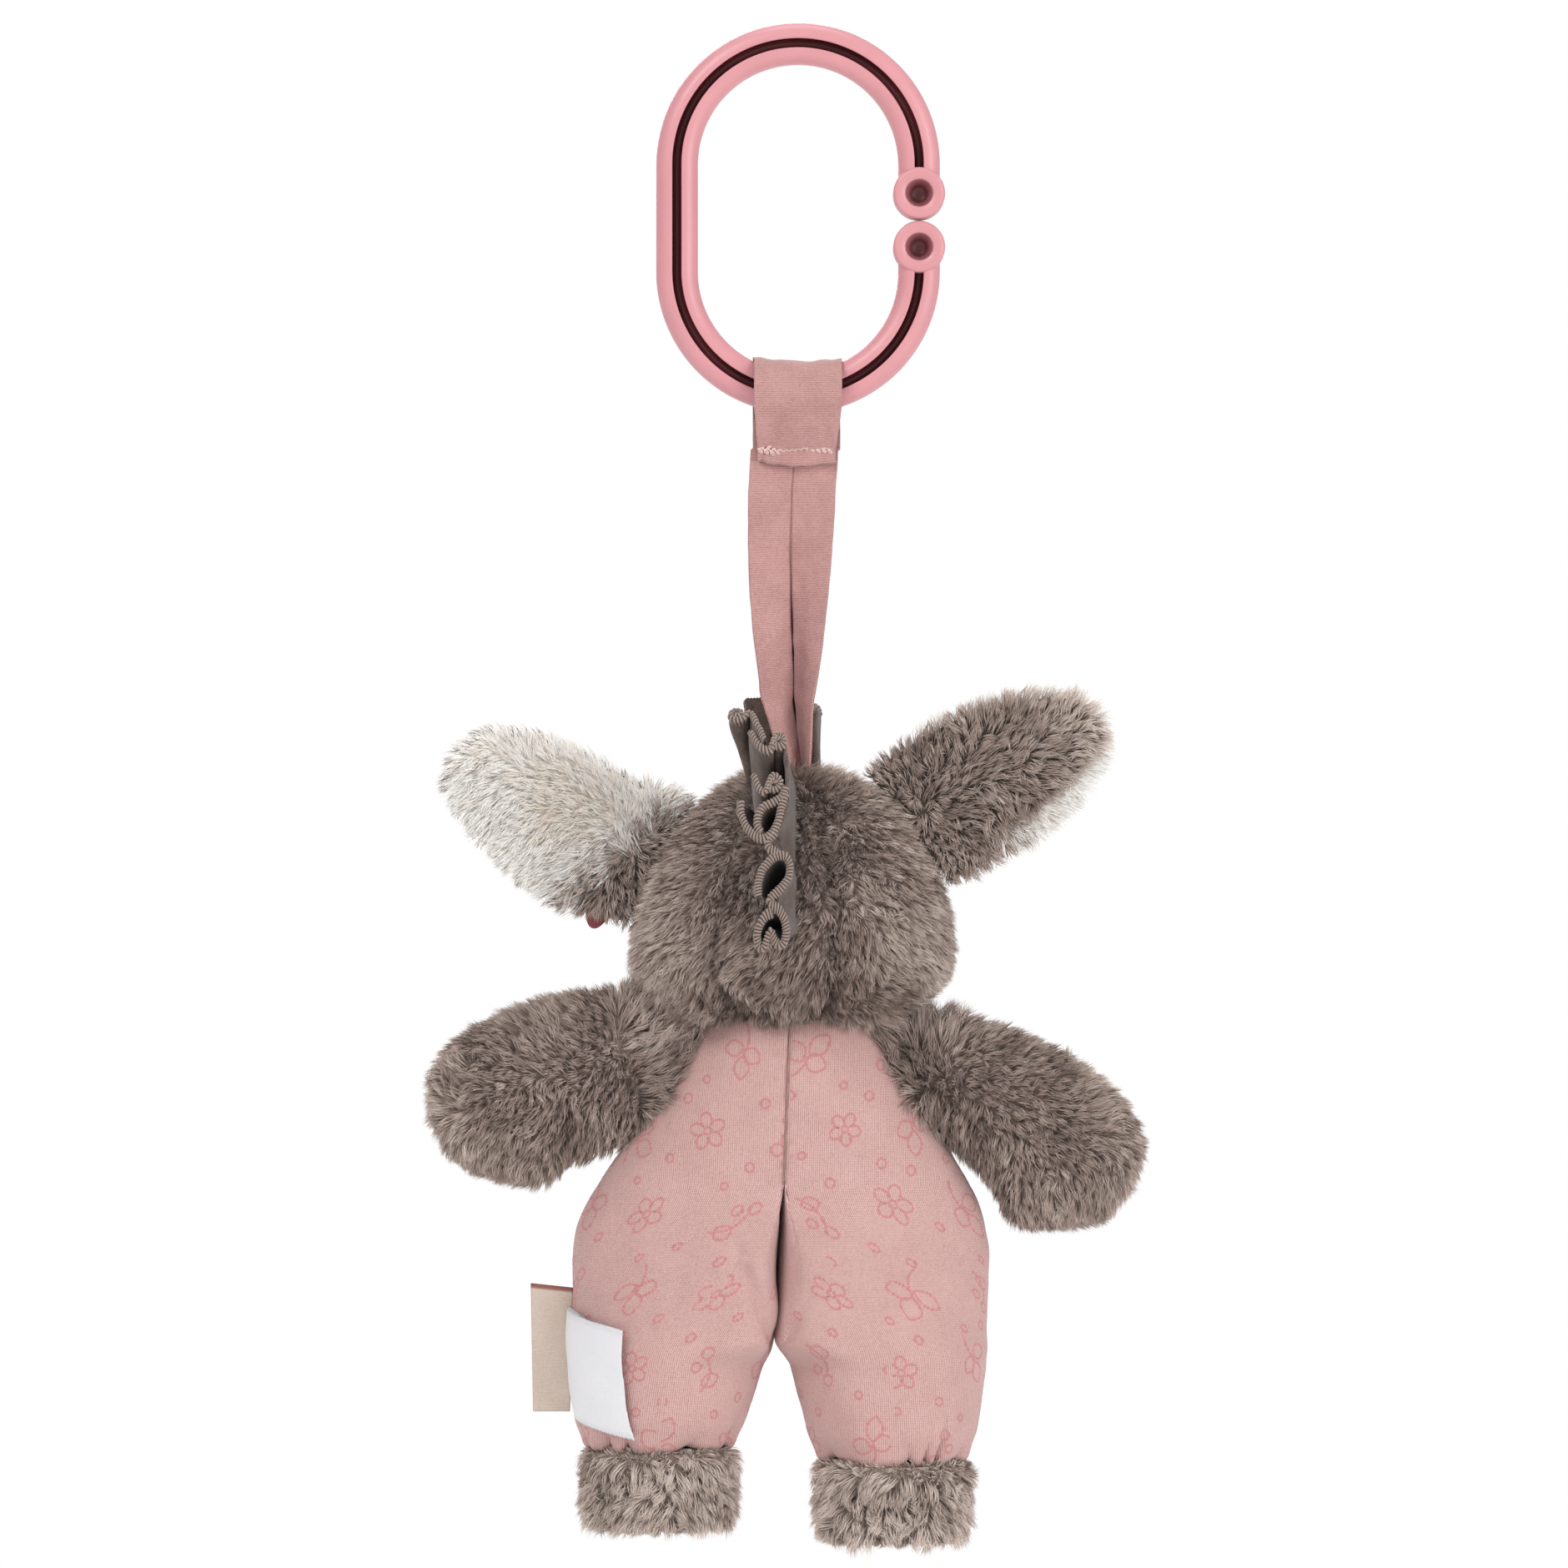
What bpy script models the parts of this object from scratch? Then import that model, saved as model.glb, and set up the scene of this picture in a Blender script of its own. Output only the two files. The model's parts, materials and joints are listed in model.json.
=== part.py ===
"""Hanging plush toy: a stuffed donkey in knitted overalls on a cotton strap and a clip ring.

Metres, +Z up. The toy faces -Y, so its back, mane and labels are on +Y, and its left side is
on +X. The origin is the point inside the top of the ring where the ring bears on what it hangs
from. Every stuffed part is a cover with a wall of cloth and pile, and a filling inside it.
"""

import math
from dataclasses import dataclass, replace
from typing import Callable

import bmesh
import bpy
import numpy as np
from mathutils import Matrix, Vector

MM = 0.001

# Clearances and walls that several pieces share
GAP = 0.3 * MM
COVER_WALL = 1.9 * MM
FILLING_CLEARANCE = 0.6 * MM
LEAST_HALF_FILLING = 1.5 * MM
OVERRUN = 2.0 * MM

# Clip ring: one moulding, a C with a boss on each end
RING_INNER_RADIUS = 22.2 * MM
RING_STRAIGHT = 23.7 * MM
RING_BAR_WIDTH = 9.25 * MM
RING_BAR_DEPTH = 7.6 * MM
RING_BAR_EDGE_RADIUS = 3.2 * MM
RING_GROOVE_WIDTH = 2.0 * MM
RING_GROOVE_DEPTH = 4.2 * MM
RING_GAP_DROP = 34.6 * MM
BOSS_RADIUS = 5.75 * MM
BOSS_SPRING_GAP = 0.4 * MM
BOSS_DEPTH = 8.6 * MM
BOSS_EDGE_RADIUS = 0.9 * MM
BOSS_HOLE_RADIUS = 3.05 * MM
BOSS_HOLE_FLOOR_RADIUS = 1.7 * MM
BOSS_HOLE_DEPTH = 5.4 * MM
RING_ARC_STEPS = 20
RING_EDGE_STEPS = 3
RING_SECTION_TILT = math.pi
BOSS_SIDES = 24
HOLE_SIDES = 16

# Cotton strap: a flat tape round the bar, its end turned under and sewn down on the back
TAPE_WIDTH = 19.4 * MM
TAPE_THICKNESS = 0.5 * MM
TAPE_LOOP_CLEARANCE = 0.4 * MM
TAPE_LOOP_STEPS = 18
HEM_EDGE_DROP = 15.5 * MM
HEM_SEAM_DROP = 12.8 * MM
HEM_TURN_LENGTH = 2.4 * MM
HEM_PLY_STEP = 0.95 * MM
HEM_TURN_STEPS = 4
STRAP_LENGTH = 83.1 * MM
STRAP_ROOT_CLEARANCE = 0.8 * MM
STRAP_FOLD_ANGLE = math.radians(73)
STRAP_FOLD_POWER = 1.25
STRAP_ROWS = 12
STRAP_COLUMN_SHARES = (-1.0, -0.5, 0.0, 0.5, 1.0)
TOY_SWING_LIMIT = math.radians(12)
TOY_SWING_MARGIN = math.radians(3)

# The toy hangs a little askew and its weight lies below the strap
TOY_LEAN_SHARE = 0.033
TOY_BALANCE = 0.4 * MM

# Head
HEAD_WIDTH = 71.0 * MM
HEAD_BACK_DEPTH = 28.0 * MM
HEAD_FRONT_DEPTH = 26.0 * MM
HEAD_HEIGHT = 55.2 * MM
NECK_HOLE_RADIUS = 7.0 * MM
HEAD_STATION_SHARES = (
    (0.000, 0.03, 0.03),
    (0.012, 0.20, 0.20),
    (0.040, 0.36, 0.38),
    (0.115, 0.55, 0.60),
    (0.280, 0.76, 0.82),
    (0.445, 0.90, 0.95),
    (0.610, 0.98, 1.00),
    (0.755, 1.00, 0.97),
    (0.870, 0.95, 0.87),
    (0.950, 0.79, 0.71),
    (1.000, 0.54, 0.50),
)

# Muzzle, eyes and nostrils on the hidden front
MUZZLE_WIDTH = 38.0 * MM
MUZZLE_HEIGHT = 29.0 * MM
MUZZLE_LENGTH = 42.0 * MM
MUZZLE_RISE = 15.5 * MM
MUZZLE_REACH = 20.0 * MM
MUZZLE_SIDES = 20
PATCH_SIDES = 12
EYE_WIDTH = 5.4 * MM
EYE_HEIGHT = 6.6 * MM
EYE_RELIEF = 1.3 * MM
EYE_SPACING = 25.0 * MM
EYE_RISE = 34.0 * MM
NOSTRIL_WIDTH = 4.2 * MM
NOSTRIL_HEIGHT = 3.0 * MM
NOSTRIL_RELIEF = 1.1 * MM
NOSTRIL_SPACING = 11.5 * MM
NOSTRIL_RISE = 19.5 * MM

# Mane: an overlocked strip of suede cloth, gathered and sewn upright along the head
MANE_HEIGHT = 14.0 * MM
MANE_THICKNESS = 1.2 * MM
MANE_EDGE_THICKNESS = 1.6 * MM
MANE_EDGE_SHARE = 0.86
MANE_PITCH = 11.5 * MM
MANE_TURN = math.radians(88)
MANE_ROLL_RADIUS = 3.0 * MM
MANE_ROLL_END_SHARE = 0.4
MANE_ROLL_ANGLE = math.radians(205)
MANE_ROLL_STEPS = 9
MANE_PERIOD_STEPS = 14
MANE_STRAP_SPACE = 8.8 * MM
MANE_SIDE = 4.6 * MM
MANE_BACK_PERIODS = 4
MANE_FRONT_PERIODS = 2
MANE_FINE_STEPS = 20
MIDLINE_STEPS = 120

# Ears: two panels each, sewn round the edge
EAR_LENGTH = 50.3 * MM
EAR_WIDTH = 35.9 * MM
EAR_PANEL_THICKNESS = 4.4 * MM
EAR_EDGE_THICKNESS = 0.6 * MM
EAR_ROOT_TOP_DROP = 7.5 * MM
EAR_ROOT_BOTTOM_DROP = 31.0 * MM
LEFT_EAR_RISE = math.radians(33.5)
RIGHT_EAR_RISE = math.radians(27.5)
LEFT_EAR_LIFT = -2.5 * MM
RIGHT_EAR_LIFT = 4.5 * MM
LEFT_EAR_BOW = -4.0 * MM
RIGHT_EAR_BOW = 1.3 * MM
EAR_BOW_SHARE = 0.26
EAR_STATION_SHARES = (
    (0.00, 0.855, 0.39),
    (0.04, 0.91, 0.50),
    (0.16, 0.955, 0.78),
    (0.34, 0.955, 0.96),
    (0.54, 0.90, 1.00),
    (0.72, 0.775, 1.00),
    (0.86, 0.615, 0.94),
    (0.95, 0.44, 0.74),
    (1.00, 0.06, 0.20),
)

# Cloth flower by the left ear
FLOWER_RADIUS = 7.0 * MM
FLOWER_THICKNESS = 1.8 * MM
FLOWER_PETALS = 5
FLOWER_WAVE_SHARE = 0.16
FLOWER_BUTTON_RADIUS = 2.2 * MM
FLOWER_BUTTON_HEIGHT = 1.6 * MM
FLOWER_OUT = 4.0 * MM
FLOWER_DOWN = 13.5 * MM

# Torso, which is the upper part of the overalls
TORSO_WIDTH = 93.0 * MM
TORSO_DEPTH = 41.0 * MM
TORSO_HEIGHT = 59.2 * MM
HIP_CREASE = math.radians(10)
TORSO_STATION_SHARES = (
    (0.00, 0.395, 0.52),
    (0.04, 0.42, 0.55),
    (0.14, 0.49, 0.61),
    (0.28, 0.59, 0.69),
    (0.41, 0.705, 0.77),
    (0.55, 0.835, 0.86),
    (0.66, 0.915, 0.92),
    (0.78, 0.972, 0.97),
    (0.89, 0.995, 1.00),
    (1.00, 1.00, 1.00),
)

# Arms
ARM_LENGTH = 51.3 * MM
ARM_WIDTH = 41.5 * MM
ARM_DEPTH = 27.0 * MM
ARM_ROOT_THICKNESS = 4.4 * MM
ARM_ROOT_TOP_DROP = 5.0 * MM
ARM_ROOT_BOTTOM_DROP = 28.0 * MM
ARM_SQUARE_SHARE = 0.85
ARM_SLIT_SHARE = 0.5
ARM_SLIT_HEIGHT = 1.6 * MM
LEFT_ARM_DROOP = math.radians(13.3)
RIGHT_ARM_DROOP = math.radians(26)
LEFT_ARM_BOW = 4.2 * MM
RIGHT_ARM_BOW = 0.7 * MM
ARM_BOW_SHARE = 0.26
ARM_STATION_SHARES = (
    (0.00, 0.72, 0.16),
    (0.03, 0.80, 0.27),
    (0.12, 0.93, 0.55),
    (0.26, 1.03, 0.80),
    (0.42, 1.01, 0.94),
    (0.60, 0.925, 1.00),
    (0.76, 0.80, 1.00),
    (0.88, 0.64, 0.90),
    (0.96, 0.44, 0.62),
    (1.00, 0.10, 0.10),
)

# Legs, which are the lower part of the overalls, and feet
LEG_WIDTH = 45.6 * MM
LEG_SET_BACK = 1.0 * MM
LEG_DEPTH = TORSO_DEPTH - LEG_SET_BACK
LEG_SPACING = 46.6 * MM
LEG_SPREAD = 2.6 * MM
LEFT_LEG_LENGTH = 35.6 * MM
RIGHT_LEG_LENGTH = 38.4 * MM
LEG_HOLE_RADIUS = 6.0 * MM
LEG_STATION_SHARES = (
    (0.00, 1.00, 1.00),
    (0.15, 1.00, 1.00),
    (0.31, 0.99, 0.99),
    (0.40, 0.97, 0.98),
    (0.52, 0.93, 0.95),
    (0.67, 0.88, 0.92),
    (0.82, 0.81, 0.87),
    (0.93, 0.74, 0.79),
    (1.00, 0.70, 0.72),
)
FOOT_WIDTH = 35.5 * MM
FOOT_DEPTH = 37.0 * MM
FOOT_HEIGHT = 19.2 * MM
FOOT_STATION_SHARES = (
    (0.00, 0.86, 0.84),
    (0.10, 0.95, 0.93),
    (0.30, 1.00, 0.99),
    (0.65, 1.00, 1.00),
    (0.86, 0.95, 0.95),
    (0.96, 0.86, 0.86),
    (1.00, 0.76, 0.76),
)

# Labels in the left side seam, both bare
SIDE_LABEL_LENGTH = 7.8 * MM
SIDE_LABEL_HEIGHT = 27.4 * MM
SIDE_LABEL_THICKNESS = 0.4 * MM
SIDE_LABEL_FOLD_RADIUS = 0.45 * MM
SIDE_LABEL_DROP = 0.6 * MM
CARE_LABEL_LENGTH = 20.0 * MM
CARE_LABEL_HEIGHT = 23.6 * MM
CARE_LABEL_THICKNESS = 0.35 * MM
CARE_LABEL_DROP = 5.0 * MM
CARE_LABEL_SLANT = 4.2 * MM
CARE_LABEL_STANDOFF = 0.9 * MM
CARE_LABEL_COLUMNS = 7

# How finely the round forms are drawn
FORM_SEARCH_STEPS = 200
SHARP_EDGE_DEGREES = 40
WELD_DISTANCE = 0.01 * MM
HEAD_SIDES = 26
HEAD_RINGS = 14
TORSO_SIDES = 26
TORSO_RINGS = 12
ARM_SIDES = 18
ARM_RINGS = 13
LEG_SIDES = 20
LEG_RINGS = 9
FOOT_SIDES = 20
FOOT_RINGS = 7
EAR_RINGS = 10
EAR_DOME_STEPS = 8
SEAT_STEPS = 24
LABEL_ROWS = 5
LABEL_FOLD_STEPS = 4
LABEL_TRACE_STEPS = 240

# Shares that shape the seams and the small pieces
EVEN_RINGS_SHARE = 0.35
SIDE_SEAM_PINCH = 0.28
LEG_SEAM_PINCH = 0.15
ROOT_EDGE_SHARE = 0.2
FLOWER_PETAL_STEPS = 6
FLOWER_RIM_SHARE = 0.6
FLOWER_CUP_SHARE = 0.7
FLOWER_STAND_SHARE = 0.8

# Materials: name, colour and roughness of each
DUSTY_PINK_PLASTIC = ("dusty_pink_plastic", (0.57, 0.24, 0.26), 0.35)
PINK_COTTON = ("pink_cotton", (0.60, 0.31, 0.31), 0.85)
PINK_JERSEY = ("pink_jersey", (0.73, 0.40, 0.40), 0.9)
GREY_PLUSH = ("grey_plush", (0.31, 0.25, 0.22), 1.0)
CREAM_PLUSH = ("cream_plush", (0.68, 0.62, 0.57), 1.0)
TAUPE_SUEDE = ("taupe_suede", (0.19, 0.15, 0.12), 0.9)
DARK_THREAD = ("dark_thread", (0.03, 0.02, 0.02), 0.6)
BROWN_THREAD = ("brown_thread", (0.10, 0.05, 0.04), 0.7)
WHITE_FILLING = ("white_filling", (0.85, 0.85, 0.84), 1.0)
WHITE_SATIN = ("white_satin", (0.80, 0.80, 0.81), 0.5)
CREAM_WEAVE = ("cream_weave", (0.69, 0.58, 0.50), 0.8)
ROSE_CLOTH = ("rose_cloth", (0.36, 0.09, 0.11), 0.9)

# Heights that the pieces take from each other
RING_RADIUS = RING_INNER_RADIUS + RING_BAR_WIDTH / 2
RING_TOP_ARC_Z = -RING_INNER_RADIUS
RING_BOTTOM_ARC_Z = RING_TOP_ARC_Z - RING_STRAIGHT
RING_BAR_Z = RING_BOTTOM_ARC_Z - RING_RADIUS
HEAD_TOP_Z = RING_BAR_Z - STRAP_LENGTH
NECK_Z = HEAD_TOP_Z - HEAD_HEIGHT
HIP_Z = NECK_Z - GAP - TORSO_HEIGHT


@dataclass(frozen=True)
class Section:
    """One cross-section of a stuffed form: an oval in the plane of its width vector and Y."""

    centre: Vector
    across: Vector
    half_width: float
    back_depth: float
    front_depth: float


@dataclass(frozen=True)
class Form:
    """A stuffed form, given as its section at any share of the way from its sewn end."""

    length: float
    section: Callable[[float], Section]
    pinch: float = 0.0
    start_crease: float = 0.0
    end_crease: float = 0.0

    def thick_enough(self, share: float, inset: float) -> bool:
        """Whether the form still has some body at this share, once its walls are taken off."""
        cut = self.section(share)
        return min(cut.half_width, cut.back_depth, cut.front_depth) > inset + LEAST_HALF_FILLING

    def shares(self, inset: float, count: int) -> list[float]:
        """Places of the rings, close together near the ends, inside a wall of this inset."""
        first, last = 0.0, 1.0
        if inset > 0:
            tries = [i / FORM_SEARCH_STEPS for i in range(FORM_SEARCH_STEPS + 1)]
            margin = inset / self.length
            inside = [t for t in tries if margin <= t <= 1 - margin and self.thick_enough(t, inset)]
            first, last = inside[0], inside[-1]
        places = []
        for i in range(count):
            even = i / (count - 1)
            eased = 0.5 - 0.5 * math.cos(math.pi * even)
            share = EVEN_RINGS_SHARE * even + (1 - EVEN_RINGS_SHARE) * eased
            places.append(first + (last - first) * share)
        return places


def toy_centre_x(z: float) -> float:
    """X of the toy's own middle at this height."""
    return TOY_LEAN_SHARE * (HEAD_TOP_Z - z)


def table_value(table: tuple, share: float, column: int) -> float:
    """A smooth value from a table of shares, by a monotone cubic between its rows."""
    places = [row[0] for row in table]
    values = [row[column] for row in table]
    steps = [(values[i + 1] - values[i]) / (places[i + 1] - places[i]) for i in range(len(table) - 1)]
    slopes = [steps[0]]
    for before, after in zip(steps, steps[1:]):
        slopes.append(0.0 if before * after <= 0 else 2 * before * after / (before + after))
    slopes.append(steps[-1])
    i = min(max(int(np.searchsorted(places, share)) - 1, 0), len(steps) - 1)
    width = places[i + 1] - places[i]
    t = (share - places[i]) / width
    return (
        values[i] * (1 + 2 * t) * (1 - t) ** 2
        + slopes[i] * width * t * (1 - t) ** 2
        + values[i + 1] * t * t * (3 - 2 * t)
        + slopes[i + 1] * width * t * t * (t - 1)
    )


def collection_for(name: str) -> bpy.types.Collection:
    """A new collection in the scene."""
    made = bpy.data.collections.new(name)
    bpy.context.scene.collection.children.link(made)
    return made


def material_for(look: tuple) -> bpy.types.Material:
    """A Principled BSDF material of this name, colour and roughness, made once."""
    name, colour, roughness = look
    found = bpy.data.materials.get(name)
    if found:
        return found
    made = bpy.data.materials.new(name)
    made.use_nodes = True
    shader = made.node_tree.nodes["Principled BSDF"]
    shader.inputs["Base Color"].default_value = (*colour, 1.0)
    shader.inputs["Roughness"].default_value = roughness
    shader.inputs["Metallic"].default_value = 0.0
    made.diffuse_color = (*colour, 1.0)
    return made


class Workshop:
    """Makes the objects of the toy and its cutters, each in its own collection."""

    def __init__(self) -> None:
        self.parts = collection_for("hanging_plush_toy")
        self.cutters = collection_for("cutters")
        self.cutters.hide_render = True

    def empty(self, name: str, place: Vector) -> bpy.types.Object:
        """An empty on a joint's axis, which carries the pieces that turn with it."""
        made = bpy.data.objects.new(name, None)
        made.location = place
        made.empty_display_size = RING_BAR_WIDTH
        self.parts.objects.link(made)
        return made

    def piece(self, name: str, mesh: bpy.types.Mesh, look: tuple) -> bpy.types.Object:
        """A visible part with its own material, shaded smooth."""
        made = bpy.data.objects.new(name, mesh)
        self.parts.objects.link(made)
        mesh.materials.clear()
        mesh.materials.append(material_for(look))
        mesh.shade_smooth()
        mesh.set_sharp_from_angle(angle=math.radians(SHARP_EDGE_DEGREES))
        return made

    def cutter(self, name: str, mesh: bpy.types.Mesh) -> bpy.types.Object:
        """A helper that only Booleans use."""
        made = bpy.data.objects.new(name, mesh)
        self.cutters.objects.link(made)
        made.hide_render = True
        made.display_type = "WIRE"
        return made


def boolean(target: bpy.types.Object, tool: bpy.types.Object, operation: str) -> None:
    """Adds an exact Boolean of the tool to the target."""
    modifier = target.modifiers.new(f"{operation.lower()}_{tool.name}", "BOOLEAN")
    modifier.operation = operation
    modifier.object = tool
    modifier.solver = "EXACT"


def mesh_from(name: str, build: Callable[[bmesh.types.BMesh], None]) -> bpy.types.Mesh:
    """A mesh that the function builds in a fresh bmesh, with its faces turned out."""
    work = bmesh.new()
    build(work)
    bmesh.ops.recalc_face_normals(work, faces=work.faces)
    mesh = bpy.data.meshes.new(name)
    work.to_mesh(mesh)
    work.free()
    return mesh


def loft(name: str, rings: list[list[Vector]], ends: tuple[Vector, Vector]) -> bpy.types.Mesh:
    """A skin over closed rings of equal count, each end closed by a fan to its given middle.

    Every skin splits its quads the same way, so that one nested in another stays clear of it.
    """

    def build(work: bmesh.types.BMesh) -> None:
        rows = [[work.verts.new(point) for point in ring] for ring in rings]
        for lower, upper in zip(rows, rows[1:]):
            for i in range(len(lower)):
                j = (i + 1) % len(lower)
                work.faces.new((lower[i], lower[j], upper[j]))
                work.faces.new((lower[i], upper[j], upper[i]))
        for row, middle in zip((rows[0], rows[-1]), ends):
            centre = work.verts.new(middle)
            for i, vertex in enumerate(row):
                work.faces.new((centre, vertex, row[(i + 1) % len(row)]))

    return mesh_from(name, build)


def oval(cut: Section, sides: int, inset: float, pinch: float, crease: float) -> list[Vector]:
    """Points round a section, drawn in at the side seams by the pinch.

    The crease tilts the two halves of the ring along Z, away from a ridge on the X axis.
    """
    points = []
    for i in range(sides):
        turn = 2 * math.pi * i / sides
        side, depth = math.cos(turn), math.sin(turn)
        reach = cut.back_depth if depth > 0 else cut.front_depth
        y = (reach - inset) * depth * abs(depth) ** pinch
        point = cut.centre + cut.across * ((cut.half_width - inset) * side)
        points.append(point + Vector((0, y, crease * abs(y))))
    return points


def form_mesh(
    name: str, form: Form, sides: int, count: int, inset: float = 0.0, clearance: float = 0.0
) -> bpy.types.Mesh:
    """The skin of a form, or of what lies within a wall of this inset, with this clearance to it."""
    middles, rings = [], []
    shares = form.shares(inset, count)
    for i, share in enumerate(shares):
        crease = form.start_crease * (1 - share) ** 3 + form.end_crease * share**3
        cut = form.section(share)
        inward = (i == 0) - (i == count - 1)
        middle = form.section(share + inward * clearance / form.length).centre
        rings.append(oval(replace(cut, centre=middle), sides, inset + clearance, form.pinch, crease))
        middles.append(middle)
    return loft(name, rings, (middles[0], middles[-1]))


def stuffed_part(
    shop: Workshop, name: str, form: Form, look: tuple, opening: bpy.types.Object, sides: int, count: int
) -> list[bpy.types.Object]:
    """A cover, hollowed and open at its sewn end, and the filling that it holds."""
    inner_sides, inner_count = sides * 2 // 3, count - 2
    cover = shop.piece(f"{name}_cover", form_mesh(f"{name}_cover", form, sides, count), look)
    hollow = shop.cutter(
        f"{name}_hollow", form_mesh(f"{name}_hollow", form, inner_sides, inner_count, COVER_WALL)
    )
    boolean(cover, hollow, "DIFFERENCE")
    boolean(cover, opening, "DIFFERENCE")
    filling = shop.piece(
        f"{name}_filling",
        form_mesh(f"{name}_filling", form, inner_sides, inner_count, COVER_WALL, FILLING_CLEARANCE),
        WHITE_FILLING,
    )
    return [cover, filling]


def rod_mesh(name: str, start: Vector, end: Vector, radius: float, end_radius: float, sides: int):
    """A cylinder or cone between two points."""
    along = end - start
    turn = along.to_track_quat("Z", "Y").to_matrix().to_4x4()
    place = Matrix.Translation((start + end) / 2) @ turn

    def build(work: bmesh.types.BMesh) -> None:
        bmesh.ops.create_cone(
            work,
            cap_ends=True,
            segments=sides,
            radius1=radius,
            radius2=end_radius,
            depth=along.length,
            matrix=place,
        )

    return mesh_from(name, build)


def ball_mesh(name: str, centre: Vector, radii: Vector, sides: int, rows: int) -> bpy.types.Mesh:
    """An ellipsoid from a sphere of radius one."""
    place = Matrix.Translation(centre) @ Matrix.Diagonal((*radii, 1))

    def build(work: bmesh.types.BMesh) -> None:
        bmesh.ops.create_uvsphere(work, u_segments=sides, v_segments=rows, radius=1, matrix=place)

    return mesh_from(name, build)


def mesh_of_curve(obj: bpy.types.Object) -> bpy.types.Mesh:
    """The curve's evaluated mesh with its caps welded. The curve is removed."""
    graph = bpy.context.evaluated_depsgraph_get()
    mesh = bpy.data.meshes.new_from_object(obj.evaluated_get(graph))
    work = bmesh.new()
    work.from_mesh(mesh)
    bmesh.ops.remove_doubles(work, verts=work.verts, dist=WELD_DISTANCE)
    bmesh.ops.recalc_face_normals(work, faces=work.faces)
    work.to_mesh(mesh)
    work.free()
    bpy.data.objects.remove(obj)
    return mesh


def poly_curve(shop: Workshop, name: str, points: list, cyclic: bool, flat: bool) -> bpy.types.Object:
    """A curve object with one poly spline."""
    data = bpy.data.curves.new(name, "CURVE")
    data.dimensions = "2D" if flat else "3D"
    spline = data.splines.new("POLY")
    spline.points.add(len(points) - 1)
    for target, point in zip(spline.points, points):
        target.co = (*point, 1)
    spline.use_cyclic_u = cyclic
    made = bpy.data.objects.new(name, data)
    shop.cutters.objects.link(made)
    made.hide_render = True
    return made


# Clip ring


def ring_route() -> list[Vector]:
    """The bar's centre line, from the upper boss over the top and round to the lower one."""
    upper_z, lower_z = boss_heights()
    points = [Vector((-RING_RADIUS, 0, upper_z))]
    for i in range(RING_ARC_STEPS + 1):
        turn = math.pi * i / RING_ARC_STEPS
        place = (-RING_RADIUS * math.cos(turn), 0, RING_TOP_ARC_Z + RING_RADIUS * math.sin(turn))
        points.append(Vector(place))
    for i in range(RING_ARC_STEPS + 1):
        turn = math.pi * i / RING_ARC_STEPS
        place = (RING_RADIUS * math.cos(turn), 0, RING_BOTTOM_ARC_Z - RING_RADIUS * math.sin(turn))
        points.append(Vector(place))
    return points + [Vector((-RING_RADIUS, 0, lower_z))]


def boss_heights() -> tuple[float, float]:
    """Heights of the two bosses, either side of the spring gap."""
    offset = BOSS_RADIUS + BOSS_SPRING_GAP / 2
    return -RING_GAP_DROP + offset, -RING_GAP_DROP - offset


def ring_section() -> list[Vector]:
    """The bar's section: a rounded bar with a moulded groove in its back."""
    points = []
    half_width, half_depth = RING_BAR_WIDTH / 2, RING_BAR_DEPTH / 2
    radius = RING_BAR_EDGE_RADIUS
    corners = ((1, 1), (-1, 1), (-1, -1), (1, -1))
    groove_half = RING_GROOVE_WIDTH / 2
    for quarter, (side, depth) in enumerate(corners):
        for i in range(RING_EDGE_STEPS + 1):
            turn = math.pi / 2 * (quarter + i / RING_EDGE_STEPS)
            x = side * (half_width - radius) + radius * math.cos(turn)
            y = depth * (half_depth - radius) + radius * math.sin(turn)
            points.append(Vector((x, y, 0)))
        if (side, depth) == (1, 1):
            floor = half_depth - RING_GROOVE_DEPTH
            points += [Vector((groove_half, half_depth, 0)), Vector((groove_half, floor, 0))]
            points += [Vector((-groove_half, floor, 0)), Vector((-groove_half, half_depth, 0))]
    return points


def make_ring(shop: Workshop) -> bpy.types.Object:
    """The C-shaped clip ring: a grooved bar swept round, and two bosses with blind holes."""
    section = poly_curve(shop, "ring_section", ring_section(), cyclic=True, flat=True)
    route = poly_curve(shop, "ring_route", ring_route(), cyclic=False, flat=False)
    route.data.bevel_mode = "OBJECT"
    route.data.bevel_object = section
    route.data.use_fill_caps = True
    route.data.twist_mode = "MINIMUM"
    for point in route.data.splines[0].points:
        point.tilt = RING_SECTION_TILT
    ring = shop.piece("ring_clip", mesh_of_curve(route), DUSTY_PINK_PLASTIC)
    back = BOSS_DEPTH / 2
    widening = (BOSS_HOLE_RADIUS - BOSS_HOLE_FLOOR_RADIUS) / BOSS_HOLE_DEPTH
    mouth_radius = BOSS_HOLE_RADIUS + widening * OVERRUN
    for name, z in zip(("upper", "lower"), boss_heights()):
        front_face, back_face = Vector((-RING_RADIUS, -back, z)), Vector((-RING_RADIUS, back, z))
        boss_mesh = rod_mesh(f"{name}_boss", front_face, back_face, BOSS_RADIUS, BOSS_RADIUS, BOSS_SIDES)
        boss = shop.cutter(f"{name}_boss", boss_mesh)
        edge = boss.modifiers.new("rounded_edges", "BEVEL")
        edge.width = BOSS_EDGE_RADIUS
        edge.segments = 2
        edge.limit_method = "ANGLE"
        boolean(ring, boss, "UNION")
        floor = back_face - Vector((0, BOSS_HOLE_DEPTH, 0))
        mouth = back_face + Vector((0, OVERRUN, 0))
        hole_mesh = rod_mesh(f"{name}_hole", floor, mouth, BOSS_HOLE_FLOOR_RADIUS, mouth_radius, HOLE_SIDES)
        boolean(ring, shop.cutter(f"{name}_hole", hole_mesh), "DIFFERENCE")
    return ring


# Strap


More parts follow.
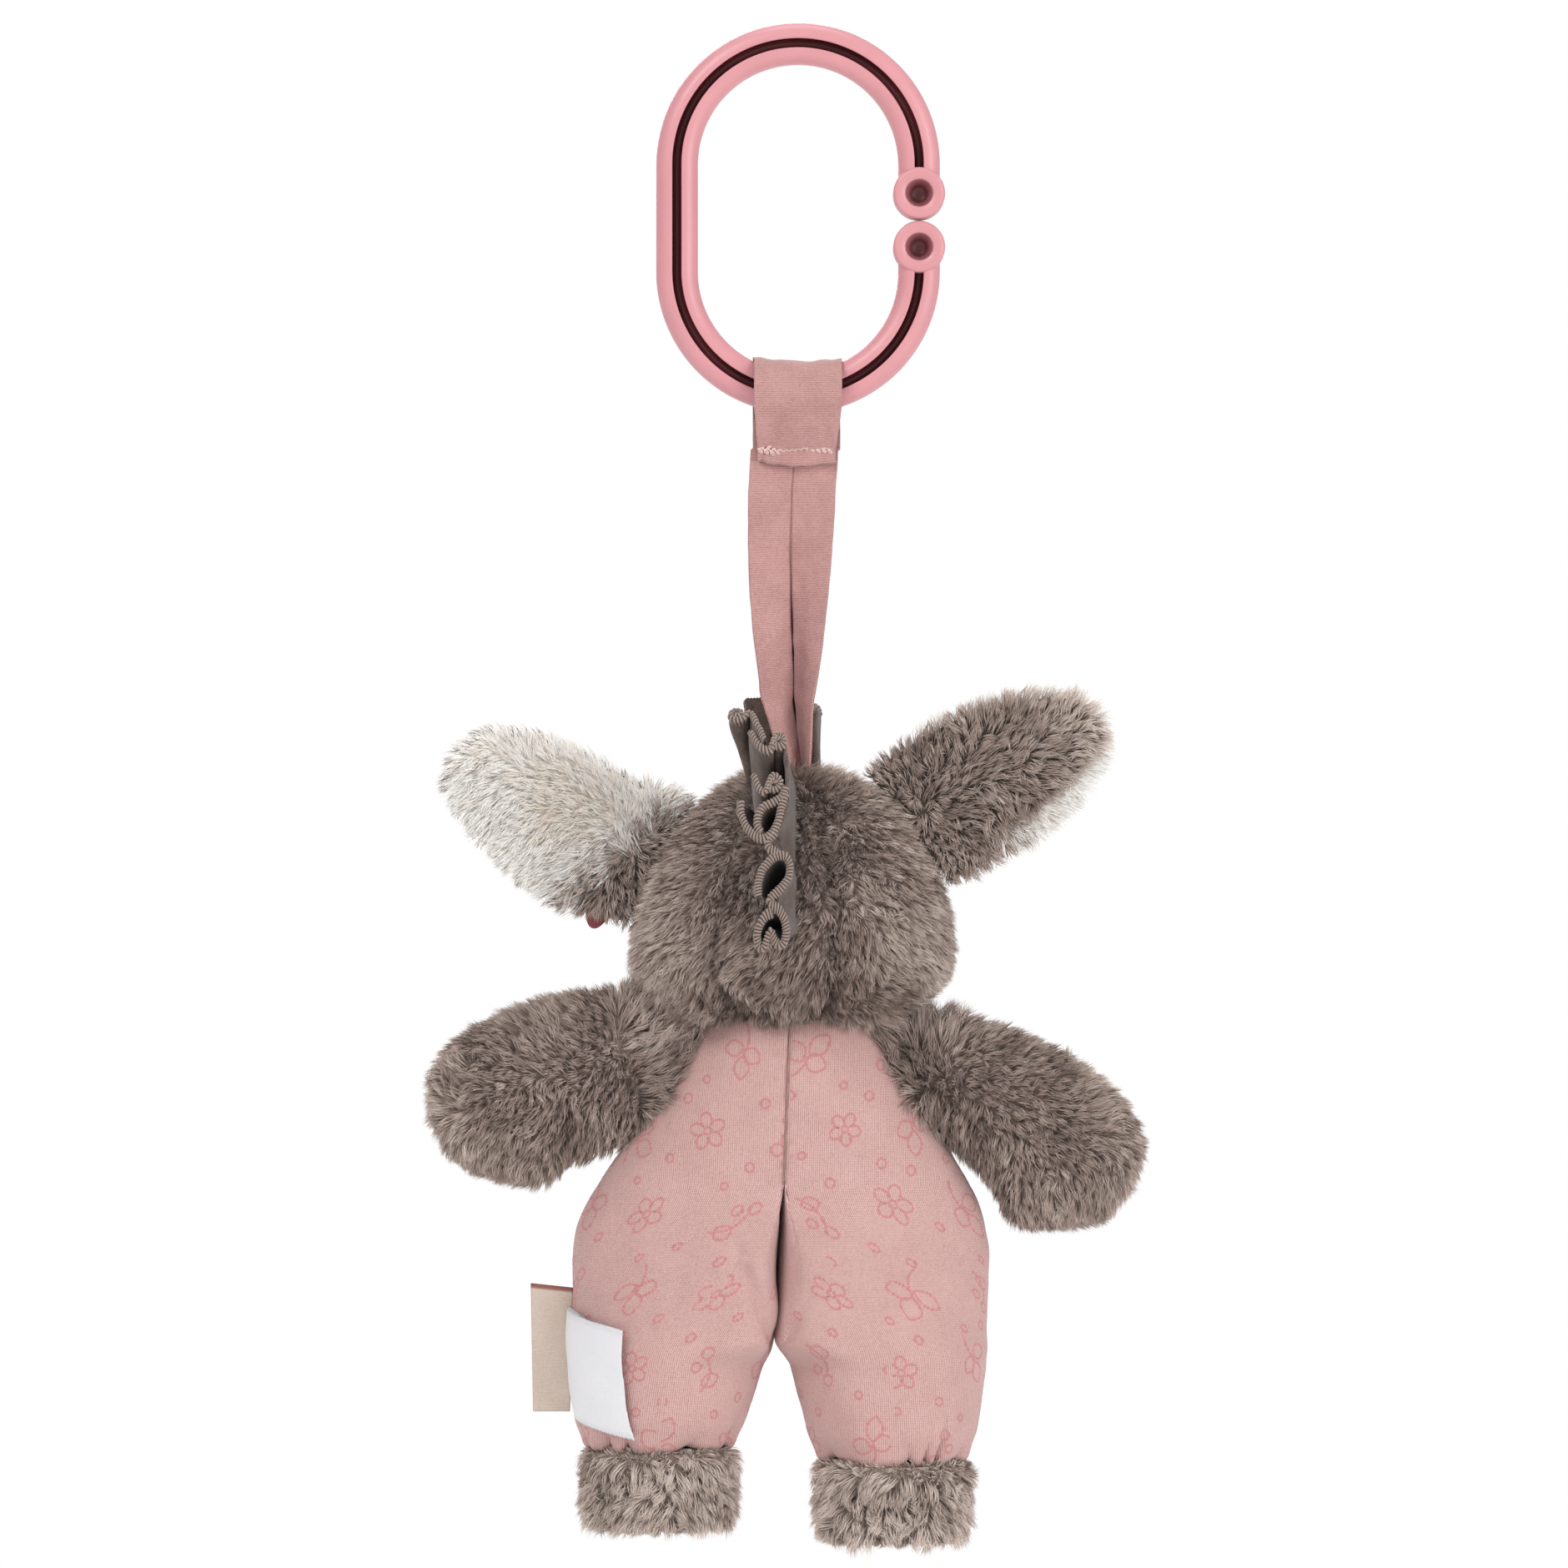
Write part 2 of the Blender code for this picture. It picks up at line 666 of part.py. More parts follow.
def tape_loop_radius() -> float:
    """Radius of the tape's middle round the bar, clear of the bar's curve at the tape's edges."""
    half = TAPE_WIDTH / 2
    bar_reach = RING_RADIUS - math.sqrt(RING_INNER_RADIUS**2 - half**2)
    return bar_reach + TAPE_LOOP_CLEARANCE + TAPE_THICKNESS / 2


def tangent_turn(place: tuple[float, float], radius: float, side: int) -> float:
    """Angle at which a line from this place touches the tape's loop, seen from the bar."""
    distance = math.hypot(*place)
    return math.atan2(place[1], place[0]) + side * math.acos(radius / distance)


def strap_loop_route() -> list[tuple[float, float]]:
    """Y and drop of the tape from its turned-under end, up the back and over the bar."""
    turn_radius = HEM_PLY_STEP / 2
    route = [(HEM_PLY_STEP, -HEM_EDGE_DROP + HEM_TURN_LENGTH)]
    for i in range(HEM_TURN_STEPS + 1):
        turn = math.pi * (1 + i / HEM_TURN_STEPS)
        y = HEM_PLY_STEP + turn_radius + turn_radius * math.cos(turn)
        route.append((y, -HEM_EDGE_DROP + turn_radius + turn_radius * math.sin(turn)))
    back_ply, front_ply = (2 * HEM_PLY_STEP, -HEM_SEAM_DROP), (0.0, -HEM_SEAM_DROP)
    radius = tape_loop_radius()
    route.append(back_ply)
    start = tangent_turn(back_ply, radius, 1)
    end = tangent_turn(front_ply, radius, -1) + 2 * math.pi
    for i in range(TAPE_LOOP_STEPS + 1):
        turn = start + (end - start) * i / TAPE_LOOP_STEPS
        route.append((radius * math.cos(turn), radius * math.sin(turn)))
    return route


def make_strap(shop: Workshop) -> bpy.types.Object:
    """The tape: flat round the bar, folding along its middle on the way down to the head."""
    half = TAPE_WIDTH / 2
    rows = []
    for y, rise in strap_loop_route():
        rows.append([Vector((half * u, y, RING_BAR_Z + rise)) for u in STRAP_COLUMN_SHARES])
    slant = math.tan(TOY_SWING_LIMIT + TOY_SWING_MARGIN)
    for i in range(STRAP_ROWS + 1):
        share = i / STRAP_ROWS
        fold = STRAP_FOLD_ANGLE * share**STRAP_FOLD_POWER
        row = []
        for u in STRAP_COLUMN_SHARES:
            y = (abs(u) - 0.5) * half * math.sin(fold)
            end_drop = STRAP_LENGTH - STRAP_ROOT_CLEARANCE - abs(y) * slant
            drop = HEM_SEAM_DROP + (end_drop - HEM_SEAM_DROP) * share
            row.append(Vector((u * half * math.cos(fold), y, RING_BAR_Z - drop)))
        rows.append(row)
    strap = shop.piece("strap", sheet_mesh("strap", rows), PINK_COTTON)
    thicken(strap, TAPE_THICKNESS)
    return strap


def sheet_mesh(name: str, rows: list[list[Vector]]) -> bpy.types.Mesh:
    """An open surface over rows of points."""

    def build(work: bmesh.types.BMesh) -> None:
        grid = [[work.verts.new(point) for point in row] for row in rows]
        for upper, lower in zip(grid, grid[1:]):
            for i in range(len(upper) - 1):
                work.faces.new((upper[i], upper[i + 1], lower[i + 1], lower[i]))

    return mesh_from(name, build)


def thicken(sheet: bpy.types.Object, thickness: float) -> None:
    """Gives an open sheet its thickness, half to each side."""
    shell = sheet.modifiers.new("cloth_thickness", "SOLIDIFY")
    shell.thickness = thickness
    shell.offset = 0
    shell.use_even_offset = True


# Head


def head_section(share: float) -> Section:
    """The head at a share of its height above the neck."""
    z = NECK_Z + share * HEAD_HEIGHT
    width = table_value(HEAD_STATION_SHARES, 1 - share, 1)
    depth = table_value(HEAD_STATION_SHARES, 1 - share, 2)
    centre = Vector((toy_centre_x(z), TOY_BALANCE, z))
    return Section(
        centre, Vector((1, 0, 0)), HEAD_WIDTH / 2 * width, HEAD_BACK_DEPTH * depth, HEAD_FRONT_DEPTH * depth
    )


def head_form() -> Form:
    """The head, narrow at the top and full at the cheeks."""
    return Form(HEAD_HEIGHT, head_section)


def head_side(z: float) -> float:
    """Half the head's width at a height."""
    return head_section((z - NECK_Z) / HEAD_HEIGHT).half_width


def make_head(shop: Workshop, neck_hole: bpy.types.Object) -> list[bpy.types.Object]:
    """The head's cover and filling."""
    return stuffed_part(shop, "head", head_form(), GREY_PLUSH, neck_hole, HEAD_SIDES, HEAD_RINGS)


def head_front(rise: float, side: float) -> Vector:
    """A point on the front of the head, at a height above the neck and a distance to one side."""
    cut = head_section(rise / HEAD_HEIGHT)
    share = side / cut.half_width
    return cut.centre + Vector((side, -cut.front_depth * math.sqrt(1 - share**2), 0))


def muzzle_centre() -> Vector:
    """The middle of the muzzle's ball."""
    centre = head_section(MUZZLE_RISE / HEAD_HEIGHT).centre
    return centre - Vector((0, MUZZLE_REACH, 0))


def muzzle_radii(extra: float) -> Vector:
    """Half-sizes of the muzzle's ball, enlarged by a clearance."""
    return Vector((MUZZLE_WIDTH / 2 + extra, MUZZLE_LENGTH / 2 + extra, MUZZLE_HEIGHT / 2 + extra))


def make_face(shop: Workshop) -> list[bpy.types.Object]:
    """A muzzle seated on the head, with stitched eyes and nostrils."""
    seat = shop.cutter("head_seat", form_mesh("head_seat", head_form(), HEAD_SIDES, HEAD_RINGS, -GAP))
    ball = ball_mesh("muzzle", muzzle_centre(), muzzle_radii(0), MUZZLE_SIDES, MUZZLE_SIDES // 2)
    muzzle = shop.piece("muzzle", ball, CREAM_PLUSH)
    boolean(muzzle, seat, "DIFFERENCE")
    nose = ball_mesh("muzzle_seat", muzzle_centre(), muzzle_radii(GAP), MUZZLE_SIDES, MUZZLE_SIDES // 2)
    nose_seat = shop.cutter("muzzle_seat", nose)
    made = [muzzle]
    for name, side in (("left", 1), ("right", -1)):
        place = head_front(EYE_RISE, side * EYE_SPACING / 2)
        radii = Vector((EYE_WIDTH / 2, EYE_RELIEF, EYE_HEIGHT / 2))
        made.append(stitched_patch(shop, f"{name}_eye", place, radii, seat, DARK_THREAD))
        centre, reach = muzzle_centre(), muzzle_radii(0)
        out, up = side * NOSTRIL_SPACING / 2, NOSTRIL_RISE - MUZZLE_RISE
        depth = reach.y * math.sqrt(1 - (out / reach.x) ** 2 - (up / reach.z) ** 2)
        radii = Vector((NOSTRIL_WIDTH / 2, NOSTRIL_RELIEF, NOSTRIL_HEIGHT / 2))
        place = centre + Vector((out, -depth, up))
        made.append(stitched_patch(shop, f"{name}_nostril", place, radii, nose_seat, BROWN_THREAD))
    return made


def stitched_patch(
    shop: Workshop, name: str, place: Vector, radii: Vector, seat: bpy.types.Object, look: tuple
) -> bpy.types.Object:
    """A raised satin-stitch patch, cut to sit on the cloth behind it."""
    patch = shop.piece(name, ball_mesh(name, place, radii, PATCH_SIDES, PATCH_SIDES // 2), look)
    boolean(patch, seat, "DIFFERENCE")
    return patch


# Mane


def head_midline(direction: int) -> tuple[np.ndarray, np.ndarray]:
    """Points down the middle of the head's back (1) or front (-1), and their arc lengths."""
    points = [(TOY_BALANCE, HEAD_TOP_Z)]
    for i in range(MIDLINE_STEPS + 1):
        cut = head_section(1 - i / MIDLINE_STEPS)
        depth = cut.back_depth if direction > 0 else cut.front_depth
        points.append((TOY_BALANCE + direction * depth, cut.centre.z))
    route = np.array(points)
    steps = np.linalg.norm(np.diff(route, axis=0), axis=1)
    return route, np.concatenate([[0.0], np.cumsum(steps)])


def on_midline(route: np.ndarray, lengths: np.ndarray, along: float, spread: float):
    """The place and the outward direction at a distance along the head's middle."""
    place = np.array([np.interp(along, lengths, route[:, k]) for k in (0, 1)])
    ends = [
        np.array([np.interp(along + s * spread, lengths, route[:, k]) for k in (0, 1)]) for s in (-1, 1)
    ]
    tangent = ends[1] - ends[0]
    outward = np.array([-tangent[1], tangent[0]]) / np.linalg.norm(tangent)
    middle = np.array([TOY_BALANCE, NECK_Z + HEAD_HEIGHT / 2])
    if outward @ (place - middle) < 0:
        outward = -outward
    return place, outward


def ruffle_route(periods: float) -> list[tuple[float, float]]:
    """Side and distance of the gathered strip: a roll at its start, then even turns."""
    fine = MANE_PERIOD_STEPS * MANE_FINE_STEPS
    mean = sum(math.cos(MANE_TURN * math.sin(2 * math.pi * i / fine)) for i in range(fine)) / fine
    step = MANE_PITCH / mean / fine
    side = along = 0.0
    turns = [(side, along)]
    for i in range(round(periods * fine)):
        heading = MANE_TURN * math.sin(2 * math.pi * (i + 0.5) / fine)
        side += math.sin(heading) * step
        along += math.cos(heading) * step
        if (i + 1) % MANE_FINE_STEPS == 0:
            turns.append((side, along))
    side = along = 0.0
    roll = []
    count = MANE_ROLL_STEPS * MANE_FINE_STEPS
    for i in range(count):
        share = (i + 0.5) / count
        radius = MANE_ROLL_RADIUS * (1 - (1 - MANE_ROLL_END_SHARE) * share)
        heading = MANE_ROLL_ANGLE * share
        side += math.sin(heading) * radius * MANE_ROLL_ANGLE / count
        along -= math.cos(heading) * radius * MANE_ROLL_ANGLE / count
        if (i + 1) % MANE_FINE_STEPS == 0:
            roll.append((side, along))
    return roll[::-1] + turns


def least_gap(route: list[tuple[float, float]], near: float) -> float:
    """The closest that stretches of the strip come to each other, less its thickness."""
    points = np.array(route)
    lengths = np.concatenate([[0.0], np.cumsum(np.linalg.norm(np.diff(points, axis=0), axis=1))])
    apart = np.linalg.norm(points[:, None] - points[None], axis=2)
    apart[np.abs(lengths[:, None] - lengths[None]) < near] = np.inf
    return float(apart.min()) - MANE_EDGE_THICKNESS


def make_mane(shop: Workshop, name: str, direction: int, periods: float) -> bpy.types.Object:
    """One length of the mane, standing out from the middle of the head."""
    route = ruffle_route(periods)
    print(f"{name}: least gap to itself {least_gap(route, MANE_PITCH / 2) / MM:.2f} mm")
    middle = (min(p[0] for p in route) + max(p[0] for p in route)) / 2
    midline, lengths = head_midline(direction)
    levels = (
        (0.0, MANE_THICKNESS),
        (MANE_EDGE_SHARE, MANE_THICKNESS),
        (MANE_EDGE_SHARE, MANE_EDGE_THICKNESS),
        (1.0, MANE_EDGE_THICKNESS),
    )
    rings = []
    for i, (side, along) in enumerate(route):
        before, after = route[max(i - 1, 0)], route[min(i + 1, len(route) - 1)]
        heading = math.atan2(after[0] - before[0], after[1] - before[1])
        ring = []
        for face in (1, -1):
            for height_share, thickness in levels[::face]:
                offset = face * thickness / 2
                x = MANE_SIDE + side - middle + offset * math.cos(heading)
                reach = MANE_STRAP_SPACE + along - offset * math.sin(heading)
                place, outward = on_midline(midline, lengths, reach, MANE_PITCH / 2)
                height = GAP + height_share * MANE_HEIGHT
                point = place + outward * height
                ring.append(Vector((x, point[0], point[1])))
        rings.append(ring)
    ends = tuple(sum(ring, Vector()) / len(ring) for ring in (rings[0], rings[-1]))
    return shop.piece(name, loft(name, rings, ends), TAUPE_SUEDE)


# Limbs: what ears and arms share


@dataclass(frozen=True)
class Seat:
    """A straight seam on a form's side: its two ends, and the way out from the form."""

    top: Vector
    bottom: Vector
    outward: Vector

    @property
    def middle(self) -> Vector:
        return (self.top + self.bottom) / 2

    @property
    def along(self) -> Vector:
        return (self.top - self.bottom).normalized()

    @property
    def length(self) -> float:
        return (self.top - self.bottom).length


def side_seat(side_of: Callable[[float], float], top: float, bottom: float, side: int, away: float) -> Seat:
    """The seam line between two heights that keeps this distance from a form's bulging side."""
    heights = [bottom + (top - bottom) * i / SEAT_STEPS for i in range(SEAT_STEPS + 1)]
    points = [Vector((toy_centre_x(z) + side * side_of(z), TOY_BALANCE, z)) for z in heights]
    along = (points[-1] - points[0]).normalized()
    outward = Vector((side * along.z, 0, -side * along.x))
    bulge = max((point - points[0]).dot(outward) for point in points)
    shift = outward * (bulge + away)
    return Seat(points[-1] + shift, points[0] + shift, outward)


@dataclass(frozen=True)
class Limb:
    """A limb that leaves its seam with a rounded root and turns square to its own length."""

    seat: Seat
    axis: Vector
    length: float
    width: float
    thickness: float
    root_radius: float
    square_share: float
    table: tuple
    bow: float
    bow_share: float

    def section(self, share: float) -> Section:
        """The cross-section at a share of the whole length, behind the seam line included."""
        place = share * (self.length + self.root_radius) - self.root_radius
        limb_share = max(place, 0.0) / self.length
        square = Vector((-self.axis.z, 0, self.axis.x))
        if square.dot(self.seat.along) < 0:
            square = -square
        turned = min(limb_share / self.square_share, 1.0)
        turned = turned * turned * (3 - 2 * turned)
        across = self.seat.along.lerp(square, turned).normalized()
        half = self.thickness / 2 * table_value(self.table, limb_share, 2)
        if place < 0:
            half = math.sqrt(max(self.root_radius**2 - place**2, (self.root_radius * ROOT_EDGE_SHARE) ** 2))
        bowed = min(limb_share / self.bow_share, 1.0)
        bowed = bowed * bowed * (3 - 2 * bowed)
        middle = self.seat.middle + self.axis * place + square * (self.bow * bowed)
        if place < 0:
            middle = self.seat.middle + self.seat.outward * place
        width = self.width / 2 * table_value(self.table, limb_share, 1)
        return Section(middle, across, width, half, half)

    def form(self) -> Form:
        return Form(self.length + self.root_radius, self.section)


# Ears


def ear_limb(side: int, rise: float, lift: float, bow: float) -> Limb:
    """One ear, whose panels together are twice a panel thick."""
    root = EAR_PANEL_THICKNESS * EAR_STATION_SHARES[0][2]
    top, bottom = HEAD_TOP_Z + lift - EAR_ROOT_TOP_DROP, HEAD_TOP_Z + lift - EAR_ROOT_BOTTOM_DROP
    seat = side_seat(head_side, top, bottom, side, root + GAP)
    axis = Vector((side * math.cos(rise), 0, math.sin(rise)))
    thickness = 2 * EAR_PANEL_THICKNESS
    table = EAR_STATION_SHARES
    return Limb(seat, axis, EAR_LENGTH, EAR_WIDTH, thickness, root, 1.0, table, bow, EAR_BOW_SHARE)


def ear_panel(shop: Workshop, name: str, limb: Limb, facing: int, look: tuple) -> bpy.types.Object:
    """One domed panel of an ear, flat where it meets the other."""
    form = limb.form()
    rings, middles = [], []
    for share in form.shares(0.0, EAR_RINGS):
        cut = form.section(share)
        flat = Vector((0, facing * GAP / 2, 0))
        dome = max(cut.back_depth - GAP / 2 - EAR_EDGE_THICKNESS, EAR_EDGE_THICKNESS / 2)
        ring = [cut.centre + cut.across * -cut.half_width + flat, cut.centre + cut.across * cut.half_width + flat]
        for i in range(EAR_DOME_STEPS + 1):
            turn = math.pi * i / EAR_DOME_STEPS
            rise = Vector((0, facing * (EAR_EDGE_THICKNESS + dome * math.sin(turn)), 0))
            ring.append(cut.centre + cut.across * (cut.half_width * math.cos(turn)) + flat + rise)
        rings.append(ring)
        middles.append(cut.centre + flat + Vector((0, facing * EAR_EDGE_THICKNESS / 2, 0)))
    return shop.piece(name, loft(name, rings, (middles[0], middles[-1])), look)


def make_flower(shop: Workshop, limb: Limb, facing: int) -> list[bpy.types.Object]:
    """A flower cut from cloth with a button in it, sewn on the front of an ear by its root."""
    down = Vector((-limb.axis.z, 0, limb.axis.x))
    if down.z > 0:
        down = -down
    stand = GAP / 2 + EAR_PANEL_THICKNESS * FLOWER_STAND_SHARE + GAP
    middle = limb.seat.middle + limb.axis * FLOWER_OUT + down * FLOWER_DOWN
    back = middle + Vector((0, facing * stand, 0))
    rim = []
    count = FLOWER_PETALS * FLOWER_PETAL_STEPS
    for i in range(count):
        turn = 2 * math.pi * i / count
        radius = FLOWER_RADIUS * (1 - FLOWER_WAVE_SHARE + FLOWER_WAVE_SHARE * math.cos(FLOWER_PETALS * turn))
        rim.append(Vector((radius * math.cos(turn), 0, radius * math.sin(turn))))
    thick = Vector((0, facing * FLOWER_THICKNESS, 0))
    rings = [
        [back + point for point in rim],
        [back + point + thick * FLOWER_RIM_SHARE for point in rim],
        [back + point * FLOWER_CUP_SHARE + thick for point in rim],
    ]
    flower = loft("ear_flower", rings, (back, back + thick))
    seat = back + thick + Vector((0, facing * GAP, 0))
    top = seat + Vector((0, facing * FLOWER_BUTTON_HEIGHT, 0))
    button = rod_mesh(
        "flower_button", seat, top, FLOWER_BUTTON_RADIUS, FLOWER_BUTTON_RADIUS * FLOWER_CUP_SHARE, PATCH_SIDES
    )
    return [
        shop.piece("ear_flower", flower, ROSE_CLOTH),
        shop.piece("flower_button", button, CREAM_WEAVE),
    ]


# Torso


def torso_section(share: float) -> Section:
    """The torso at a share of its height below the neck."""
    z = NECK_Z - GAP - share * TORSO_HEIGHT
    width = table_value(TORSO_STATION_SHARES, share, 1)
    depth = table_value(TORSO_STATION_SHARES, share, 2) * TORSO_DEPTH / 2
    centre = Vector((toy_centre_x(z), TOY_BALANCE, z))
    return Section(centre, Vector((1, 0, 0)), TORSO_WIDTH / 2 * width, depth, depth)


def torso_side(z: float) -> float:
    """Half the torso's width at a height."""
    return torso_section((NECK_Z - GAP - z) / TORSO_HEIGHT).half_width


def make_torso(shop: Workshop, openings: list[bpy.types.Object]) -> list[bpy.types.Object]:
    """The torso, pear-shaped, drawn in at its side seams and creased at the hips."""
    form = Form(TORSO_HEIGHT, torso_section, SIDE_SEAM_PINCH, end_crease=math.tan(HIP_CREASE))
    made = stuffed_part(shop, "torso", form, PINK_JERSEY, openings[0], TORSO_SIDES, TORSO_RINGS)
    for opening in openings[1:]:
        boolean(made[0], opening, "DIFFERENCE")
    return made


# Arms


def arm_limb(side: int, droop: float, bow: float) -> Limb:
    """One arm, flat at its seam and full at the paw."""
    root = ARM_ROOT_THICKNESS / 2
    top, bottom = NECK_Z - GAP - ARM_ROOT_TOP_DROP, NECK_Z - GAP - ARM_ROOT_BOTTOM_DROP
    seat = side_seat(torso_side, top, bottom, side, root + GAP)
    axis = Vector((side * math.cos(droop), 0, -math.sin(droop)))
    table, square = ARM_STATION_SHARES, ARM_SQUARE_SHARE
    return Limb(seat, axis, ARM_LENGTH, ARM_WIDTH, ARM_DEPTH, root, square, table, bow, ARM_BOW_SHARE)


def make_arm(shop: Workshop, name: str, limb: Limb) -> list[bpy.types.Object]:
    """An arm's cover, open by a slit along its seam, and its filling."""
    seat = limb.seat
    reach = limb.root_radius + OVERRUN
    slit_length = reach + limb.length * ARM_SLIT_SHARE / 2
    middle = seat.middle + limb.axis * (slit_length / 2 - reach)
    place = Matrix.Identity(4)
    for column, vector in enumerate(
        (limb.axis * slit_length, Vector((0, ARM_SLIT_HEIGHT, 0)), seat.along * (seat.length * ARM_SLIT_SHARE))
    ):
        for row in range(3):
            place[row][column] = vector[row]
    place.translation = middle
    slit = shop.cutter(
        f"{name}_slit", mesh_from(f"{name}_slit", lambda work: bmesh.ops.create_cube(work, size=1, matrix=place))
    )
    return stuffed_part(shop, name, limb.form(), GREY_PLUSH, slit, ARM_SIDES, ARM_RINGS)


# Legs and feet


@dataclass(frozen=True)
class Leg:
    """One leg of the overalls, from the hip down."""

    side: int
    length: float

    def centre_x(self, z: float) -> float:
        """X of the leg's middle at a height: the legs spread a little."""
        share = (HIP_Z - GAP - z) / self.length
        eased = share * share * (3 - 2 * share)
        return toy_centre_x(z) + self.side * (LEG_SPACING / 2 + LEG_SPREAD * eased)

    def section(self, share: float) -> Section:
        z = HIP_Z - GAP - share * self.length
        width = table_value(LEG_STATION_SHARES, share, 1)
        depth = table_value(LEG_STATION_SHARES, share, 2) * LEG_DEPTH / 2
        centre = Vector((self.centre_x(z), TOY_BALANCE, z))
        return Section(centre, Vector((1, 0, 0)), LEG_WIDTH / 2 * width, depth, depth)

    def form(self) -> Form:
        return Form(self.length, self.section, LEG_SEAM_PINCH, start_crease=-math.tan(HIP_CREASE))

    @property
    def ankle(self) -> Vector:
        return self.section(1.0).centre

    def outer_side(self, z: float) -> float:
        """Half-width of the whole toy at this leg's outer seam."""
        cut = self.section((HIP_Z - GAP - z) / self.length)
        return abs(cut.centre.x - toy_centre_x(z)) + cut.half_width


def make_foot(shop: Workshop, name: str, ankle: Vector) -> bpy.types.Object:
    """A short plush foot with a flat sole."""

    def section(share: float) -> Section:
        z = ankle.z - GAP - share * FOOT_HEIGHT
        depth = table_value(FOOT_STATION_SHARES, share, 2) * FOOT_DEPTH / 2
        width = table_value(FOOT_STATION_SHARES, share, 1) * FOOT_WIDTH / 2
        return Section(Vector((ankle.x, ankle.y, z)), Vector((1, 0, 0)), width, depth, depth)

    mesh = form_mesh(name, Form(FOOT_HEIGHT, section), FOOT_SIDES, FOOT_RINGS)
    return shop.piece(name, mesh, GREY_PLUSH)


# Labels


def make_side_label(shop: Workshop, seat: Seat) -> bpy.types.Object:
    """A folded woven label that stands out of the side seam."""
    outer_x = seat.top.x + SIDE_LABEL_LENGTH
    rows = []
    for i in range(LABEL_ROWS + 1):
        share = i / LABEL_ROWS
        inner = seat.top.lerp(seat.bottom, share)
        fold_x = outer_x - SIDE_LABEL_FOLD_RADIUS
        row = [inner + Vector((0, SIDE_LABEL_FOLD_RADIUS, 0))]
        for k in range(LABEL_FOLD_STEPS + 1):
            turn = math.pi * (0.5 - k / LABEL_FOLD_STEPS)
            x = fold_x + SIDE_LABEL_FOLD_RADIUS * math.cos(turn)
            row.append(Vector((x, inner.y + SIDE_LABEL_FOLD_RADIUS * math.sin(turn), inner.z)))
        row.append(inner - Vector((0, SIDE_LABEL_FOLD_RADIUS, 0)))
        rows.append(row)
    label = shop.piece("side_label", sheet_mesh("side_label", rows), CREAM_WEAVE)
    thicken(label, SIDE_LABEL_THICKNESS)
    return label


def make_care_label(shop: Workshop, leg: Leg) -> bpy.types.Object:
    """A satin label from the same seam, lying round the back of the leg and sloping down."""
    rows = []
    first_y = SIDE_LABEL_FOLD_RADIUS + SIDE_LABEL_THICKNESS + CARE_LABEL_THICKNESS + GAP
    for i in range(LABEL_ROWS + 1):
        row = []
        for k in range(CARE_LABEL_COLUMNS):
            run = CARE_LABEL_LENGTH * k / (CARE_LABEL_COLUMNS - 1)
            slope = CARE_LABEL_SLANT * k / (CARE_LABEL_COLUMNS - 1)
            z = HIP_Z - CARE_LABEL_DROP - slope - CARE_LABEL_HEIGHT * i / LABEL_ROWS
            row.append(round_the_leg(leg, z, first_y, run))
        rows.append(row)
    label = shop.piece("care_label", sheet_mesh("care_label", rows), WHITE_SATIN)
    thicken(label, CARE_LABEL_THICKNESS)
    return label


def round_the_leg(leg: Leg, z: float, first_y: float, run: float) -> Vector:
    """The point that lies this far round the back of the leg from its side seam."""
    cut = leg.section((HIP_Z - GAP - z) / leg.length)
    width, depth = cut.half_width + CARE_LABEL_STANDOFF, cut.back_depth + CARE_LABEL_STANDOFF
    last = None
    travelled = 0.0
    for i in range(LABEL_TRACE_STEPS + 1):
        turn = math.pi / 2 * i / LABEL_TRACE_STEPS
        y = depth * math.sin(turn) ** (1 + LEG_SEAM_PINCH)
        place = cut.centre + Vector((leg.side * width * math.cos(turn), y, 0))
        if y < first_y:
            continue
        if last is not None:
            travelled += (place - last).length
        last = place
        if travelled >= run:
            break
    return last


# The whole toy


